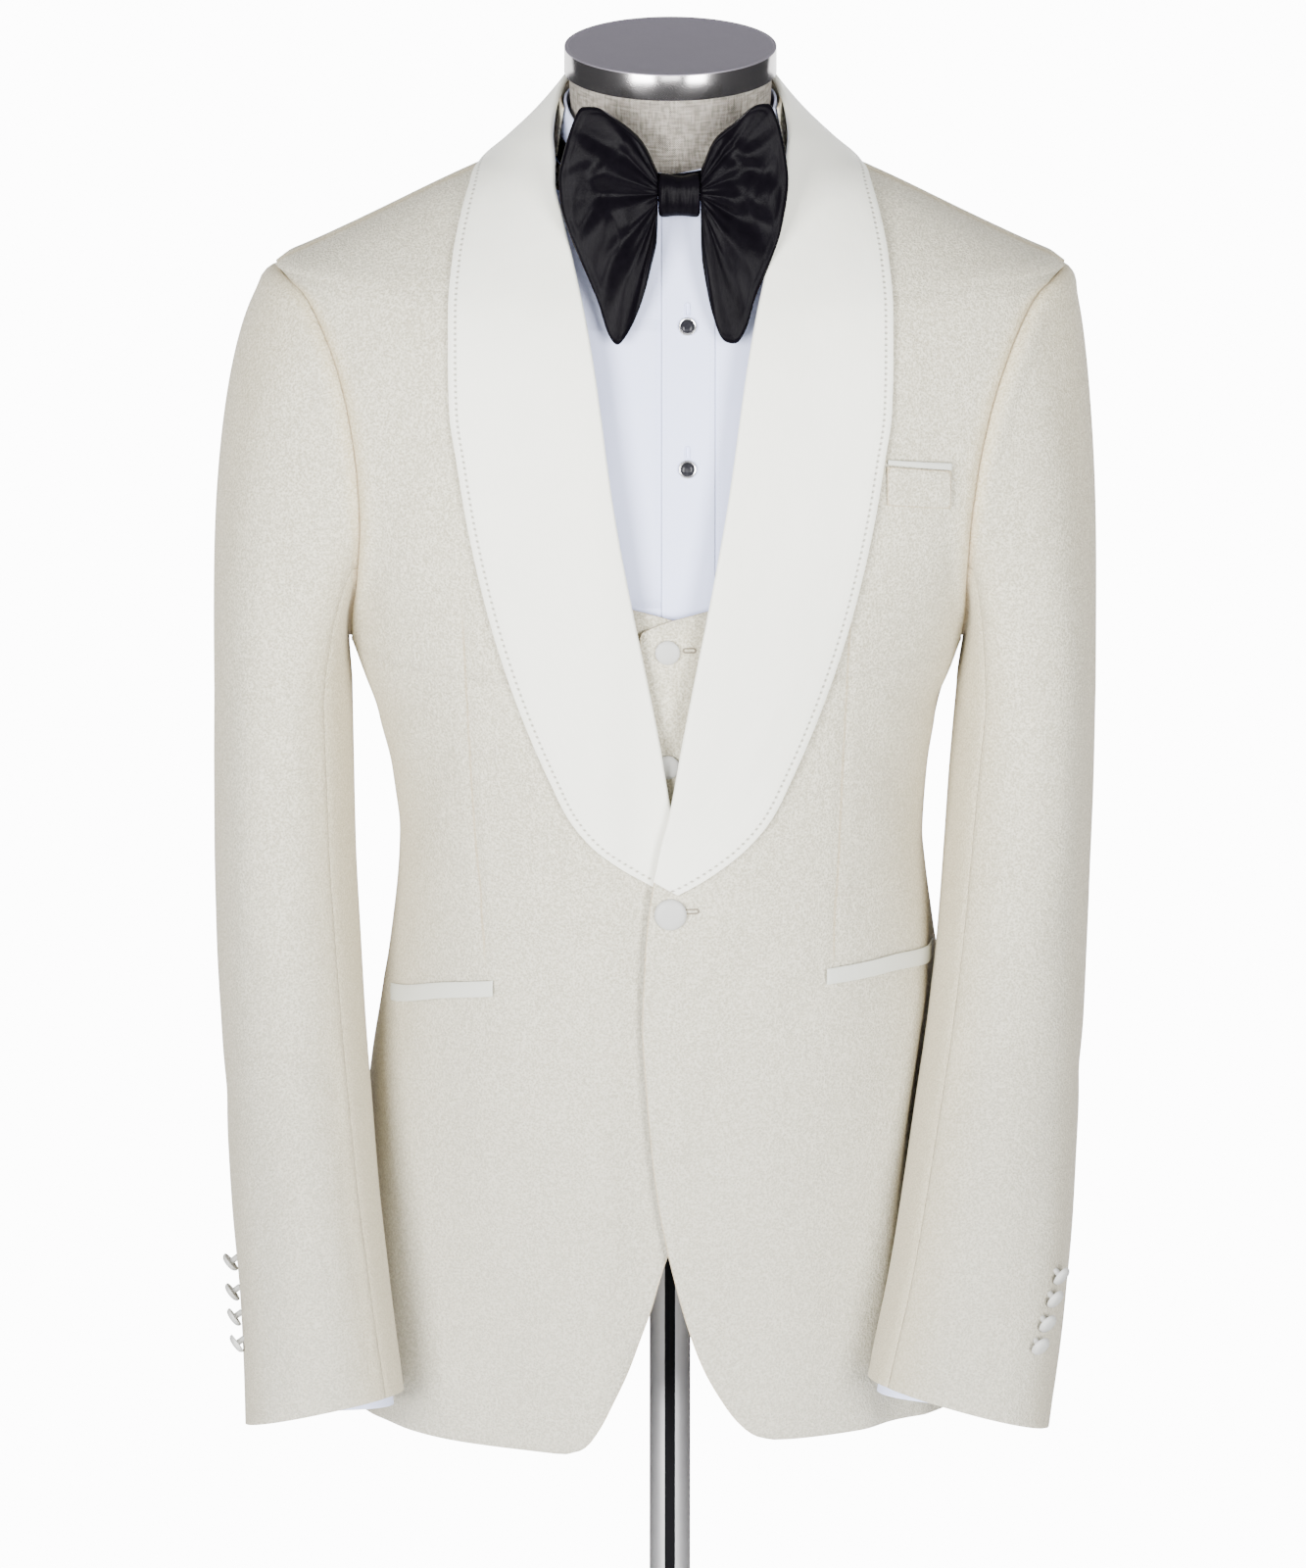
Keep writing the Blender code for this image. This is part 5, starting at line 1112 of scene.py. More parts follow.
@dataclass
class Sleeves:
    """Two-piece sleeves: a roped head, creases at the elbow, and the seams' slits."""

    body: JacketBody
    finish: "Finish"
    cloth: float = 1.8 * MM
    slit: float = 0.25
    fore: tuple[float, float] = (-38, -52)
    hind: dict[Side, tuple[float, float]] = by_side((152, 70), (152, 106))
    push: dict[Side, tuple[float, float]] = by_side((0.26, 0.25), (0.57, 0.25))
    fall: float = 0.99
    mm_per_degree: float = 0.8
    tuck: tuple[float, float] = (0.3 * MM, 2.4 * MM)
    head_rows: int = 44
    arm_rows: int = 104
    folds: dict[Side, Folds] = by_side(
        # x is the angle round the sleeve times mm_per_degree
        (
            (-10, 1000, 34, 12, 66, 1.8), (-24, 972, 30, 10, 74, 1.5), (12, 1040, 44, 13, 48, 1.4),
            (46, 1130, 130, 14, 2, 1.1), (-34, 1180, 110, 14, -3, 1.2), (20, 905, 100, 14, 4, 1.0),
            (-40, 890, 60, 12, -6, 1.1), (90, 990, 60, 14, 60, 1.4), (120, 1150, 110, 18, 4, 1.2),
            (196, 1060, 120, 18, -4, 1.2), (66, 1300, 60, 14, 6, -0.8), (10, 1260, 70, 12, -5, 0.9)),
        (
            (-14, 992, 36, 12, 64, 1.7), (-22, 962, 30, 10, 72, 1.6), (16, 1034, 46, 13, 50, 1.3),
            (40, 1140, 130, 14, -2, 1.1), (-30, 1170, 110, 14, 3, 1.2), (26, 900, 96, 14, -4, 1.0),
            (-38, 880, 60, 12, 6, 1.2), (94, 980, 60, 14, 58, 1.4), (122, 1160, 110, 18, -4, 1.2),
            (190, 1070, 120, 18, 4, 1.2), (60, 1310, 60, 14, -6, -0.8), (6, 1250, 70, 12, 5, 0.9)))

    def tube(self, hole: Armhole, shape: "SleeveShape | ShirtArm", push: tuple[float, float],
             angle: Array, level: Array) -> Array:
        """Point of a sleeve's outer face.

        Args:
            hole: the armhole's seam.
            shape: the sleeve below its head.
            push: how far the head swells out, at the shoulder and under the arm.
            angle: degrees round the sleeve.
            level: -1 to 0 down the head, 0 to 1 down the arm to the cuff.

        Returns:
            Points with x, y and z in the last axis.
        """
        point, normal, outward = hole.at(angle)
        start = point + outward * ARMHOLE_GAP
        end = shape.point(angle, 0 * level)
        t = np.clip(level + 1, 0, 1)[..., None]
        length = np.linalg.norm(end - start, axis=-1, keepdims=True)
        under = smoothstep(-0.2, 0.9, cosine(angle + 90))[..., None]
        leave = unit(outward * lerp(0.8, 0.1, under) + normal * lerp(0.35, 1.0, under))
        leave = leave * length * lerp(push[0], push[1], under)
        arrive = np.array((0, 0, -1)) * length * self.fall
        head = (start * (2 * t ** 3 - 3 * t ** 2 + 1) + leave * (t ** 3 - 2 * t ** 2 + t)
                + end * (3 * t ** 2 - 2 * t ** 3) + arrive * (t ** 3 - t ** 2))
        return np.where(t < 1, head, shape.point(angle, np.maximum(level, 0)))

    def panel(self, side: Side, under: bool, hole: Armhole) -> Sheet:
        """The top sleeve between the forearm and hind seams, or the under sleeve behind it.

        Args:
            side: the wearer's side.
            under: the under sleeve rather than the top one.
            hole: the armhole's seam.

        Returns:
            The sheet, not built yet.
        """
        level = np.concatenate([np.linspace(-1, 0, self.head_rows)[:-1], np.linspace(0, 1, self.arm_rows)])
        share = np.maximum(level, 0)
        fore, hind = lerp(*self.fore, share), lerp(*self.hind[side], share)
        first, last = (hind, fore + 360) if under else (fore, hind)
        first, last = (first + self.slit)[:, None], (last - self.slit)[:, None]
        columns = 46 if under else 54
        angle = lerp(first, last, np.linspace(0, 1, columns + 1)[None, :])
        level = np.broadcast_to(level[:, None], angle.shape)
        points = self.tube(hole, SleeveShape(side), self.push[side], angle, level)
        normal = grid_normals(points)
        normal = np.concatenate([normal[1:2], normal[1:]])
        centre = points.mean(1, keepdims=True)
        normal = normal * np.sign(((points - centre) * normal).sum(-1).mean())
        length = run(points)
        roped = smoothstep(-0.35, 0.5, sine(angle))
        drop = 0.9 * MM * hill(length, 2.5 * MM) - 1.5 * MM * roped * hill(length - 9 * MM, 6 * MM)
        to_seam = np.minimum(angle - first, last - angle) * self.mm_per_degree * MM
        calm = smoothstep(0, 12 * MM, to_seam) * smoothstep(0, 25 * MM, length)
        calm = calm * smoothstep(0, 20 * MM, length[-1:] - length)
        drop += 0.5 * MM * hill(to_seam, 1.8 * MM)
        drop += sink(self.folds[side], angle * self.mm_per_degree * MM, points[..., 2]) * calm
        drop += 0.5 * MM * sine(angle * 5 + 60 * side) * calm * share[:, None]
        points = points - normal * drop[..., None]
        seam, out_of, into = hole.at(angle[:1])
        points[:1] = seam + into * self.tuck[0] - out_of * self.tuck[1]
        # painted shade: warm darkening on the sleeve's inner side towards the body, at the armhole seam and
        # on the sides that turn away from the front
        warm = np.maximum(0.6 * smoothstep(0.1, 0.95, -sine(angle)), 0.75 * hill(length, 6 * MM))
        warm = np.maximum(warm, 0.35 * smoothstep(0.55, 1.0, np.abs(sine(angle))))
        marks = {"warm": warm, "edge": np.minimum(to_seam + 1.5 * MM, length)}
        grid = Grid(points, marks=marks, origin=(0, columns // 2)).turned(side is Side.LEFT)
        name = f"sleeve_{'under' if under else 'top'}_{side.label}"
        return Sheet(name, grid, self.cloth, Slot.JACQUARD, self.finish, Held.HUNG,
                     (f"jacket_front_{side.label}", f"jacket_back_{side.label}"))

    def build(self) -> None:
        """Build the four pieces."""
        for side in Side:
            hole = Armhole(JACKET, self.body.armhole_turn, side, self.body.armhole_low, self.body.tip)
            for under in (False, True):
                self.panel(side, under, hole).build()


@dataclass
class Pockets:
    """Satin welts at the hips, and the breast pocket's welt with its satin strip."""

    satin: "Finish"
    cloth_finish: "Finish"
    cloth: float = 1.2 * MM
    proud: float = 2.2 * MM
    hip: dict[Side, tuple[tuple[float, float], ...]] = by_side(
        ((89, 1043.5), (124, 1043.5), (153, 1038)), ((101, 1036), (130, 1029), (160, 1016)))
    hip_height: float = 9.5 * MM
    breast: tuple[tuple[float, float], ...] = ((122, 1332), (158, 1326.5))
    breast_height: float = 22 * MM
    trim_height: float = 4.2 * MM

    def band(self, name: str, ends: Sequence[tuple[float, float]], height: float, side: Side,
             slot: Slot, finish: "Finish", flare: float = 0.0) -> None:
        """Strip along a line of (x, z) ends on the front, lying on the cloth.

        Args:
            name: the piece's name.
            ends: points of its middle line, mm.
            height: its width up and down.
            side: the wearer's side.
            slot: material slot.
            finish: material.
            flare: share by which its inner end is lower than its outer one.
        """
        last = len(ends) - 1
        xs, zs = columns([(i, *end) for i, end in enumerate(ends)])
        t = np.linspace(0, last, 40)[None, :]
        level = np.linspace(-0.5, 0.5, 9)[:, None]
        tall = height * (1 - flare * (1 - t / last))
        x = side * xs(t) * MM + 0 * level
        z = zs(t) * MM + level * tall
        puff = 0.35 * MM * np.cos(math.pi * level) ** 0.5
        points = JACKET.point(JACKET.turn_at(x, z), z, self.proud - 0.3 * MM + puff + 0 * x)
        to_end = np.minimum(t, last - t) / last * abs(ends[-1][0] - ends[0][0]) * MM
        edge = np.minimum((0.5 - np.abs(level)) * tall, to_end)
        grid = Grid(points, marks={"edge": edge, "along": x}).turned(side is Side.RIGHT)
        Sheet(name, grid, self.cloth, slot, finish, Held.LAID, (f"jacket_front_{side.label}",)).build()

    def build(self) -> None:
        """Build the two hip welts and the breast welt."""
        for side in Side:
            self.band(f"hip_welt_{side.label}", self.hip[side], self.hip_height, side,
                      Slot.SATIN_IVORY, self.satin)
        self.band("breast_welt", self.breast, self.breast_height, Side.LEFT, Slot.JACQUARD, self.cloth_finish)
        rise = ((self.breast_height + self.trim_height) / 2 + SEAM_GAP) / MM
        line = tuple((x + 0.5, z + rise) for x, z in self.breast)
        self.band("breast_welt_trim", line, self.trim_height, Side.LEFT, Slot.SATIN_IVORY, self.satin, 0.3)


# ---- waistcoat and shirt ----
@dataclass
class Waistcoat:
    """Low waistcoat: two fronts, a back and the shoulder straps."""

    finish: "Finish"
    cloth: float = 1.5 * MM
    out: float = 7.6 * MM
    over: float = 3.7 * MM
    back_ease: float = 2.0 * MM
    low: float = 975 * MM
    arm_low: float = 1200 * MM
    top: float = 1440 * MM
    lap: float = 17 * MM
    neck: Curve = Curve(((1250, 0), (1256, 8), (1265, 30), (1290, 56), (1330, 76), (1380, 86), (1430, 88),
                         (1462, 84)), MM)
    arm: Curve = Curve(((1200, 149), (1208, 148), (1218, 145), (1240, 140), (1280, 134), (1340, 132),
                        (1400, 134), (1440, 137), (1452, 139)), MM)
    folds: Folds = (
        (30, 1206, 34, 8, 72, 0.9), (-34, 1198, 36, 8, -70, 0.8), (26, 1140, 34, 8, 76, 0.8),
        (-30, 1136, 32, 8, -78, 0.9), (20, 1090, 60, 9, 40, 0.7), (-40, 1060, 70, 14, -30, 0.8))

    def heights(self) -> Array:
        """Rows of the fronts and the back, closer at the armhole's foot and the V's."""
        fine = [z * MM for z in (1199.9, 1202, 1205, *range(1247, 1269, 3))]
        return spaced((self.low, self.arm_low, self.top), 5 * MM, fine)

    def front(self, side: Side) -> Sheet:
        """One front; the wearer's left one buttons on top.

        Args:
            side: the wearer's side.

        Returns:
            The sheet, not built yet.
        """
        z = self.heights()
        inner = self.neck(z) - self.lap * (1 - smoothstep(1247 * MM, 1268 * MM, z))
        start = TORSO.turn_at(side * inner, z)
        end = np.where(z < self.arm_low, side * 89.9, TORSO.turn_at(side * self.arm(z), z))
        t = np.linspace(0, 1, 40)[None, :]
        turn, height = lerp(start[:, None], end[:, None], t), z[:, None] + 0 * t
        x = TORSO.base(turn, height)[..., 0]
        lap = (1 - smoothstep(18 * MM, 45 * MM, np.abs(x))) * (side is Side.LEFT)
        points = TORSO.point(turn, height, self.out + self.over * lap - sink(self.folds, x, height))
        edge = np.abs(x - x[:, :1])
        # painted shade: warmer and darker away from the V's edge, where the jacket shades the waistcoat
        grid = Grid(points, marks={"edge": edge, "warm": 0.25 * smoothstep(0.0, 60 * MM, edge)})
        return self.sheet(f"front_{side.label}", grid.turned(side is Side.RIGHT))

    def sheet(self, name: str, grid: Grid) -> Sheet:
        """Sheet of the waistcoat's cloth, hung on the torso."""
        return Sheet(f"waistcoat_{name}", grid, self.cloth, Slot.JACQUARD, self.finish)

    def back(self) -> Sheet:
        """The plain back between the side seams and armholes.

        Returns:
            The sheet, not built yet.
        """
        z = self.heights()
        reach = np.where(z < self.arm_low, 90.1, TORSO.turn_at(self.arm(z) + 6 * MM, z, back=True))
        turn = lerp(reach[:, None], 360 - reach[:, None], np.linspace(0, 1, 60)[None, :])
        points = TORSO.point(turn, z[:, None] + 0 * turn, self.out + self.back_ease + 0 * turn)
        return self.sheet("back", Grid(points, marks={"edge": np.full(turn.shape, FAR)}))

    def strap(self, side: Side) -> Sheet:
        """Shoulder piece that joins a front to the back over the shoulder.

        Args:
            side: the wearer's side.

        Returns:
            The sheet, not built yet.
        """
        low = self.top + 0.9 * MM
        x = np.linspace(88, 136, 14)[None, :] * MM
        share = np.linspace(0, 1, 30)[:, None]
        ladder = np.arange(low, TORSO.high, 0.5 * MM)
        ridge = np.interp(-x, -TORSO.section(ladder)[0], ladder)
        z = lerp(low, ridge - 0.2 * MM, (1 - np.abs(2 * share - 1)) ** 0.8)
        turn = np.where(share > 0.5, TORSO.turn_at(side * x, z, back=True), TORSO.turn_at(side * x, z))
        grid = Grid(TORSO.point(turn, z, self.out + 0 * z), marks={"edge": np.full(z.shape, FAR)})
        return self.sheet(f"strap_{side.label}", grid.turned(side is Side.RIGHT))

    def build(self) -> None:
        """Build the five pieces."""
        self.back().build()
        for side in Side:
            self.front(side).build()
            self.strap(side).build()


@dataclass
class ShirtArm:
    """The shirt's sleeve inside the jacket's: slack at the top, close inside the cuff."""

    side: Side
    slack: tuple[float, float] = (10 * MM, 8.2 * MM)
    span: tuple[float, float] = (0.12, 0.96)

    def point(self, angle: Array, share: Array) -> Array:
        """Point of the shirt's sleeve.

        Args:
            angle: degrees, 0 in front, 90 outside.
            share: share of its own length.

        Returns:
            Points with x, y and z in the last axis.
        """
        place = lerp(*self.span, share)
        upper, lower = (SleeveShape(self.side, slack).point(angle, place) for slack in self.slack)
        return lerp(upper, lower, (np.asarray(share) ** 3)[..., None])


@dataclass
class Shirt:
    """Dress shirt: fronts, back, placket, band collar, sleeves and cuffs."""

    finish: "Finish"
    sleeves: Sleeves
    cloth: float = 1.0 * MM
    out: float = 1.4 * MM
    low: float = 905 * MM
    top: float = 1486 * MM
    placket_x: float = 10 * MM
    placket_width: float = 30 * MM
    placket_over: float = 0.5 * MM
    cuff_cloth: float = 1.2 * MM
    cuff_slack: float = 6.4 * MM
    cuff_shows: float = 6.8 * MM
    cuff_slant: float = 0.2
    cuff_start: float = 0.945
    cuff_depth: float = 40 * MM
    cuff_radius: float = 50 * MM
    arm_push: tuple[float, float] = (0.22, 1.5)
    arm_cut: tuple[float, float] = (0.4, 0.6)
    arm_low: float = 1262 * MM
    arm_high: float = 1423 * MM
    arm: tuple[Curve, ...] = columns((
        # height, half width of the front, half width of the back
        (1262, 165, 165), (1268, 162, 164), (1283, 157, 162), (1310, 153, 160), (1350, 158, 163),
        (1385, 164, 168), (1408, 170, 173), (1423, 178.5, 178.5)), MM)
    folds: Folds = (
        (-40, 1400, 60, 8, 4, 0.5), (-62, 1360, 70, 9, -5, 0.5), (48, 1390, 60, 8, -4, 0.5),
        (70, 1350, 60, 9, 6, 0.5), (-26, 1310, 50, 7, 2, 0.4), (34, 1300, 40, 7, -3, 0.4))

    def armhole_turn(self, z: Array, side: Side, back: bool) -> Array:
        """Turn of the armhole's seam at a height."""
        return TORSO.turn_from_middle(self.arm[int(back)](z), z, side, back)

    def reach(self, z: Array, side: Side, back: bool) -> Array:
        """Turn where the front or back ends: side seam, armhole or shoulder.

        Args:
            z: height.
            side: the wearer's side.
            back: the back rather than the front.

        Returns:
            Degrees round the body.
        """
        inside = (z > self.arm_low) & (z < self.arm_high)
        turn = np.where(inside, self.armhole_turn(z, side, back), side * 90.0)
        return turn + side * 0.1 * (1 if back else -1)

    def patch(self, name: str, start: Array, end: Array, z: Array, columns: int, out: float,
              thickness: float, mirrored: bool) -> None:
        """Build one shirt piece between two lists of turns.

        Args:
            name: the piece's name.
            start: turn of its first edge at each height.
            end: turn of its other edge.
            z: heights.
            columns: number of columns.
            out: distance outside the torso's skin.
            thickness: its wall; only a piece of plain cloth takes the folds.
            mirrored: True where the turns run the other way.
        """
        turn = lerp(start[:, None], end[:, None], np.linspace(0, 1, columns)[None, :])
        height = z[:, None] + 0 * turn
        x = TORSO.base(turn, height)[..., 0]
        points = TORSO.point(turn, height, out - sink(self.folds, x, height) * (thickness == self.cloth))
        edge = np.minimum(np.abs(x - x[:, :1]), np.abs(x - x[:, -1:]))
        grid = Grid(points, marks={"edge": edge, "along": height}).turned(mirrored)
        Sheet(name, grid, thickness, Slot.SHIRTING, self.finish).build()

    def cuff(self, side: Side) -> None:
        """Build the cuff, which shows below the jacket's sleeve at its inner side.

        Args:
            side: the wearer's side.
        """
        shape = SleeveShape(side, self.cuff_slack)
        angle = np.linspace(0, 360, 97)[None, :-1]
        share = np.linspace(self.cuff_start, 1.0, 14)[:, None]
        top, low = (shape.point(np.arange(0, 360, 5.0), np.full(72, value)).mean(0)
                    for value in (self.cuff_start, 1.0))
        outer, inner = (column(shape.bottom) for column in shape.columns[:2])
        half = (outer - inner) / 2 - self.cuff_slack
        drop = self.cuff_shows - self.cuff_slant * half * (1 + sine(angle))
        points = shape.point(angle + 0 * share, share + 0 * angle)
        ease = smoothstep(self.cuff_start, 1.0, share)
        points = points + unit(low - top) * (drop * ease)[..., None]
        depth = (1 - share) / (1 - self.cuff_start) * self.cuff_depth + 0 * angle
        around = self.cuff_radius * np.radians(angle) + 0 * depth
        grid = Grid(points, True, {"edge": depth, "along": around}, uv=np.stack([around, depth], -1))
        if grid.faces_in(5):
            grid.points = points[:, ::-1]
        Sheet(f"shirt_cuff_{side.label}", grid, self.cuff_cloth, Slot.SHIRTING, self.finish, Held.STRETCHED,
              (f"shirt_sleeve_{side.label}",)).build()

    def arm_tube(self, side: Side) -> None:
        """Build the plain sleeve inside the jacket's; its flat place is set from given lengths.

        Args:
            side: the wearer's side.
        """
        hole = Armhole(TORSO, self.armhole_turn, side, self.arm_low, self.arm_high, self.out)
        angle = np.linspace(-90, 270, 61)[None, :-1]
        level = np.concatenate([np.linspace(-1, 0, 16)[:-1], np.linspace(0, 1, 50)])[:, None]
        points = self.sleeves.tube(hole, ShirtArm(side), self.arm_push, angle + 0 * level, level + 0 * angle)
        rows, columns = points.shape[:2]
        around, down = (np.linspace(0, length, count) for length, count in zip(self.arm_cut, (columns, rows)))
        far = np.full((rows, columns), FAR)
        grid = Grid(points, True, {"edge": far, "along": far}, uv=stack(around[None, :], down[:, None]))
        if grid.faces_in(30):
            grid.points = points[:, ::-1]
        Sheet(f"shirt_sleeve_{side.label}", grid, self.cloth, Slot.SHIRTING, self.finish).build()

    def build(self) -> None:
        """Build every piece of the shirt."""
        z = spaced((self.low, self.arm_low, self.arm_high, self.top), 6 * MM,
                   [self.arm_low + d * MM for d in (1, 2, 4, 6, 9)])
        for side in Side:
            edge = self.placket_x + side * (self.placket_width / 2 + SEAM_GAP)
            start = TORSO.turn_at(edge + 0 * z, z)
            self.patch(f"shirt_front_{side.label}", start, self.reach(z, side, False), z, 44, self.out,
                       self.cloth, side is Side.RIGHT)
            self.cuff(side)
            self.arm_tube(side)
        reach = self.reach(z, Side.LEFT, True)
        self.patch("shirt_back", reach, 360 - reach, z, 60, self.out, self.cloth, False)
        z = z[z > 1000 * MM]
        ends = (TORSO.turn_at(self.placket_x + s * self.placket_width / 2 + 0 * z, z) for s in (-1, 1))
        self.patch("shirt_placket", *ends, z, 12, self.out + self.placket_over,
                   self.cloth + self.placket_over, False)
        top = Curve(((0, 1503), (20, 1507), (45, 1518), (70, 1529), (90, 1535), (135, 1539), (180, 1541)))
        foot = Curve(((0, 1489), (40, 1492), (80, 1499), (180, 1499)))
        NeckBand("shirt_collar", Slot.SHIRTING, self.finish, lambda turn: foot(turn) * MM,
                 lambda turn: top(turn) * MM, 0.0, 1.2 * MM).build()


# ---- bow tie ----
@dataclass
class BowTie:
    """Padded bow: knot, two full front wings, a flatter wing behind each, and the neck band."""

    finish: "Finish"
    knot: tuple[float, float, float, float] = (4.9, 1493.5, 11.8, 13.2)
    plane: float = -78.2 * MM
    knot_depth: float = 8.5 * MM
    knot_proud: float = 2 * MM
    lean: float = 0.225
    rim: float = 0.9 * MM
    root: float = 0.85
    samples: int = 150
    rays: int = 44
    seam_inside: float = 3.4 * MM
    band_width: float = 13 * MM
    full_depth: float = 10 * MM
    outlines: dict[Side, tuple[tuple[float, float], ...]] = by_side(
        ((17, 1507), (25, 1525), (38, 1536), (49.7, 1545), (55.2, 1545.5), (59.6, 1538), (64, 1521),
         (66.5, 1502), (62.5, 1475), (55.5, 1455), (48.3, 1439), (42, 1419), (36.5, 1412), (31, 1413),
         (24, 1427), (19.5, 1447), (17.4, 1461), (17, 1472), (17, 1482)),
        ((-7.3, 1506), (-16.3, 1524), (-32.8, 1538), (-43, 1543.5), (-50, 1543.5), (-55, 1535),
         (-59.5, 1521), (-63, 1504), (-62, 1488), (-57.6, 1474), (-49.4, 1454.5), (-41, 1435),
         (-34.5, 1416), (-30, 1411), (-25.7, 1415.5), (-16.3, 1435), (-10.8, 1455), (-7.6, 1470),
         (-7.3, 1481)))
    gathers: dict[Side, tuple[tuple[float, float, float], ...]] = by_side(
        # share of the way round from the knot's top, width, depth in mm
        ((0.10, 0.025, 2.2), (0.19, 0.03, 2.8), (0.31, 0.05, 2.4), (0.48, 0.05, 3.2), (0.66, 0.045, 2.2),
         (0.84, 0.04, 2.3), (0.40, 0.05, -1.8), (0.57, 0.04, -1.6)),
        ((0.13, 0.030, 2.6), (0.24, 0.045, 2.4), (0.42, 0.06, 3.0), (0.60, 0.05, 2.2), (0.80, 0.04, 2.4),
         (0.33, 0.05, -1.8), (0.70, 0.05, -1.8)))
    swirls: dict[Side, Folds] = by_side(
        ((50, 1528, 16, 4, 54, 2.4), (42, 1512, 18, 4.5, -62, 2.2), (52, 1504, 16, 4, 24, 2.0),
         (46, 1486, 18, 4.5, -38, 2.3), (36, 1522, 14, 4, -44, -1.6), (38, 1452, 24, 5, -10, 1.8),
         (50, 1470, 20, 4, -24, 1.6), (58, 1492, 14, 4, -8, -1.6)),
        ((-44, 1526, 16, 4, -58, 2.4), (-50, 1508, 18, 5, 66, 2.2), (-40, 1496, 16, 4, -30, 1.8),
         (-47, 1482, 18, 4.5, 34, 2.4), (-34, 1516, 14, 4, 40, -1.6), (-36, 1450, 24, 5, 14, 1.8),
         (-28, 1468, 20, 4, -14, 1.5), (-55, 1494, 14, 4, 10, -1.6)))

    def rim_line(self, side: Side, spread: float) -> Array:
        """Smooth outline of a wing, from the knot's top to its bottom.

        Args:
            side: the wearer's side.
            spread: its size against the outline's.

        Returns:
            Rows of x and z in metres.
        """
        points = np.array(self.outlines[side], float) * MM
        lengths = run(points)
        line = resample(lengths, points, np.linspace(0, lengths[-1], self.samples))
        for _ in range(2):
            line[1:-1] = (line[:-2] + 2 * line[1:-1] + line[2:]) / 4
        middle = np.array((self.root_x(side), self.knot[1] * MM))
        return middle + (line - middle) * spread

    def root_x(self, side: Side) -> float:
        """Where the wings meet the knot's side."""
        return self.knot[0] * MM + side * (self.knot[2] * MM + SEAM_GAP)

    def wing(self, name: str, side: Side, ahead: float, depth: float, spread: float) -> None:
        """Build one wing: a fan from the knot's side to the outline, puffed and gathered.

        Args:
            name: the piece's name.
            side: the wearer's side.
            ahead: how far its plane lies in front of the bow's own.
            depth: how far it is puffed.
            spread: its size against the outline's.
        """
        outline = self.rim_line(side, spread)
        share = np.linspace(0, 1, self.samples)[:, None]
        t = np.linspace(0, 1, self.rays)[None, :] ** 0.85
        kz, half = self.knot[1] * MM, self.knot[3] * MM * self.root
        root = stack(self.root_x(side) + 0 * share[:, 0], kz + half * (1 - 2 * share[:, 0]))
        flat = lerp(root[:, None, :], outline[:, None, :], t[..., None])
        x, z = flat[..., 0], flat[..., 1]
        x = np.where(side * (x - self.root_x(side)) < 0, self.root_x(side), x)
        ends = np.sin(math.pi * np.minimum(share, 1 - share)) ** 0.6
        swell = depth * (0.18 + 0.82 * np.sin(math.pi * (0.25 + 0.7 * t)) ** 1.2) * ends
        distance = np.linalg.norm(flat - outline[:, None, :], axis=-1)
        rounded = np.sqrt(np.clip(1 - (1 - np.clip(distance / (3.2 * MM), 0, 1)) ** 2, 0, 1))
        fold = sum(d * MM * hill(share - a - 0.05 * t * (1 - t) * side, w * (0.35 + 0.65 * t))
                   for a, w, d in self.gathers[side])
        fold = fold * np.sin(math.pi * np.clip(t * 0.92 + 0.06, 0, 1)) ** 0.8
        fold = fold + sink(self.swirls[side], x, z) * np.sin(math.pi * np.clip(t, 0, 1)) ** 0.6
        fold = fold * ends * (depth / self.full_depth)
        pleats = 0.9 * MM * np.cos(2 * math.pi * 5.5 * share) * np.exp(-t / 0.22) * ends
        seam = 0.45 * MM * hill(distance - self.seam_inside, 1.0 * MM) * rounded
        drop = kz - z
        plane = self.plane - ahead - self.lean * np.maximum(drop, 0.5 * drop)
        rim = self.rim * (0.25 + 0.75 * rounded)
        front = plane - rim - swell * 0.6 * rounded + fold + pleats * (t < 1) + seam
        front = np.minimum(front, plane - 0.2 * MM)
        back = plane + rim + swell * 0.4 * rounded
        rows = np.concatenate([stack(x, front, z), stack(x, back, z)[:, ::-1]], 1)
        pad(name, name + "_pad", rows, rows[..., [0, 2]], Slot.SATIN_BLACK, self.finish)

    def tie(self) -> None:
        """The knot: a cross strip with soft pleats, drawn in at its waist."""
        kx, kz, half_width, half_height = (value * MM for value in self.knot)
        angle = np.linspace(0, 2 * math.pi, 73)[None, :-1]
        t = np.linspace(0, 1, 40)[:, None]
        ends = (1 - (2 * t - 1) ** 8) ** 0.5
        size = (1 - 0.10 * np.sin(math.pi * t)) * (0.72 + 0.28 * ends)
        pleat = 0.55 * MM * np.cos(2 * math.pi * 3.2 * t + 0.7) * np.maximum(np.cos(angle), 0) * ends
        dip = 1.1 * MM * hill(t - 0.55, 0.22) * np.maximum(np.sin(angle), 0)
        x = kx + lerp(-half_width, half_width, t) + 0 * angle
        y = self.plane - self.knot_proud - np.cos(angle) * self.knot_depth * size + pleat
        z = kz + np.sign(np.sin(angle)) * np.abs(np.sin(angle)) ** 0.8 * (half_height * size) - dip
        rows = stack(x, y, z)
        pad("bow_knot", "bow_knot_pad", rows, rows[..., [0, 2]], Slot.SATIN_BLACK, self.finish)

    def build(self) -> None:
        """Build the knot, the wings and the neck band."""
        self.tie()
        for side in Side:
            self.wing(f"bow_wing_{side.label}", side, 4 * MM, 10 * MM, 1.0)
            self.wing(f"bow_back_wing_{side.label}", side, -4.5 * MM, 2.5 * MM, 0.95)
        middle, half = Curve(((0, 1497), (60, 1505), (90, 1511), (180, 1515))), self.band_width / 2 / MM
        NeckBand("bow_neck_band", Slot.SATIN_BLACK, self.finish, lambda turn: (middle(turn) - half) * MM,
                 lambda turn: (middle(turn) + half) * MM, 1.4 * MM, 1.0 * MM,
                 rests_on=("shirt_collar",)).build()


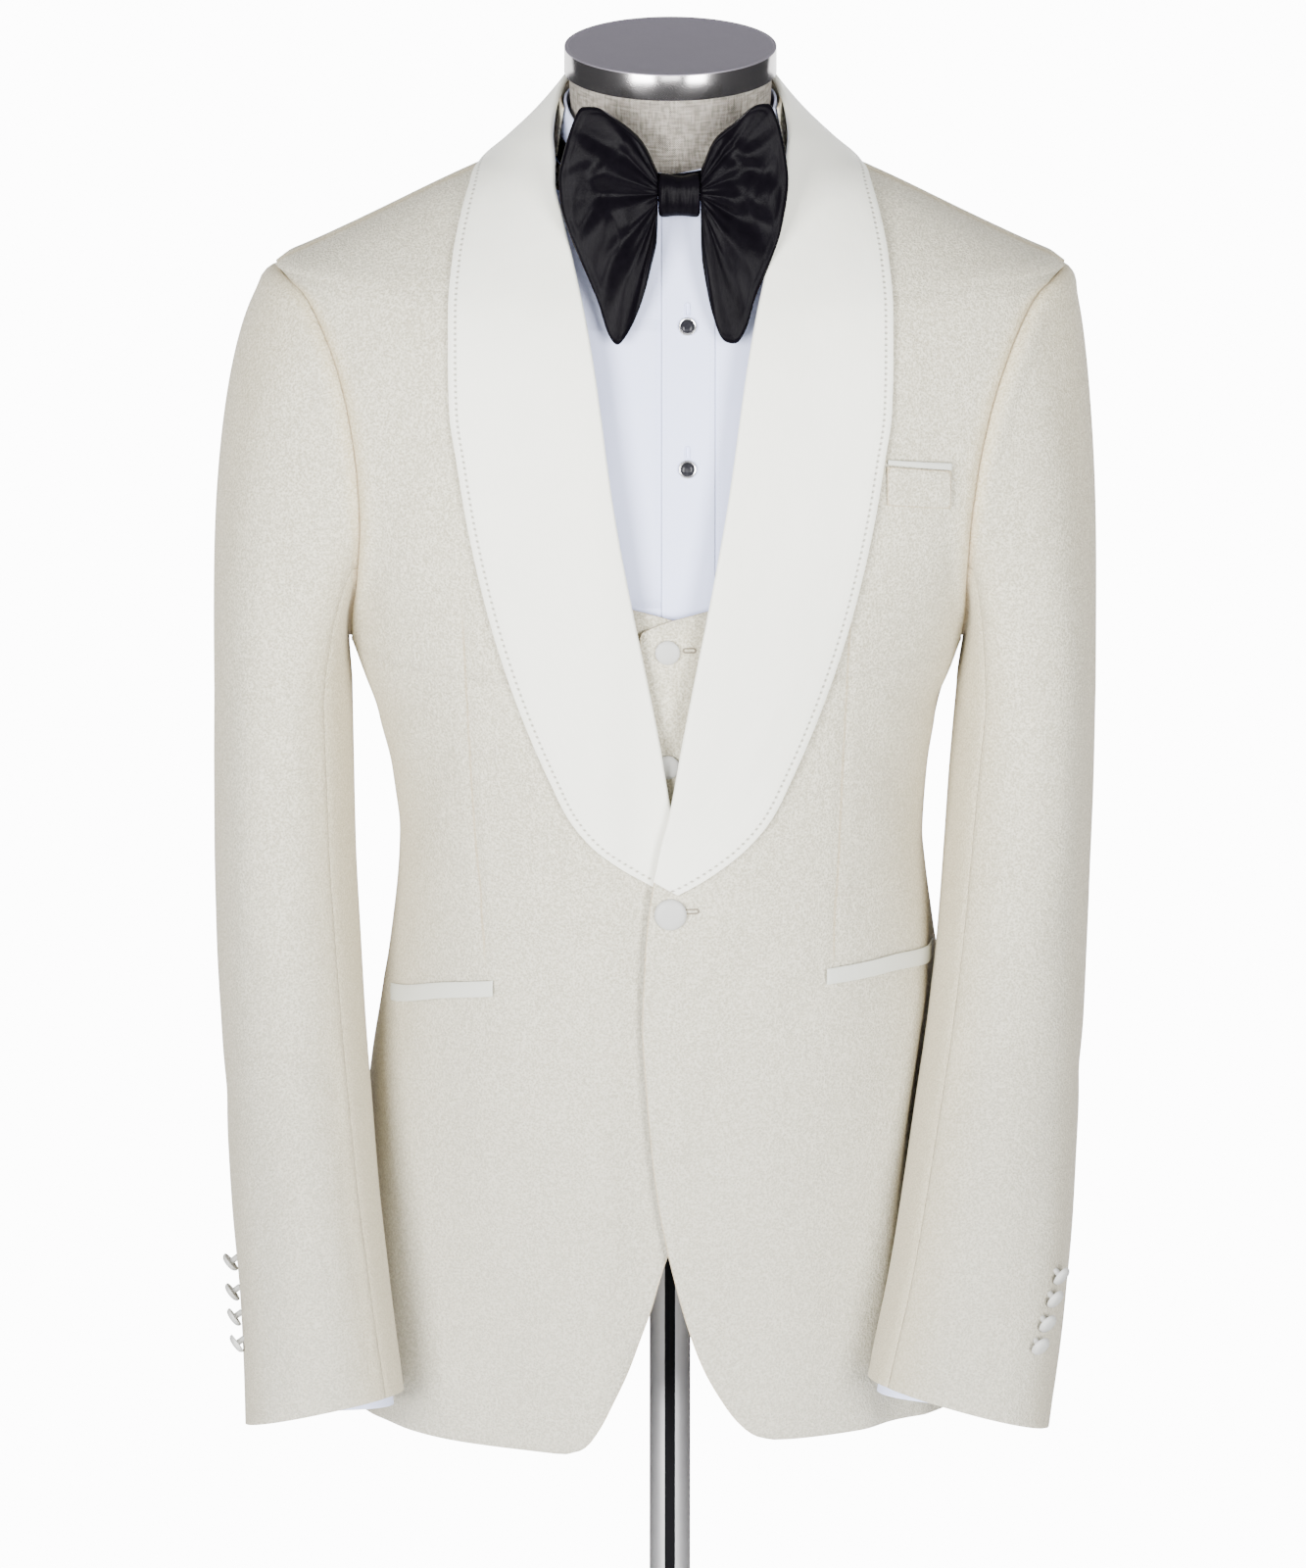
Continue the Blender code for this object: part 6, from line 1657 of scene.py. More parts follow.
# ---- dress form and stand ----
@dataclass
class DressForm:
    """Padded linen torso whose neck shows above the collar."""

    finish: "Finish"
    slack: float = 7.0 * MM
    shoulder_slack: float = 1.5 * MM
    bottom: float = 872 * MM
    split: float = 1400 * MM
    neck_top: float = 1549 * MM
    neck_radius: float = 60.5 * MM
    cap_tilt: float = math.radians(5.5)

    def build(self) -> None:
        """Build the torso as one closed padded piece."""
        z = np.concatenate([np.linspace(self.bottom, self.split, 70)[:-1],
                            np.linspace(self.split, self.neck_top, 60)])[:, None]
        turn = np.linspace(-180, 180, 129)[None, :-1]
        slack = self.slack * (1 - smoothstep(1475 * MM, 1494 * MM, z))
        slack = slack + self.shoulder_slack * smoothstep(1380 * MM, 1400 * MM, z) * (
            1 - smoothstep(1422 * MM, 1440 * MM, z))
        points = TORSO.point(turn, z + 0 * turn, -slack + 0 * turn)
        points[..., 2] = z
        points[..., 2] += points[..., 1] * math.tan(self.cap_tilt) * smoothstep(1500 * MM, self.neck_top, z)
        pad("form_torso", "form_torso_skin", points, stack(self.neck_radius * np.radians(turn), z),
            Slot.LINEN, self.finish, 50)


class HardPiece:
    """A turned or pressed piece that is shaped in edit mode."""

    def __init__(self, name: str, radius: float, low: float, high: float, steps: int = 64) -> None:
        """Start from a cylinder.

        Args:
            name: name of the piece.
            radius: the cylinder's radius.
            low: its lowest z.
            high: its highest z.
            steps: its faces around.
        """
        select_only()
        bpy.ops.mesh.primitive_cylinder_add(vertices=steps, radius=radius, depth=high - low,
                                            location=(0, 0, (low + high) / 2))
        self.obj = bpy.context.object
        bpy.ops.object.transform_apply(location=True, rotation=True, scale=True)
        self.obj.name = self.obj.data.name = name
        self.low, self.high = low, high

    def edit(self, keep: Callable[[Vector], bool], faces: bool = True) -> None:
        """Enter edit mode with some faces or points selected.

        Args:
            keep: says of a face's middle, or of a point, whether it is selected.
            faces: False to select points.
        """
        bpy.ops.object.mode_set(mode="EDIT")
        bpy.ops.mesh.select_mode(type="FACE" if faces else "VERT")
        bpy.ops.mesh.select_all(action="DESELECT")
        shell = bmesh.from_edit_mesh(self.obj.data)
        for item in (shell.faces if faces else shell.verts):
            item.select_set(keep(item.calc_center_median() if faces else item.co))
        shell.select_flush_mode()
        bmesh.update_edit_mesh(self.obj.data)

    def done(self) -> None:
        """Leave edit mode."""
        bpy.ops.object.mode_set(mode="OBJECT")

    def step(self, top: bool, inset: float, rise: float, upright: bool = False) -> None:
        """Inset an end face and move it, so that the new ring slopes or stands upright.

        Args:
            top: the top face rather than the bottom one.
            inset: how far the ring reaches inwards.
            rise: how far the inner face moves up.
            upright: move it after the inset, with new walls.
        """
        level = self.high if top else self.low
        self.edit(lambda middle: abs(middle.z - level) < 1e-6 and middle.xy.length < 1e-5)
        bpy.ops.mesh.inset(thickness=inset, depth=0)
        if not upright:
            bpy.ops.transform.translate(value=(0, 0, rise))
        elif rise:
            bpy.ops.mesh.extrude_region_move(TRANSFORM_OT_translate={"value": (0, 0, rise)})
        if top:
            self.high += rise
        else:
            self.low += rise
        self.done()

    def soften(self, width: float, segments: int = 3, angle: float = 30) -> None:
        """Round its edges and shade it smooth.

        Args:
            width: how wide the bevel is.
            segments: its faces across.
            angle: edges sharper than this, in degrees, are rounded.
        """
        bevel(self.obj, width, segments, angle)
        apply_modifiers(self.obj)
        bpy.ops.object.shade_smooth_by_angle(angle=math.radians(40))

    def copy(self, name: str, place: Matrix, sharp: float) -> bpy.types.Object:
        """A copy with its own mesh.

        Args:
            name: the copy's name.
            place: where it goes.
            sharp: angle in degrees beyond which an edge stays sharp.

        Returns:
            The new object.
        """
        mesh = self.obj.data.copy()
        mesh.transform(place)
        mesh.name = name
        return put_in(name, mesh, sharp)


@dataclass
class Stand:
    """Neck cap, pole with a slot down its front whose near-black floor is a painted dark reflection, socket
    and round foot.
    """

    steel: "Finish"
    cap_steel: "Finish"
    cap_radius: float = 60.5 * MM
    cap_height: float = 15.5 * MM
    cap_low: float = 1549.3 * MM
    cap_tilt: float = math.radians(5.5)
    pole_radius: float = 12 * MM
    groove: tuple[float, float] = (6.2 * MM, 1.6 * MM)
    foot_radius: float = 165 * MM
    foot_height: float = 10 * MM
    socket_radius: float = 26 * MM
    socket_height: float = 34 * MM
    flange: float = 4 * MM
    wall: float = 4 * MM

    def cap(self) -> None:
        """Pressed cap with a matt top inside a narrow rim."""
        piece = HardPiece("neck_cap_disc", self.cap_radius, self.cap_low, self.cap_low + self.cap_height, 128)
        piece.step(True, 1.6 * MM, 0.0)
        piece.step(True, 0.5 * MM, -0.35 * MM)
        piece.edit(lambda middle: True)
        bpy.ops.transform.rotate(value=-self.cap_tilt, orient_axis="X", center_override=(0, 0, self.cap_low))
        piece.done()
        piece.soften(0.7 * MM)
        finish_piece(piece.obj, Slot.STEEL, self.cap_steel, ("neck_cap",))

    def pole(self) -> None:
        """Round tube with a slot down its front."""
        low, high = self.foot_height + SEAM_GAP, 872 * MM - SEAM_GAP
        piece = HardPiece("pole_tube", self.pole_radius, low, high, int(360 / POLE_STEP))
        radius, (width, depth) = self.pole_radius, self.groove
        half, floor = width / 2, depth - radius * math.cos(math.asin(width / 2 / radius))
        for sign in (-1, 0, 1):
            x, y = radius * sine(sign * POLE_STEP), -radius * cosine(sign * POLE_STEP)
            piece.edit(lambda co: abs(co.x - x) < 1e-5 and abs(co.y - y) < 1e-5, faces=False)
            bpy.ops.transform.translate(value=(sign * (half - 0.05 * MM) - x, floor - y, 0))
            piece.done()
        bpy.ops.object.shade_smooth_by_angle(angle=math.radians(40))
        finish_piece(piece.obj, Slot.STEEL, self.steel, ("pole",))

    def socket(self) -> None:
        """Flanged collar round the pole's lower end."""
        low = self.foot_height + SEAM_GAP
        piece = HardPiece("pole_socket_ring", self.socket_radius, low, low + self.flange, 64)
        neck = self.pole_radius + SEAM_GAP + self.wall
        piece.step(True, self.socket_radius - neck - 4 * MM, 0.0)
        piece.step(True, 4 * MM, self.flange)
        piece.step(True, 0.0001 * MM, self.socket_height - 2 * self.flange, upright=True)
        piece.step(True, self.wall, 0.0, upright=True)
        piece.step(False, self.socket_radius - self.pole_radius - SEAM_GAP, 0.0, upright=True)
        piece.edit(lambda middle: middle.xy.length < 1e-5)
        bpy.ops.mesh.bridge_edge_loops()
        piece.done()
        piece.soften(0.5 * MM)
        finish_piece(piece.obj, Slot.STEEL, self.steel, ("pole_socket",))

    def foot(self) -> None:
        """Round foot with a soft rim and a shallow step."""
        piece = HardPiece("base_plate_disc", self.foot_radius, 0, self.foot_height, 128)
        piece.step(True, 6 * MM, 0.0)
        piece.soften(1.5 * MM)
        finish_piece(piece.obj, Slot.STEEL, self.steel, ("base_plate",))

    def build(self) -> None:
        """Build the four steel pieces."""
        for make in (self.foot, self.socket, self.pole, self.cap):
            make()


# ---- buttons and studs ----
def stand_on(centre: Array, outward_axis: Array, spin: float = 0.0) -> Matrix:
    """Place of a button or stud.

    Args:
        centre: where its origin goes.
        outward_axis: where its +Z points.
        spin: turn about that axis, in radians.

    Returns:
        The transform.
    """
    axis = Vector(outward_axis).normalized()
    turn = axis.to_track_quat("Z", "Y").to_matrix().to_4x4()
    return Matrix.Translation(Vector(centre)) @ turn @ Matrix.Rotation(spin, 4, "Z")


@dataclass
class Buttons:
    """Covered buttons, their worked holes, and the shirt's studs."""

    satin: "Finish"
    thread: "Finish"
    stud_finish: "Finish"
    shirting: "Finish"
    jacket: tuple[float, float, float] = (0.0, 1086 * MM, 10.2 * MM)
    waistcoat_heights: tuple[float, ...] = (1239, 1172, 1106, 1040)
    waistcoat_x: float = -1.7 * MM
    waistcoat_radius: float = 7.8 * MM
    cuff_radius: float = 6.6 * MM
    cuffs: dict[Side, tuple[tuple[float, float], ...]] = by_side(
        # rise above the cuff's edge in mm, angle round the sleeve
        ((48, 41), (60.5, 44.5), (74, 49), (86.5, 53)),
        ((48.5, 74), (62.5, 80), (75.5, 87), (91, 92)))
    droop: float = math.radians(34)
    studs: tuple[float, ...] = (1419, 1341)
    stud_x: float = 9.5 * MM
    hole_radius: float = 1.2 * MM
    hole_thread: float = 0.45 * MM
    seated: float = 0.3 * MM

    def covered(self, radius: float, dome: float, shank: float, steps: int = 40) -> HardPiece:
        """Covered button: a shank, a flat underside with the cloth's gathered ring, a domed face.

        Args:
            radius: the button's radius.
            dome: height of its face.
            shank: length of its shank.
            steps: edges round it.

        Returns:
            The pattern, to be copied and then removed.
        """
        piece = HardPiece("button_pattern", radius * 0.9, shank, shank + 0.25 * MM, steps)
        piece.step(True, -radius * 0.1, 0.75 * MM)
        for inset, rise in ((0.045, 0.28), (0.075, 0.26), (0.12, 0.22), (0.2, 0.16), (0.3, 0.08)):
            piece.step(True, radius * inset, rise * dome)
        piece.step(False, radius * 0.45, 0.12 * MM)
        piece.step(False, radius * 0.18, -0.12 * MM)
        piece.step(False, 0.0001 * MM, -shank, upright=True)
        piece.soften(0.18 * MM, 2, 35)
        # painted shadow: this mark darkens the button's rim, standing in for the shade round its edge
        reach = np.array([vert.co.xy.length for vert in piece.obj.data.vertices]) / radius
        add_marks(piece.obj.data, {"turned": smoothstep(0.90, 0.96, reach)})
        return piece

    def place(self, piece: HardPiece, name: str, centre: Array, axis: Array, spin: float) -> None:
        """Put a copy of a button on the cloth."""
        obj = piece.copy(name + "_cap", stand_on(centre, axis, spin), 50)
        finish_piece(obj, Slot.SATIN_IVORY, self.satin, (name,))

    def hole(self, name: str, centre: Array, axis: Array, length: float, shirt: bool = False) -> None:
        """Worked buttonhole: a long ring of thread lying on the cloth.

        Args:
            name: the piece's name.
            centre: middle of the hole.
            axis: the cloth's outward direction.
            length: length of the hole.
            shirt: True for the shirt's holes, which run up and down.
        """
        select_only()
        bpy.ops.mesh.primitive_torus_add(major_radius=self.hole_radius, minor_radius=self.hole_thread,
                                         major_segments=36, minor_segments=8)
        obj = bpy.context.object
        obj.name = obj.data.name = name
        bpy.ops.object.mode_set(mode="EDIT")
        bpy.ops.mesh.select_all(action="DESELECT")
        shell = bmesh.from_edit_mesh(obj.data)
        for vert in shell.verts:
            vert.select_set(vert.co.x > 1e-6)
        bmesh.update_edit_mesh(obj.data)
        stretch = length - 2 * self.hole_radius
        bpy.ops.transform.translate(value=(stretch, 0, 0))
        bpy.ops.object.mode_set(mode="OBJECT")
        side = unit(np.cross((0, 0, 1.0), axis))
        along = np.cross(axis, side) if shirt else side
        lie = Matrix((along, np.cross(axis, along), axis)).transposed().to_4x4()
        obj.data.transform(Matrix.Translation(Vector(centre)) @ lie
                           @ Matrix.Translation((-stretch / 2, 0, 0.1 * MM)))
        obj.data.shade_smooth()
        # the dark thread finish paints the shade inside the hole
        finish_piece(obj, Slot.SHIRTING if shirt else Slot.SATIN_IVORY,
                     self.shirting if shirt else self.thread, ())

    def cuff_place(self, side: Side, rise: float, angle: float) -> tuple[Array, Array]:
        """Where a cuff button sits.

        Args:
            side: the wearer's side.
            rise: mm above the cuff's edge.
            angle: degrees round the sleeve.

        Returns:
            Its centre and its drooping axis.
        """
        shape = SleeveShape(side)
        share = 1 - rise * MM / (shape.top - shape.bottom)
        near = lambda a, s: shape.point(np.array(float(a)), np.array(float(s)))
        here = near(angle, share)
        normal = unit(np.cross(near(angle + 3, share) - near(angle - 3, share),
                               near(angle, share + 0.01) - near(angle, share - 0.01)))
        centre = np.array((side * (shape.columns[0](here[2]) + shape.columns[1](here[2])) / 2,
                           float(shape.columns[2](here[2])), here[2]))
        normal = normal * np.sign(np.dot(normal, here - centre))
        down = unit(np.array((0, 0, -1.0)) + normal * normal[2])
        return here - normal * self.seated, normal * math.cos(self.droop) + down * math.sin(self.droop)

    def stud(self) -> HardPiece:
        """Stud: black dome in a silver ring.

        Returns:
            The pattern, to be copied and then removed.
        """
        piece = HardPiece("stud_pattern", 5.2 * MM, 0.3 * MM, 1.5 * MM, 40)
        piece.step(True, 0.5 * MM, 0.45 * MM)
        piece.step(True, 0.5 * MM, -0.3 * MM)
        for inset, rise in ((0.35, 0.45), (0.6, 0.45), (0.9, 0.35), (1.1, 0.15)):
            piece.step(True, inset * MM, rise * MM)
        piece.soften(0.12 * MM, 2, 35)
        radius = np.array([vert.co.xy.length for vert in piece.obj.data.vertices])
        add_marks(piece.obj.data, {"ring": (radius > 4.1 * MM).astype(float)})
        return piece

    def build(self) -> None:
        """Place every button, hole and stud."""
        x, z, radius = self.jacket
        piece = self.covered(radius, 1.9 * MM, 0.9 * MM, 56)
        point, normal = JACKET.spot(x, z)
        self.place(piece, "jacket_button", point - normal * self.seated, normal, 0.2)
        self.hole("jacket_buttonhole", *JACKET.spot(11.5 * MM, z + 1.5 * MM, 0.2 * MM), 9 * MM)
        bpy.data.objects.remove(piece.obj)
        piece = self.covered(self.waistcoat_radius, 1.2 * MM, 0.9 * MM)
        for number, height in enumerate(self.waistcoat_heights, 1):
            z = height * MM
            self.place(piece, f"waistcoat_button_{number}",
                       *TORSO.spot(self.waistcoat_x, z, 11.1 * MM), 0.3 * number)
            self.hole(f"waistcoat_hole_{number}", *TORSO.spot(10.2 * MM, z, 11.4 * MM, 1 * MM), 7 * MM)
        bpy.data.objects.remove(piece.obj)
        piece = self.covered(self.cuff_radius, 2.2 * MM, 4.8 * MM, 36)
        for side in Side:
            for number, (rise, angle) in enumerate(self.cuffs[side], 1):
                self.place(piece, f"cuff_button_{side.label}_{number}", *self.cuff_place(side, rise, angle),
                           0.4 * number)
        bpy.data.objects.remove(piece.obj)
        piece = self.stud()
        for number, height in enumerate(self.studs, 1):
            z = height * MM
            place = stand_on(*TORSO.spot(self.stud_x, z, 1.9 * MM))
            obj = piece.copy(f"shirt_stud_{number}_gem", place, 40)
            finish_piece(obj, Slot.STUD, self.stud_finish, (f"shirt_stud_{number}",))
            self.hole(f"stud_hole_{number}", *TORSO.spot(self.stud_x, z + 9 * MM, 2.1 * MM), 7.5 * MM,
                      shirt=True)
        bpy.data.objects.remove(piece.obj)


# ---- materials ----
def operator(operation: str, reflected: bool = False) -> Callable[["Value", "Value | float"], "Value"]:
    """Make an operator's method.

    Args:
        operation: the Math node's operation.
        reflected: whether the other number comes first.

    Returns:
        A method that adds the Math node.
    """
    def apply(this: "Value", other: "Value | float") -> "Value":
        """Join both numbers."""
        return this.math(operation, *((other, this) if reflected else (this, other)))
    return apply


class Value:
    """A number inside a material, carried by an output socket, with the usual operators."""

    def __init__(self, graph: "Graph", socket: bpy.types.NodeSocket) -> None:
        """Wrap a socket.

        Args:
            graph: the graph that it lives in.
            socket: the output socket that carries it.
        """
        self.graph, self.socket = graph, socket

    def math(self, operation: str, *inputs: "Value | float") -> "Value":
        """One Math node."""
        return self.graph.node("ShaderNodeMath", dict(enumerate(inputs)), operation=operation)

    __add__, __radd__ = operator("ADD"), operator("ADD", reflected=True)
    __sub__, __rsub__ = operator("SUBTRACT"), operator("SUBTRACT", reflected=True)
    __mul__, __rmul__ = operator("MULTIPLY"), operator("MULTIPLY", reflected=True)
    __pow__, __rpow__ = operator("POWER"), operator("POWER", reflected=True)

    def step(self, low: float, high: float) -> "Value":
        """Soft rise from 0 at low to 1 at high; falls when low is above high."""
        return self.graph.node("ShaderNodeMapRange", {"Value": self, "From Min": low, "From Max": high},
                               interpolation_type="SMOOTHSTEP")

    def near(self, level: float, far: float, close: float) -> "Value":
        """Rise from 0 to 1 where the distance from a level falls from far to close."""
        return (self - level).size().step(far, close)

    def size(self) -> "Value":
        """The number without its sign."""
        return self.math("ABSOLUTE", self)


Shade = tuple[float, float, float]


class Graph:
    """One material's nodes: coordinates, textures, colour mixes and its surface."""

    def __init__(self, name: str) -> None:
        """Start an empty material.

        Args:
            name: name of the material.
        """
        self.material = bpy.data.materials.new(name)
        self.material.use_nodes = True
        self.tree = self.material.node_tree
        self.tree.nodes.clear()
        out = self.tree.nodes.new("ShaderNodeOutputMaterial")
        self.surface = self.tree.nodes.new("ShaderNodeBsdfPrincipled")
        self.tree.links.new(self.surface.outputs[0], out.inputs[0])
        self.place = self.node("ShaderNodeTexCoord", output="Object")
        self.threads = self.node("ShaderNodeUVMap", uv_map="threads")

    def plug(self, socket: bpy.types.NodeSocket, value: "Value | float | Shade") -> None:
        """Link or set one input.

        Args:
            socket: the input.
            value: a socket to link, or a number or colour to set.
        """
        if isinstance(value, Value):
            self.tree.links.new(value.socket, socket)
        elif isinstance(value, tuple):
            socket.default_value = (*value, 1.0) if len(socket.default_value) == 4 else value
        else:
            socket.default_value = value

    def node(self, kind: str, inputs: dict | None = None, output: int | str = 0, **settings) -> Value:
        """Add a node.

        Args:
            kind: the node's type.
            inputs: values or sockets by input name or number.
            output: the output to hand back.
            settings: the node's own properties.

        Returns:
            The chosen output.
        """
        made = self.tree.nodes.new(kind)
        for key, value in settings.items():
            setattr(made, key, value)
        for key, value in (inputs or {}).items():
            self.plug(made.inputs[key], value)
        return Value(self, made.outputs[output])

    def mark(self, name: str) -> Value:
        """Number stored on the piece's points."""
        return self.node("ShaderNodeAttribute", output="Fac", attribute_name=name)

    def axes(self, point: Value) -> tuple[Value, Value, Value]:
        """X, Y and Z of a point."""
        split = self.node("ShaderNodeSeparateXYZ", {0: point}).socket.node
        return tuple(Value(self, split.outputs[i]) for i in range(3))

    def noise(self, scale: float, detail: float = 2.0, rough: float = 0.5, at: Value | None = None) -> Value:
        """Noise from 0 to 1; scale in cycles per metre."""
        return self.node("ShaderNodeTexNoise", {"Vector": at or self.place, "Scale": scale, "Detail": detail,
                                                "Roughness": rough})

    def cells(self, scale: float, at: Value | None = None) -> Value:
        """Distance to the nearest cell's middle."""
        return self.node("ShaderNodeTexVoronoi", {"Vector": at or self.place, "Scale": scale})

    def streaks(self, at: Value, scale: Shade) -> Value:
        """Noise drawn out along an axis; scale in cycles per metre along each."""
        place = self.node("ShaderNodeMapping", {"Vector": at, "Scale": scale})
        return self.node("ShaderNodeTexNoise", {"Vector": place, "Scale": 1.0, "Detail": 2.0})

    def waves(self, along: Value, pitch: float) -> Value:
        """Wave from -1 to 1 with this pitch in metres."""
        return along.math("SINE", along * (2 * math.pi / pitch))

    def mix(self, a: "Value | Shade", b: "Value | Shade", share: "Value | float") -> Value:
        """Colour between a and b."""
        return self.node("ShaderNodeMix", {0: share, 6: a, 7: b}, 2, data_type="RGBA")

    def bump(self, height: Value) -> Value:
        """Normal from a height in millimetres."""
        return self.node("ShaderNodeBump", {"Height": height, "Distance": 1.0 * MM, "Strength": 1.0})

    def finish(self, **inputs: "Value | float | Shade") -> bpy.types.Material:
        """Set the surface's inputs.

        Args:
            inputs: values or sockets by input name, with _ for spaces.

        Returns:
            The material.
        """
        for key, value in inputs.items():
            self.plug(self.surface.inputs[key.replace("_", " ")], value)
        return self.material


class Finish:
    """A surface finish; one material is made and shared by its pieces."""

    made: dict["Finish", bpy.types.Material] = {}

    def material(self) -> bpy.types.Material:
        """Make the material at the first call and share it after that.

        Returns:
            The material.
        """
        if self not in Finish.made:
            Finish.made[self] = self.make(Graph(type(self).__name__))
        return Finish.made[self]

    def make(self, graph: Graph) -> bpy.types.Material:
        """Build the nodes.

        Args:
            graph: the new material's graph.

        Returns:
            The material.
        """
        raise NotImplementedError


@dataclass(frozen=True)
class JacketCloth(Finish):
    """Ivory wool crepe: fine mottled grain over a close weave, with painted warm shade at its sides, under
    the arms and at seams, painted shade lower down and painted shadow along its edges.
    """

    light: Shade = (0.69, 0.655, 0.53)
    dark: Shade = (0.35, 0.32, 0.225)
    # warm colour of the painted shade; the cloth's random flecks also take it
    warm: Shade = (0.60, 0.46, 0.20)
    # colour of the painted shade lower down
    shade: Shade = (0.34, 0.33, 0.29)
    dart_shade: Shade = (0.42, 0.31, 0.17)
    # colour of the painted shadow along edges and seams
    rim_shade: Shade = (0.40, 0.29, 0.16)
    thread: float = 0.62 * MM
    grain: float = 620.0

    def make(self, graph: Graph) -> bpy.types.Material:
        """Build the nodes.

        Args:
            graph: the new material's graph.

        Returns:
            The material.
        """
        u, v, _ = graph.axes(graph.threads)
        warp, weft = graph.waves(u, self.thread), graph.waves(v, self.thread * 1.1)
        crinkle = graph.noise(self.grain, 3.0, 0.62)
        fleck = graph.cells(self.grain * 1.35)
        broad = graph.noise(26.0, 3.0, 0.55)
        grain = crinkle * 0.65 + fleck * 0.35
        tone = grain.step(0.36, 0.68)
        speck = graph.noise(460.0, 2.0, 0.5).step(0.66, 0.76)
        colour = graph.mix(self.dark, self.light, tone * 0.85 + broad * 0.20 + 0.10)
        # painted shade: the cloth darkens towards the bottom, standing in for light that falls from above
        low = graph.axes(graph.place)[2].step(1300 * MM, 780 * MM)
        colour = graph.mix(colour, self.shade, low * 0.50)
        # painted warm shade where the mark is set; the speck flecks are the cloth's own mottling
        colour = graph.mix(colour, self.warm, graph.mark("warm") * 0.42 + speck * 0.12)
        dart = graph.mark("dart").near(1.0, 0.05, 0.015)
        colour = graph.mix(colour, self.dart_shade, dart * graph.mark("sewn") * 0.5)
        # painted shadow: a dark line along each piece's edges and seams
        rim = graph.mark("edge").step(1.1 * MM, 0.2 * MM)
        colour = graph.mix(colour, self.rim_shade, rim * 0.55)
        stitch_line = graph.mark("edge").near(1.2 * MM, 0.7 * MM, 0.0)
        height = grain * 1.05 + warp * weft * 0.04 - stitch_line * 0.06 + broad * 0.25
        return graph.finish(Base_Color=colour, Roughness=grain * 0.14 + 0.66, Normal=graph.bump(height),
                            Specular_IOR_Level=0.30, Sheen_Weight=0.18, Sheen_Roughness=0.5,
                            Sheen_Tint=(1.0, 0.96, 0.90))


@dataclass(frozen=True)
class IvorySatin(Finish):
    """Ivory satin with fine threads and a row of pick stitches inside its edge, with painted shadow in the
    stitches' dimples and round a covered button's rim.
    """

    light: Shade = (0.89, 0.89, 0.80)
    dark: Shade = (0.76, 0.76, 0.67)
    # colour of the painted shadow in the stitches and at a button's rim
    thread_shade: Shade = (0.36, 0.34, 0.27)
    thread: float = 0.42 * MM
    stitch_pitch: float = 3.4 * MM
    stitch_line: float = 4.2 * MM

    def make(self, graph: Graph) -> bpy.types.Material:
        """Build the nodes.

        Args:
            graph: the new material's graph.

        Returns:
            The material.
        """
        u, v, _ = graph.axes(graph.threads)
        weave = graph.waves(u, self.thread) * graph.waves(v + u * 0.3, self.thread * 1.7)
        slub = graph.streaks(graph.threads, (900.0, 60.0, 1.0))
        soft = graph.noise(34.0, 3.0, 0.5)
        edge, along = graph.mark("edge"), graph.mark("along")
        line = edge.near(self.stitch_line, 1.2 * MM, 0.2 * MM)
        prick = line * graph.waves(along, self.stitch_pitch).step(0.1, 0.8)
        colour = graph.mix(self.dark, self.light, slub * 0.35 + soft * 0.3 + 0.36)
        # painted shadow: dark dots in the stitches' dimples, a faint line along them, and a button's dark rim
        colour = graph.mix(colour, self.thread_shade, prick * 0.85 + line * 0.06 + graph.mark("turned"))
        height = weave * 0.012 + slub * 0.05 + soft * 0.9 - prick * 0.45 - line * 0.10
        return graph.finish(Base_Color=colour, Roughness=slub * 0.12 + 0.40, Normal=graph.bump(height),
                            Specular_IOR_Level=0.42, Sheen_Weight=0.10, Sheen_Roughness=0.4)


@dataclass(frozen=True)
class Shirting(Finish):
    """Cool white cotton poplin with a fine rib and stitching inside its edges."""

    light: Shade = (0.72, 0.77, 1.00)
    dark: Shade = (0.56, 0.62, 0.94)
    rib: float = 0.5 * MM
    stitch_pitch: float = 2.2 * MM
    stitch_line: float = 2.6 * MM

    def make(self, graph: Graph) -> bpy.types.Material:
        """Build the nodes.

        Args:
            graph: the new material's graph.

        Returns:
            The material.
        """
        u, v, _ = graph.axes(graph.threads)
        ribs, cross = graph.waves(u, self.rib), graph.waves(v, self.rib * 0.7)
        soft = graph.noise(40.0, 2.0, 0.5)
        edge, along = graph.mark("edge"), graph.mark("along")
        line = edge.near(self.stitch_line, 0.7 * MM, 0.1 * MM)
        stitch = line * graph.waves(along, self.stitch_pitch).step(-0.6, 0.2)
        tone = soft * 0.3 + 0.62 + ribs * 0.05 - line * 0.18 + stitch * 0.14
        colour = graph.mix(self.dark, self.light, tone)
        height = ribs * 0.02 + cross * 0.012 - line * 0.07 + stitch * 0.10 + soft * 0.3
        return graph.finish(Base_Color=colour, Roughness=ribs * 0.03 + 0.68, Normal=graph.bump(height),
                            Specular_IOR_Level=0.2, Sheen_Weight=0.03, Sheen_Roughness=0.5)


@dataclass(frozen=True)
class BlackSatin(Finish):
    """Black satin with a grey-violet sheen and a fine diagonal thread."""

    light: Shade = (0.0045, 0.0038, 0.0055)
    dark: Shade = (0.0012, 0.0010, 0.0016)
    thread: float = 0.38 * MM

    def make(self, graph: Graph) -> bpy.types.Material:
        """Build the nodes.

        Args:
            graph: the new material's graph.

        Returns:
            The material.
        """
        u, v, _ = graph.axes(graph.threads)
        twill = graph.waves(u + v * 0.45, self.thread)
        slub = graph.noise(260.0, 2.0, 0.5)
        soft = graph.noise(60.0, 2.0, 0.5)
        colour = graph.mix(self.dark, self.light, slub * 0.5 + soft * 0.4)
        height = twill * 0.010 + slub * 0.05 + soft * 0.25
        return graph.finish(Base_Color=colour, Roughness=slub * 0.10 + 0.20, Normal=graph.bump(height),
                            Specular_IOR_Level=0.026)


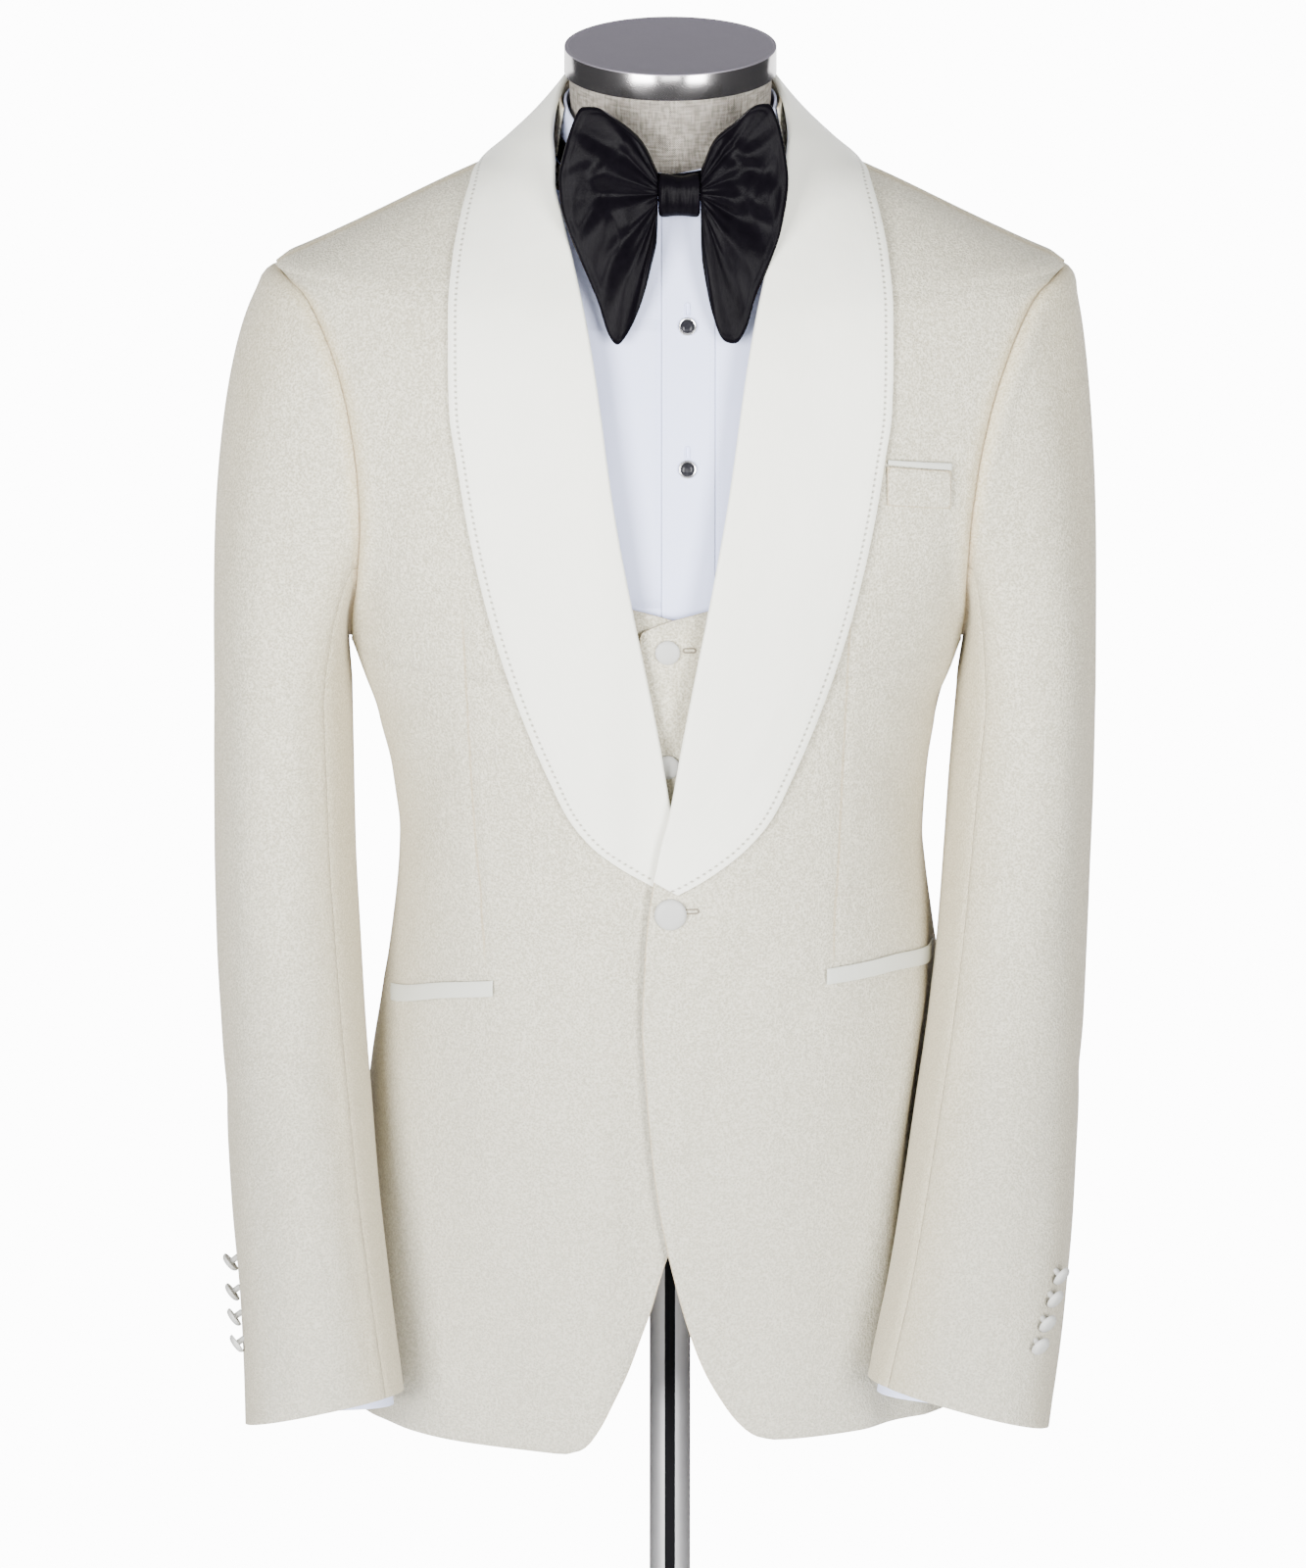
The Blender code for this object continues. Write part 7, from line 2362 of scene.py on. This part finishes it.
@dataclass(frozen=True)
class Linen(Finish):
    """Warm grey linen in a plain weave with thick and thin threads."""

    light: Shade = (0.46, 0.42, 0.36)
    dark: Shade = (0.10, 0.09, 0.075)
    thread: float = 1.3 * MM

    def make(self, graph: Graph) -> bpy.types.Material:
        """Build the nodes.

        Args:
            graph: the new material's graph.

        Returns:
            The material.
        """
        u, v, _ = graph.axes(graph.threads)
        wander = graph.noise(45.0, 2.0, 0.5) * (1.4 * MM)
        warp, weft = graph.waves(u + wander, self.thread), graph.waves(v + wander * 0.8, self.thread)
        over = (warp * weft).step(-0.55, 0.75)
        across, along = (graph.streaks(graph.threads, s) for s in ((110.0, 700.0, 1.0), (700.0, 110.0, 1.0)))
        slub = (across + along).step(0.72, 1.28)
        colour = graph.mix(self.dark, self.light, over * 0.50 + slub * 0.54 - 0.03)
        height = over * 0.26 + slub * 0.30
        return graph.finish(Base_Color=colour, Roughness=slub * 0.1 + 0.82, Normal=graph.bump(height),
                            Specular_IOR_Level=0.2)


@dataclass(frozen=True)
class Steel(Finish):
    """Steel with fine turning lines and faint handling marks; the pole's groove is painted near black, a
    painted dark reflection.
    """

    light: Shade = (0.72, 0.71, 0.72)
    dark: Shade = (0.60, 0.59, 0.60)
    # colour of the painted dark reflection in the pole's groove
    slot: Shade = (0.006, 0.006, 0.007)
    slot_half: float = 3.0 * MM
    slot_floor: float = 10.35 * MM

    def make(self, graph: Graph) -> bpy.types.Material:
        """Build the nodes.

        Args:
            graph: the new material's graph.

        Returns:
            The material.
        """
        x, y, z = graph.axes(graph.place)
        lines = graph.streaks(graph.place, (6.0, 6.0, 2600.0))
        smear = graph.noise(30.0, 3.0, 0.6)
        radius = (x * x + y * y) ** 0.5
        # painted reflection: the groove down the pole's front is painted near black, standing in for the dark
        # stripe that the chrome reflects
        sunk = radius.step(self.slot_floor + 0.5 * MM, self.slot_floor)
        narrow = x.size().step(self.slot_half + 0.2 * MM, self.slot_half)
        inside = sunk * narrow * z.step(44 * MM, 45 * MM) * z.step(900 * MM, 899 * MM)
        colour = graph.mix(graph.mix(self.dark, self.light, lines * 0.6 + smear * 0.4), self.slot, inside)
        return graph.finish(Base_Color=colour, Roughness=smear * 0.08 + 0.34 + inside * 0.2,
                            Metallic=0.97, Normal=graph.bump(lines * 0.0015))


@dataclass(frozen=True)
class CapSteel(Finish):
    """Polished band and matt grey top of the neck cap."""

    band: Shade = (0.52, 0.50, 0.50)
    top: Shade = (0.24, 0.22, 0.27)
    level: float = 1564.35 * MM
    tilt: float = math.tan(math.radians(5.5))

    def make(self, graph: Graph) -> bpy.types.Material:
        """Build the nodes.

        Args:
            graph: the new material's graph.

        Returns:
            The material.
        """
        x, y, z = graph.axes(graph.place)
        above = (z - y * self.tilt).step(self.level - 0.3 * MM, self.level + 0.1 * MM)
        lines = graph.streaks(graph.place, (8.0, 8.0, 1500.0))
        grain = graph.noise(900.0, 2.0, 0.6)
        smear = graph.noise(42.0, 3.0, 0.6)
        colour = graph.mix(self.band, self.top, above)
        colour = graph.mix(colour, (0.16, 0.15, 0.17), smear * 0.20 + grain * above * 0.25)
        height = lines * 0.002 * (1.0 - above) + grain * above * 0.05
        return graph.finish(Base_Color=colour, Roughness=above * 0.40 + smear * 0.10 + 0.12,
                            Metallic=0.98 - above * 0.45, Normal=graph.bump(height))


@dataclass(frozen=True)
class StudGem(Finish):
    """Black polished stud in a silver ring."""

    gem: Shade = (0.006, 0.006, 0.008)
    ring: Shade = (0.72, 0.71, 0.72)

    def make(self, graph: Graph) -> bpy.types.Material:
        """Build the nodes.

        Args:
            graph: the new material's graph.

        Returns:
            The material.
        """
        ring = graph.mark("ring").step(0.45, 0.55)
        cloud = graph.noise(500.0, 2.0, 0.5)
        colour = graph.mix(graph.mix(self.gem, (0.03, 0.03, 0.035), cloud), self.ring, ring)
        return graph.finish(Base_Color=colour, Roughness=ring * 0.12 + cloud * 0.06 + 0.07,
                            Metallic=ring * 0.96, Normal=graph.bump(cloud * 0.01), Specular_IOR_Level=0.12)


@dataclass(frozen=True)
class Paper(Finish):
    """Plain pale floor."""

    tone: Shade = (0.86, 0.86, 0.86)

    def make(self, graph: Graph) -> bpy.types.Material:
        """Build the nodes.

        Args:
            graph: the new material's graph.

        Returns:
            The material.
        """
        return graph.finish(Base_Color=self.tone, Roughness=0.9, Specular_IOR_Level=0.1)


# ---- studio ----
@dataclass
class Studio:
    """Camera, softboxes, a pale floor, and a world that is white to the camera alone."""

    camera_place: tuple[float, float, float] = (-0.00994318, -6.0, 2.67203427)
    camera_pitch: float = math.radians(75.5866)
    lens: float = 245.32
    floor_radius: float = 1.6
    world: Shade = (0.055, 0.055, 0.06)
    wall_light: float = 16.0

    def camera(self) -> None:
        """Place the camera."""
        data = bpy.data.cameras.new("view")
        data.lens, data.sensor_width, data.sensor_fit = self.lens, 36.0, "AUTO"
        data.clip_start, data.clip_end = 0.1, 60.0
        obj = bpy.data.objects.new("view", data)
        obj.location, obj.rotation_euler = self.camera_place, (self.camera_pitch, 0, 0)
        bpy.context.collection.objects.link(obj)
        bpy.context.scene.camera = obj

    def softbox(self, name: str, azimuth: float, distance: float, height: float, size: tuple[float, float],
                power: float, target: tuple[float, float, float] = (0, 0, 1.15)) -> None:
        """Rectangular lamp that faces the garment.

        Args:
            name: the lamp's name.
            azimuth: degrees round the garment, 0 in front, below 0 towards -X.
            distance: how far away it stands.
            height: z of its middle.
            size: width and height.
            power: watts.
            target: point that it faces.
        """
        data = bpy.data.lights.new(name, "AREA")
        data.shape, data.size, data.size_y, data.energy = "RECTANGLE", *size, power
        obj = bpy.data.objects.new(name, data)
        turn = math.radians(azimuth)
        obj.location = (distance * math.sin(turn), -distance * math.cos(turn), height)
        obj.rotation_euler = (Vector(target) - obj.location).to_track_quat("-Z", "Y").to_euler()
        bpy.context.collection.objects.link(obj)

    def stage(self) -> None:
        """Round pale floor."""
        select_only()
        bpy.ops.mesh.primitive_circle_add(vertices=160, radius=self.floor_radius, fill_type="NGON")
        obj = bpy.context.object
        obj.name = obj.data.name = "floor"
        obj.data.materials.append(Paper().material())

    def build(self) -> None:
        """Build the studio."""
        world = bpy.data.worlds.new("studio")
        world.use_nodes = True
        tree = world.node_tree
        room, out = tree.nodes["Background"], tree.nodes["World Output"]
        room.inputs[0].default_value = (*self.world, 1.0)
        wall, pick, path = (tree.nodes.new(kind) for kind in (
            "ShaderNodeBackground", "ShaderNodeMixShader", "ShaderNodeLightPath"))
        wall.inputs[1].default_value = self.wall_light
        tree.links.new(path.outputs["Is Camera Ray"], pick.inputs[0])
        tree.links.new(room.outputs[0], pick.inputs[1])
        tree.links.new(wall.outputs[0], pick.inputs[2])
        tree.links.new(pick.outputs[0], out.inputs[0])
        bpy.context.scene.world = world
        self.camera()
        self.stage()
        self.softbox("front", 0, 4.0, 1.3, (1.4, 1.2), 44, (0, 0, 1.4))
        self.softbox("key_left", -30, 3.5, 1.6, (1.5, 2.0), 345, (0, 0, 1.4))
        self.softbox("key_right", 28, 3.5, 1.6, (1.2, 2.0), 250, (0, 0, 1.4))
        self.softbox("overhead", 180, 0.9, 3.4, (3.0, 2.0), 22)
        self.softbox("back_left", -150, 3.6, 1.9, (2.4, 2.6), 70)
        self.softbox("back_right", 152, 3.6, 1.9, (2.4, 2.6), 80)


# ---- the whole model ----
def main() -> None:
    """Build the tuxedo on its form, then the studio."""
    logging.basicConfig(level=logging.INFO, format="%(message)s")
    cloth, satin, shirting = JacketCloth(), IvorySatin(), Shirting()
    welts = IvorySatin(light=(0.58, 0.59, 0.53), dark=(0.47, 0.48, 0.43), stitch_line=1.0)
    # button satin; its near-black shadow colour paints the shade round each button's rim
    covers = IvorySatin(light=(0.47, 0.47, 0.45), dark=(0.37, 0.37, 0.35), thread_shade=(0.07, 0.06, 0.04))
    # painted shade: the buttonholes' thread is near black-brown, standing in for the shade inside each hole
    thread = IvorySatin(light=(0.20, 0.17, 0.12), dark=(0.13, 0.11, 0.08))
    body = JacketBody(cloth)
    sleeves = Sleeves(body, cloth)
    for piece in (DressForm(Linen()), Stand(Steel(), CapSteel()), Shirt(shirting, sleeves), Waistcoat(cloth),
                  body, Lapels(body, satin, cloth), sleeves, Pockets(welts, cloth), BowTie(BlackSatin()),
                  Buttons(covers, thread, StudGem(), shirting), Studio()):
        log.info("-- %s", type(piece).__name__)
        piece.build()


if __name__ == "__main__":
    main()
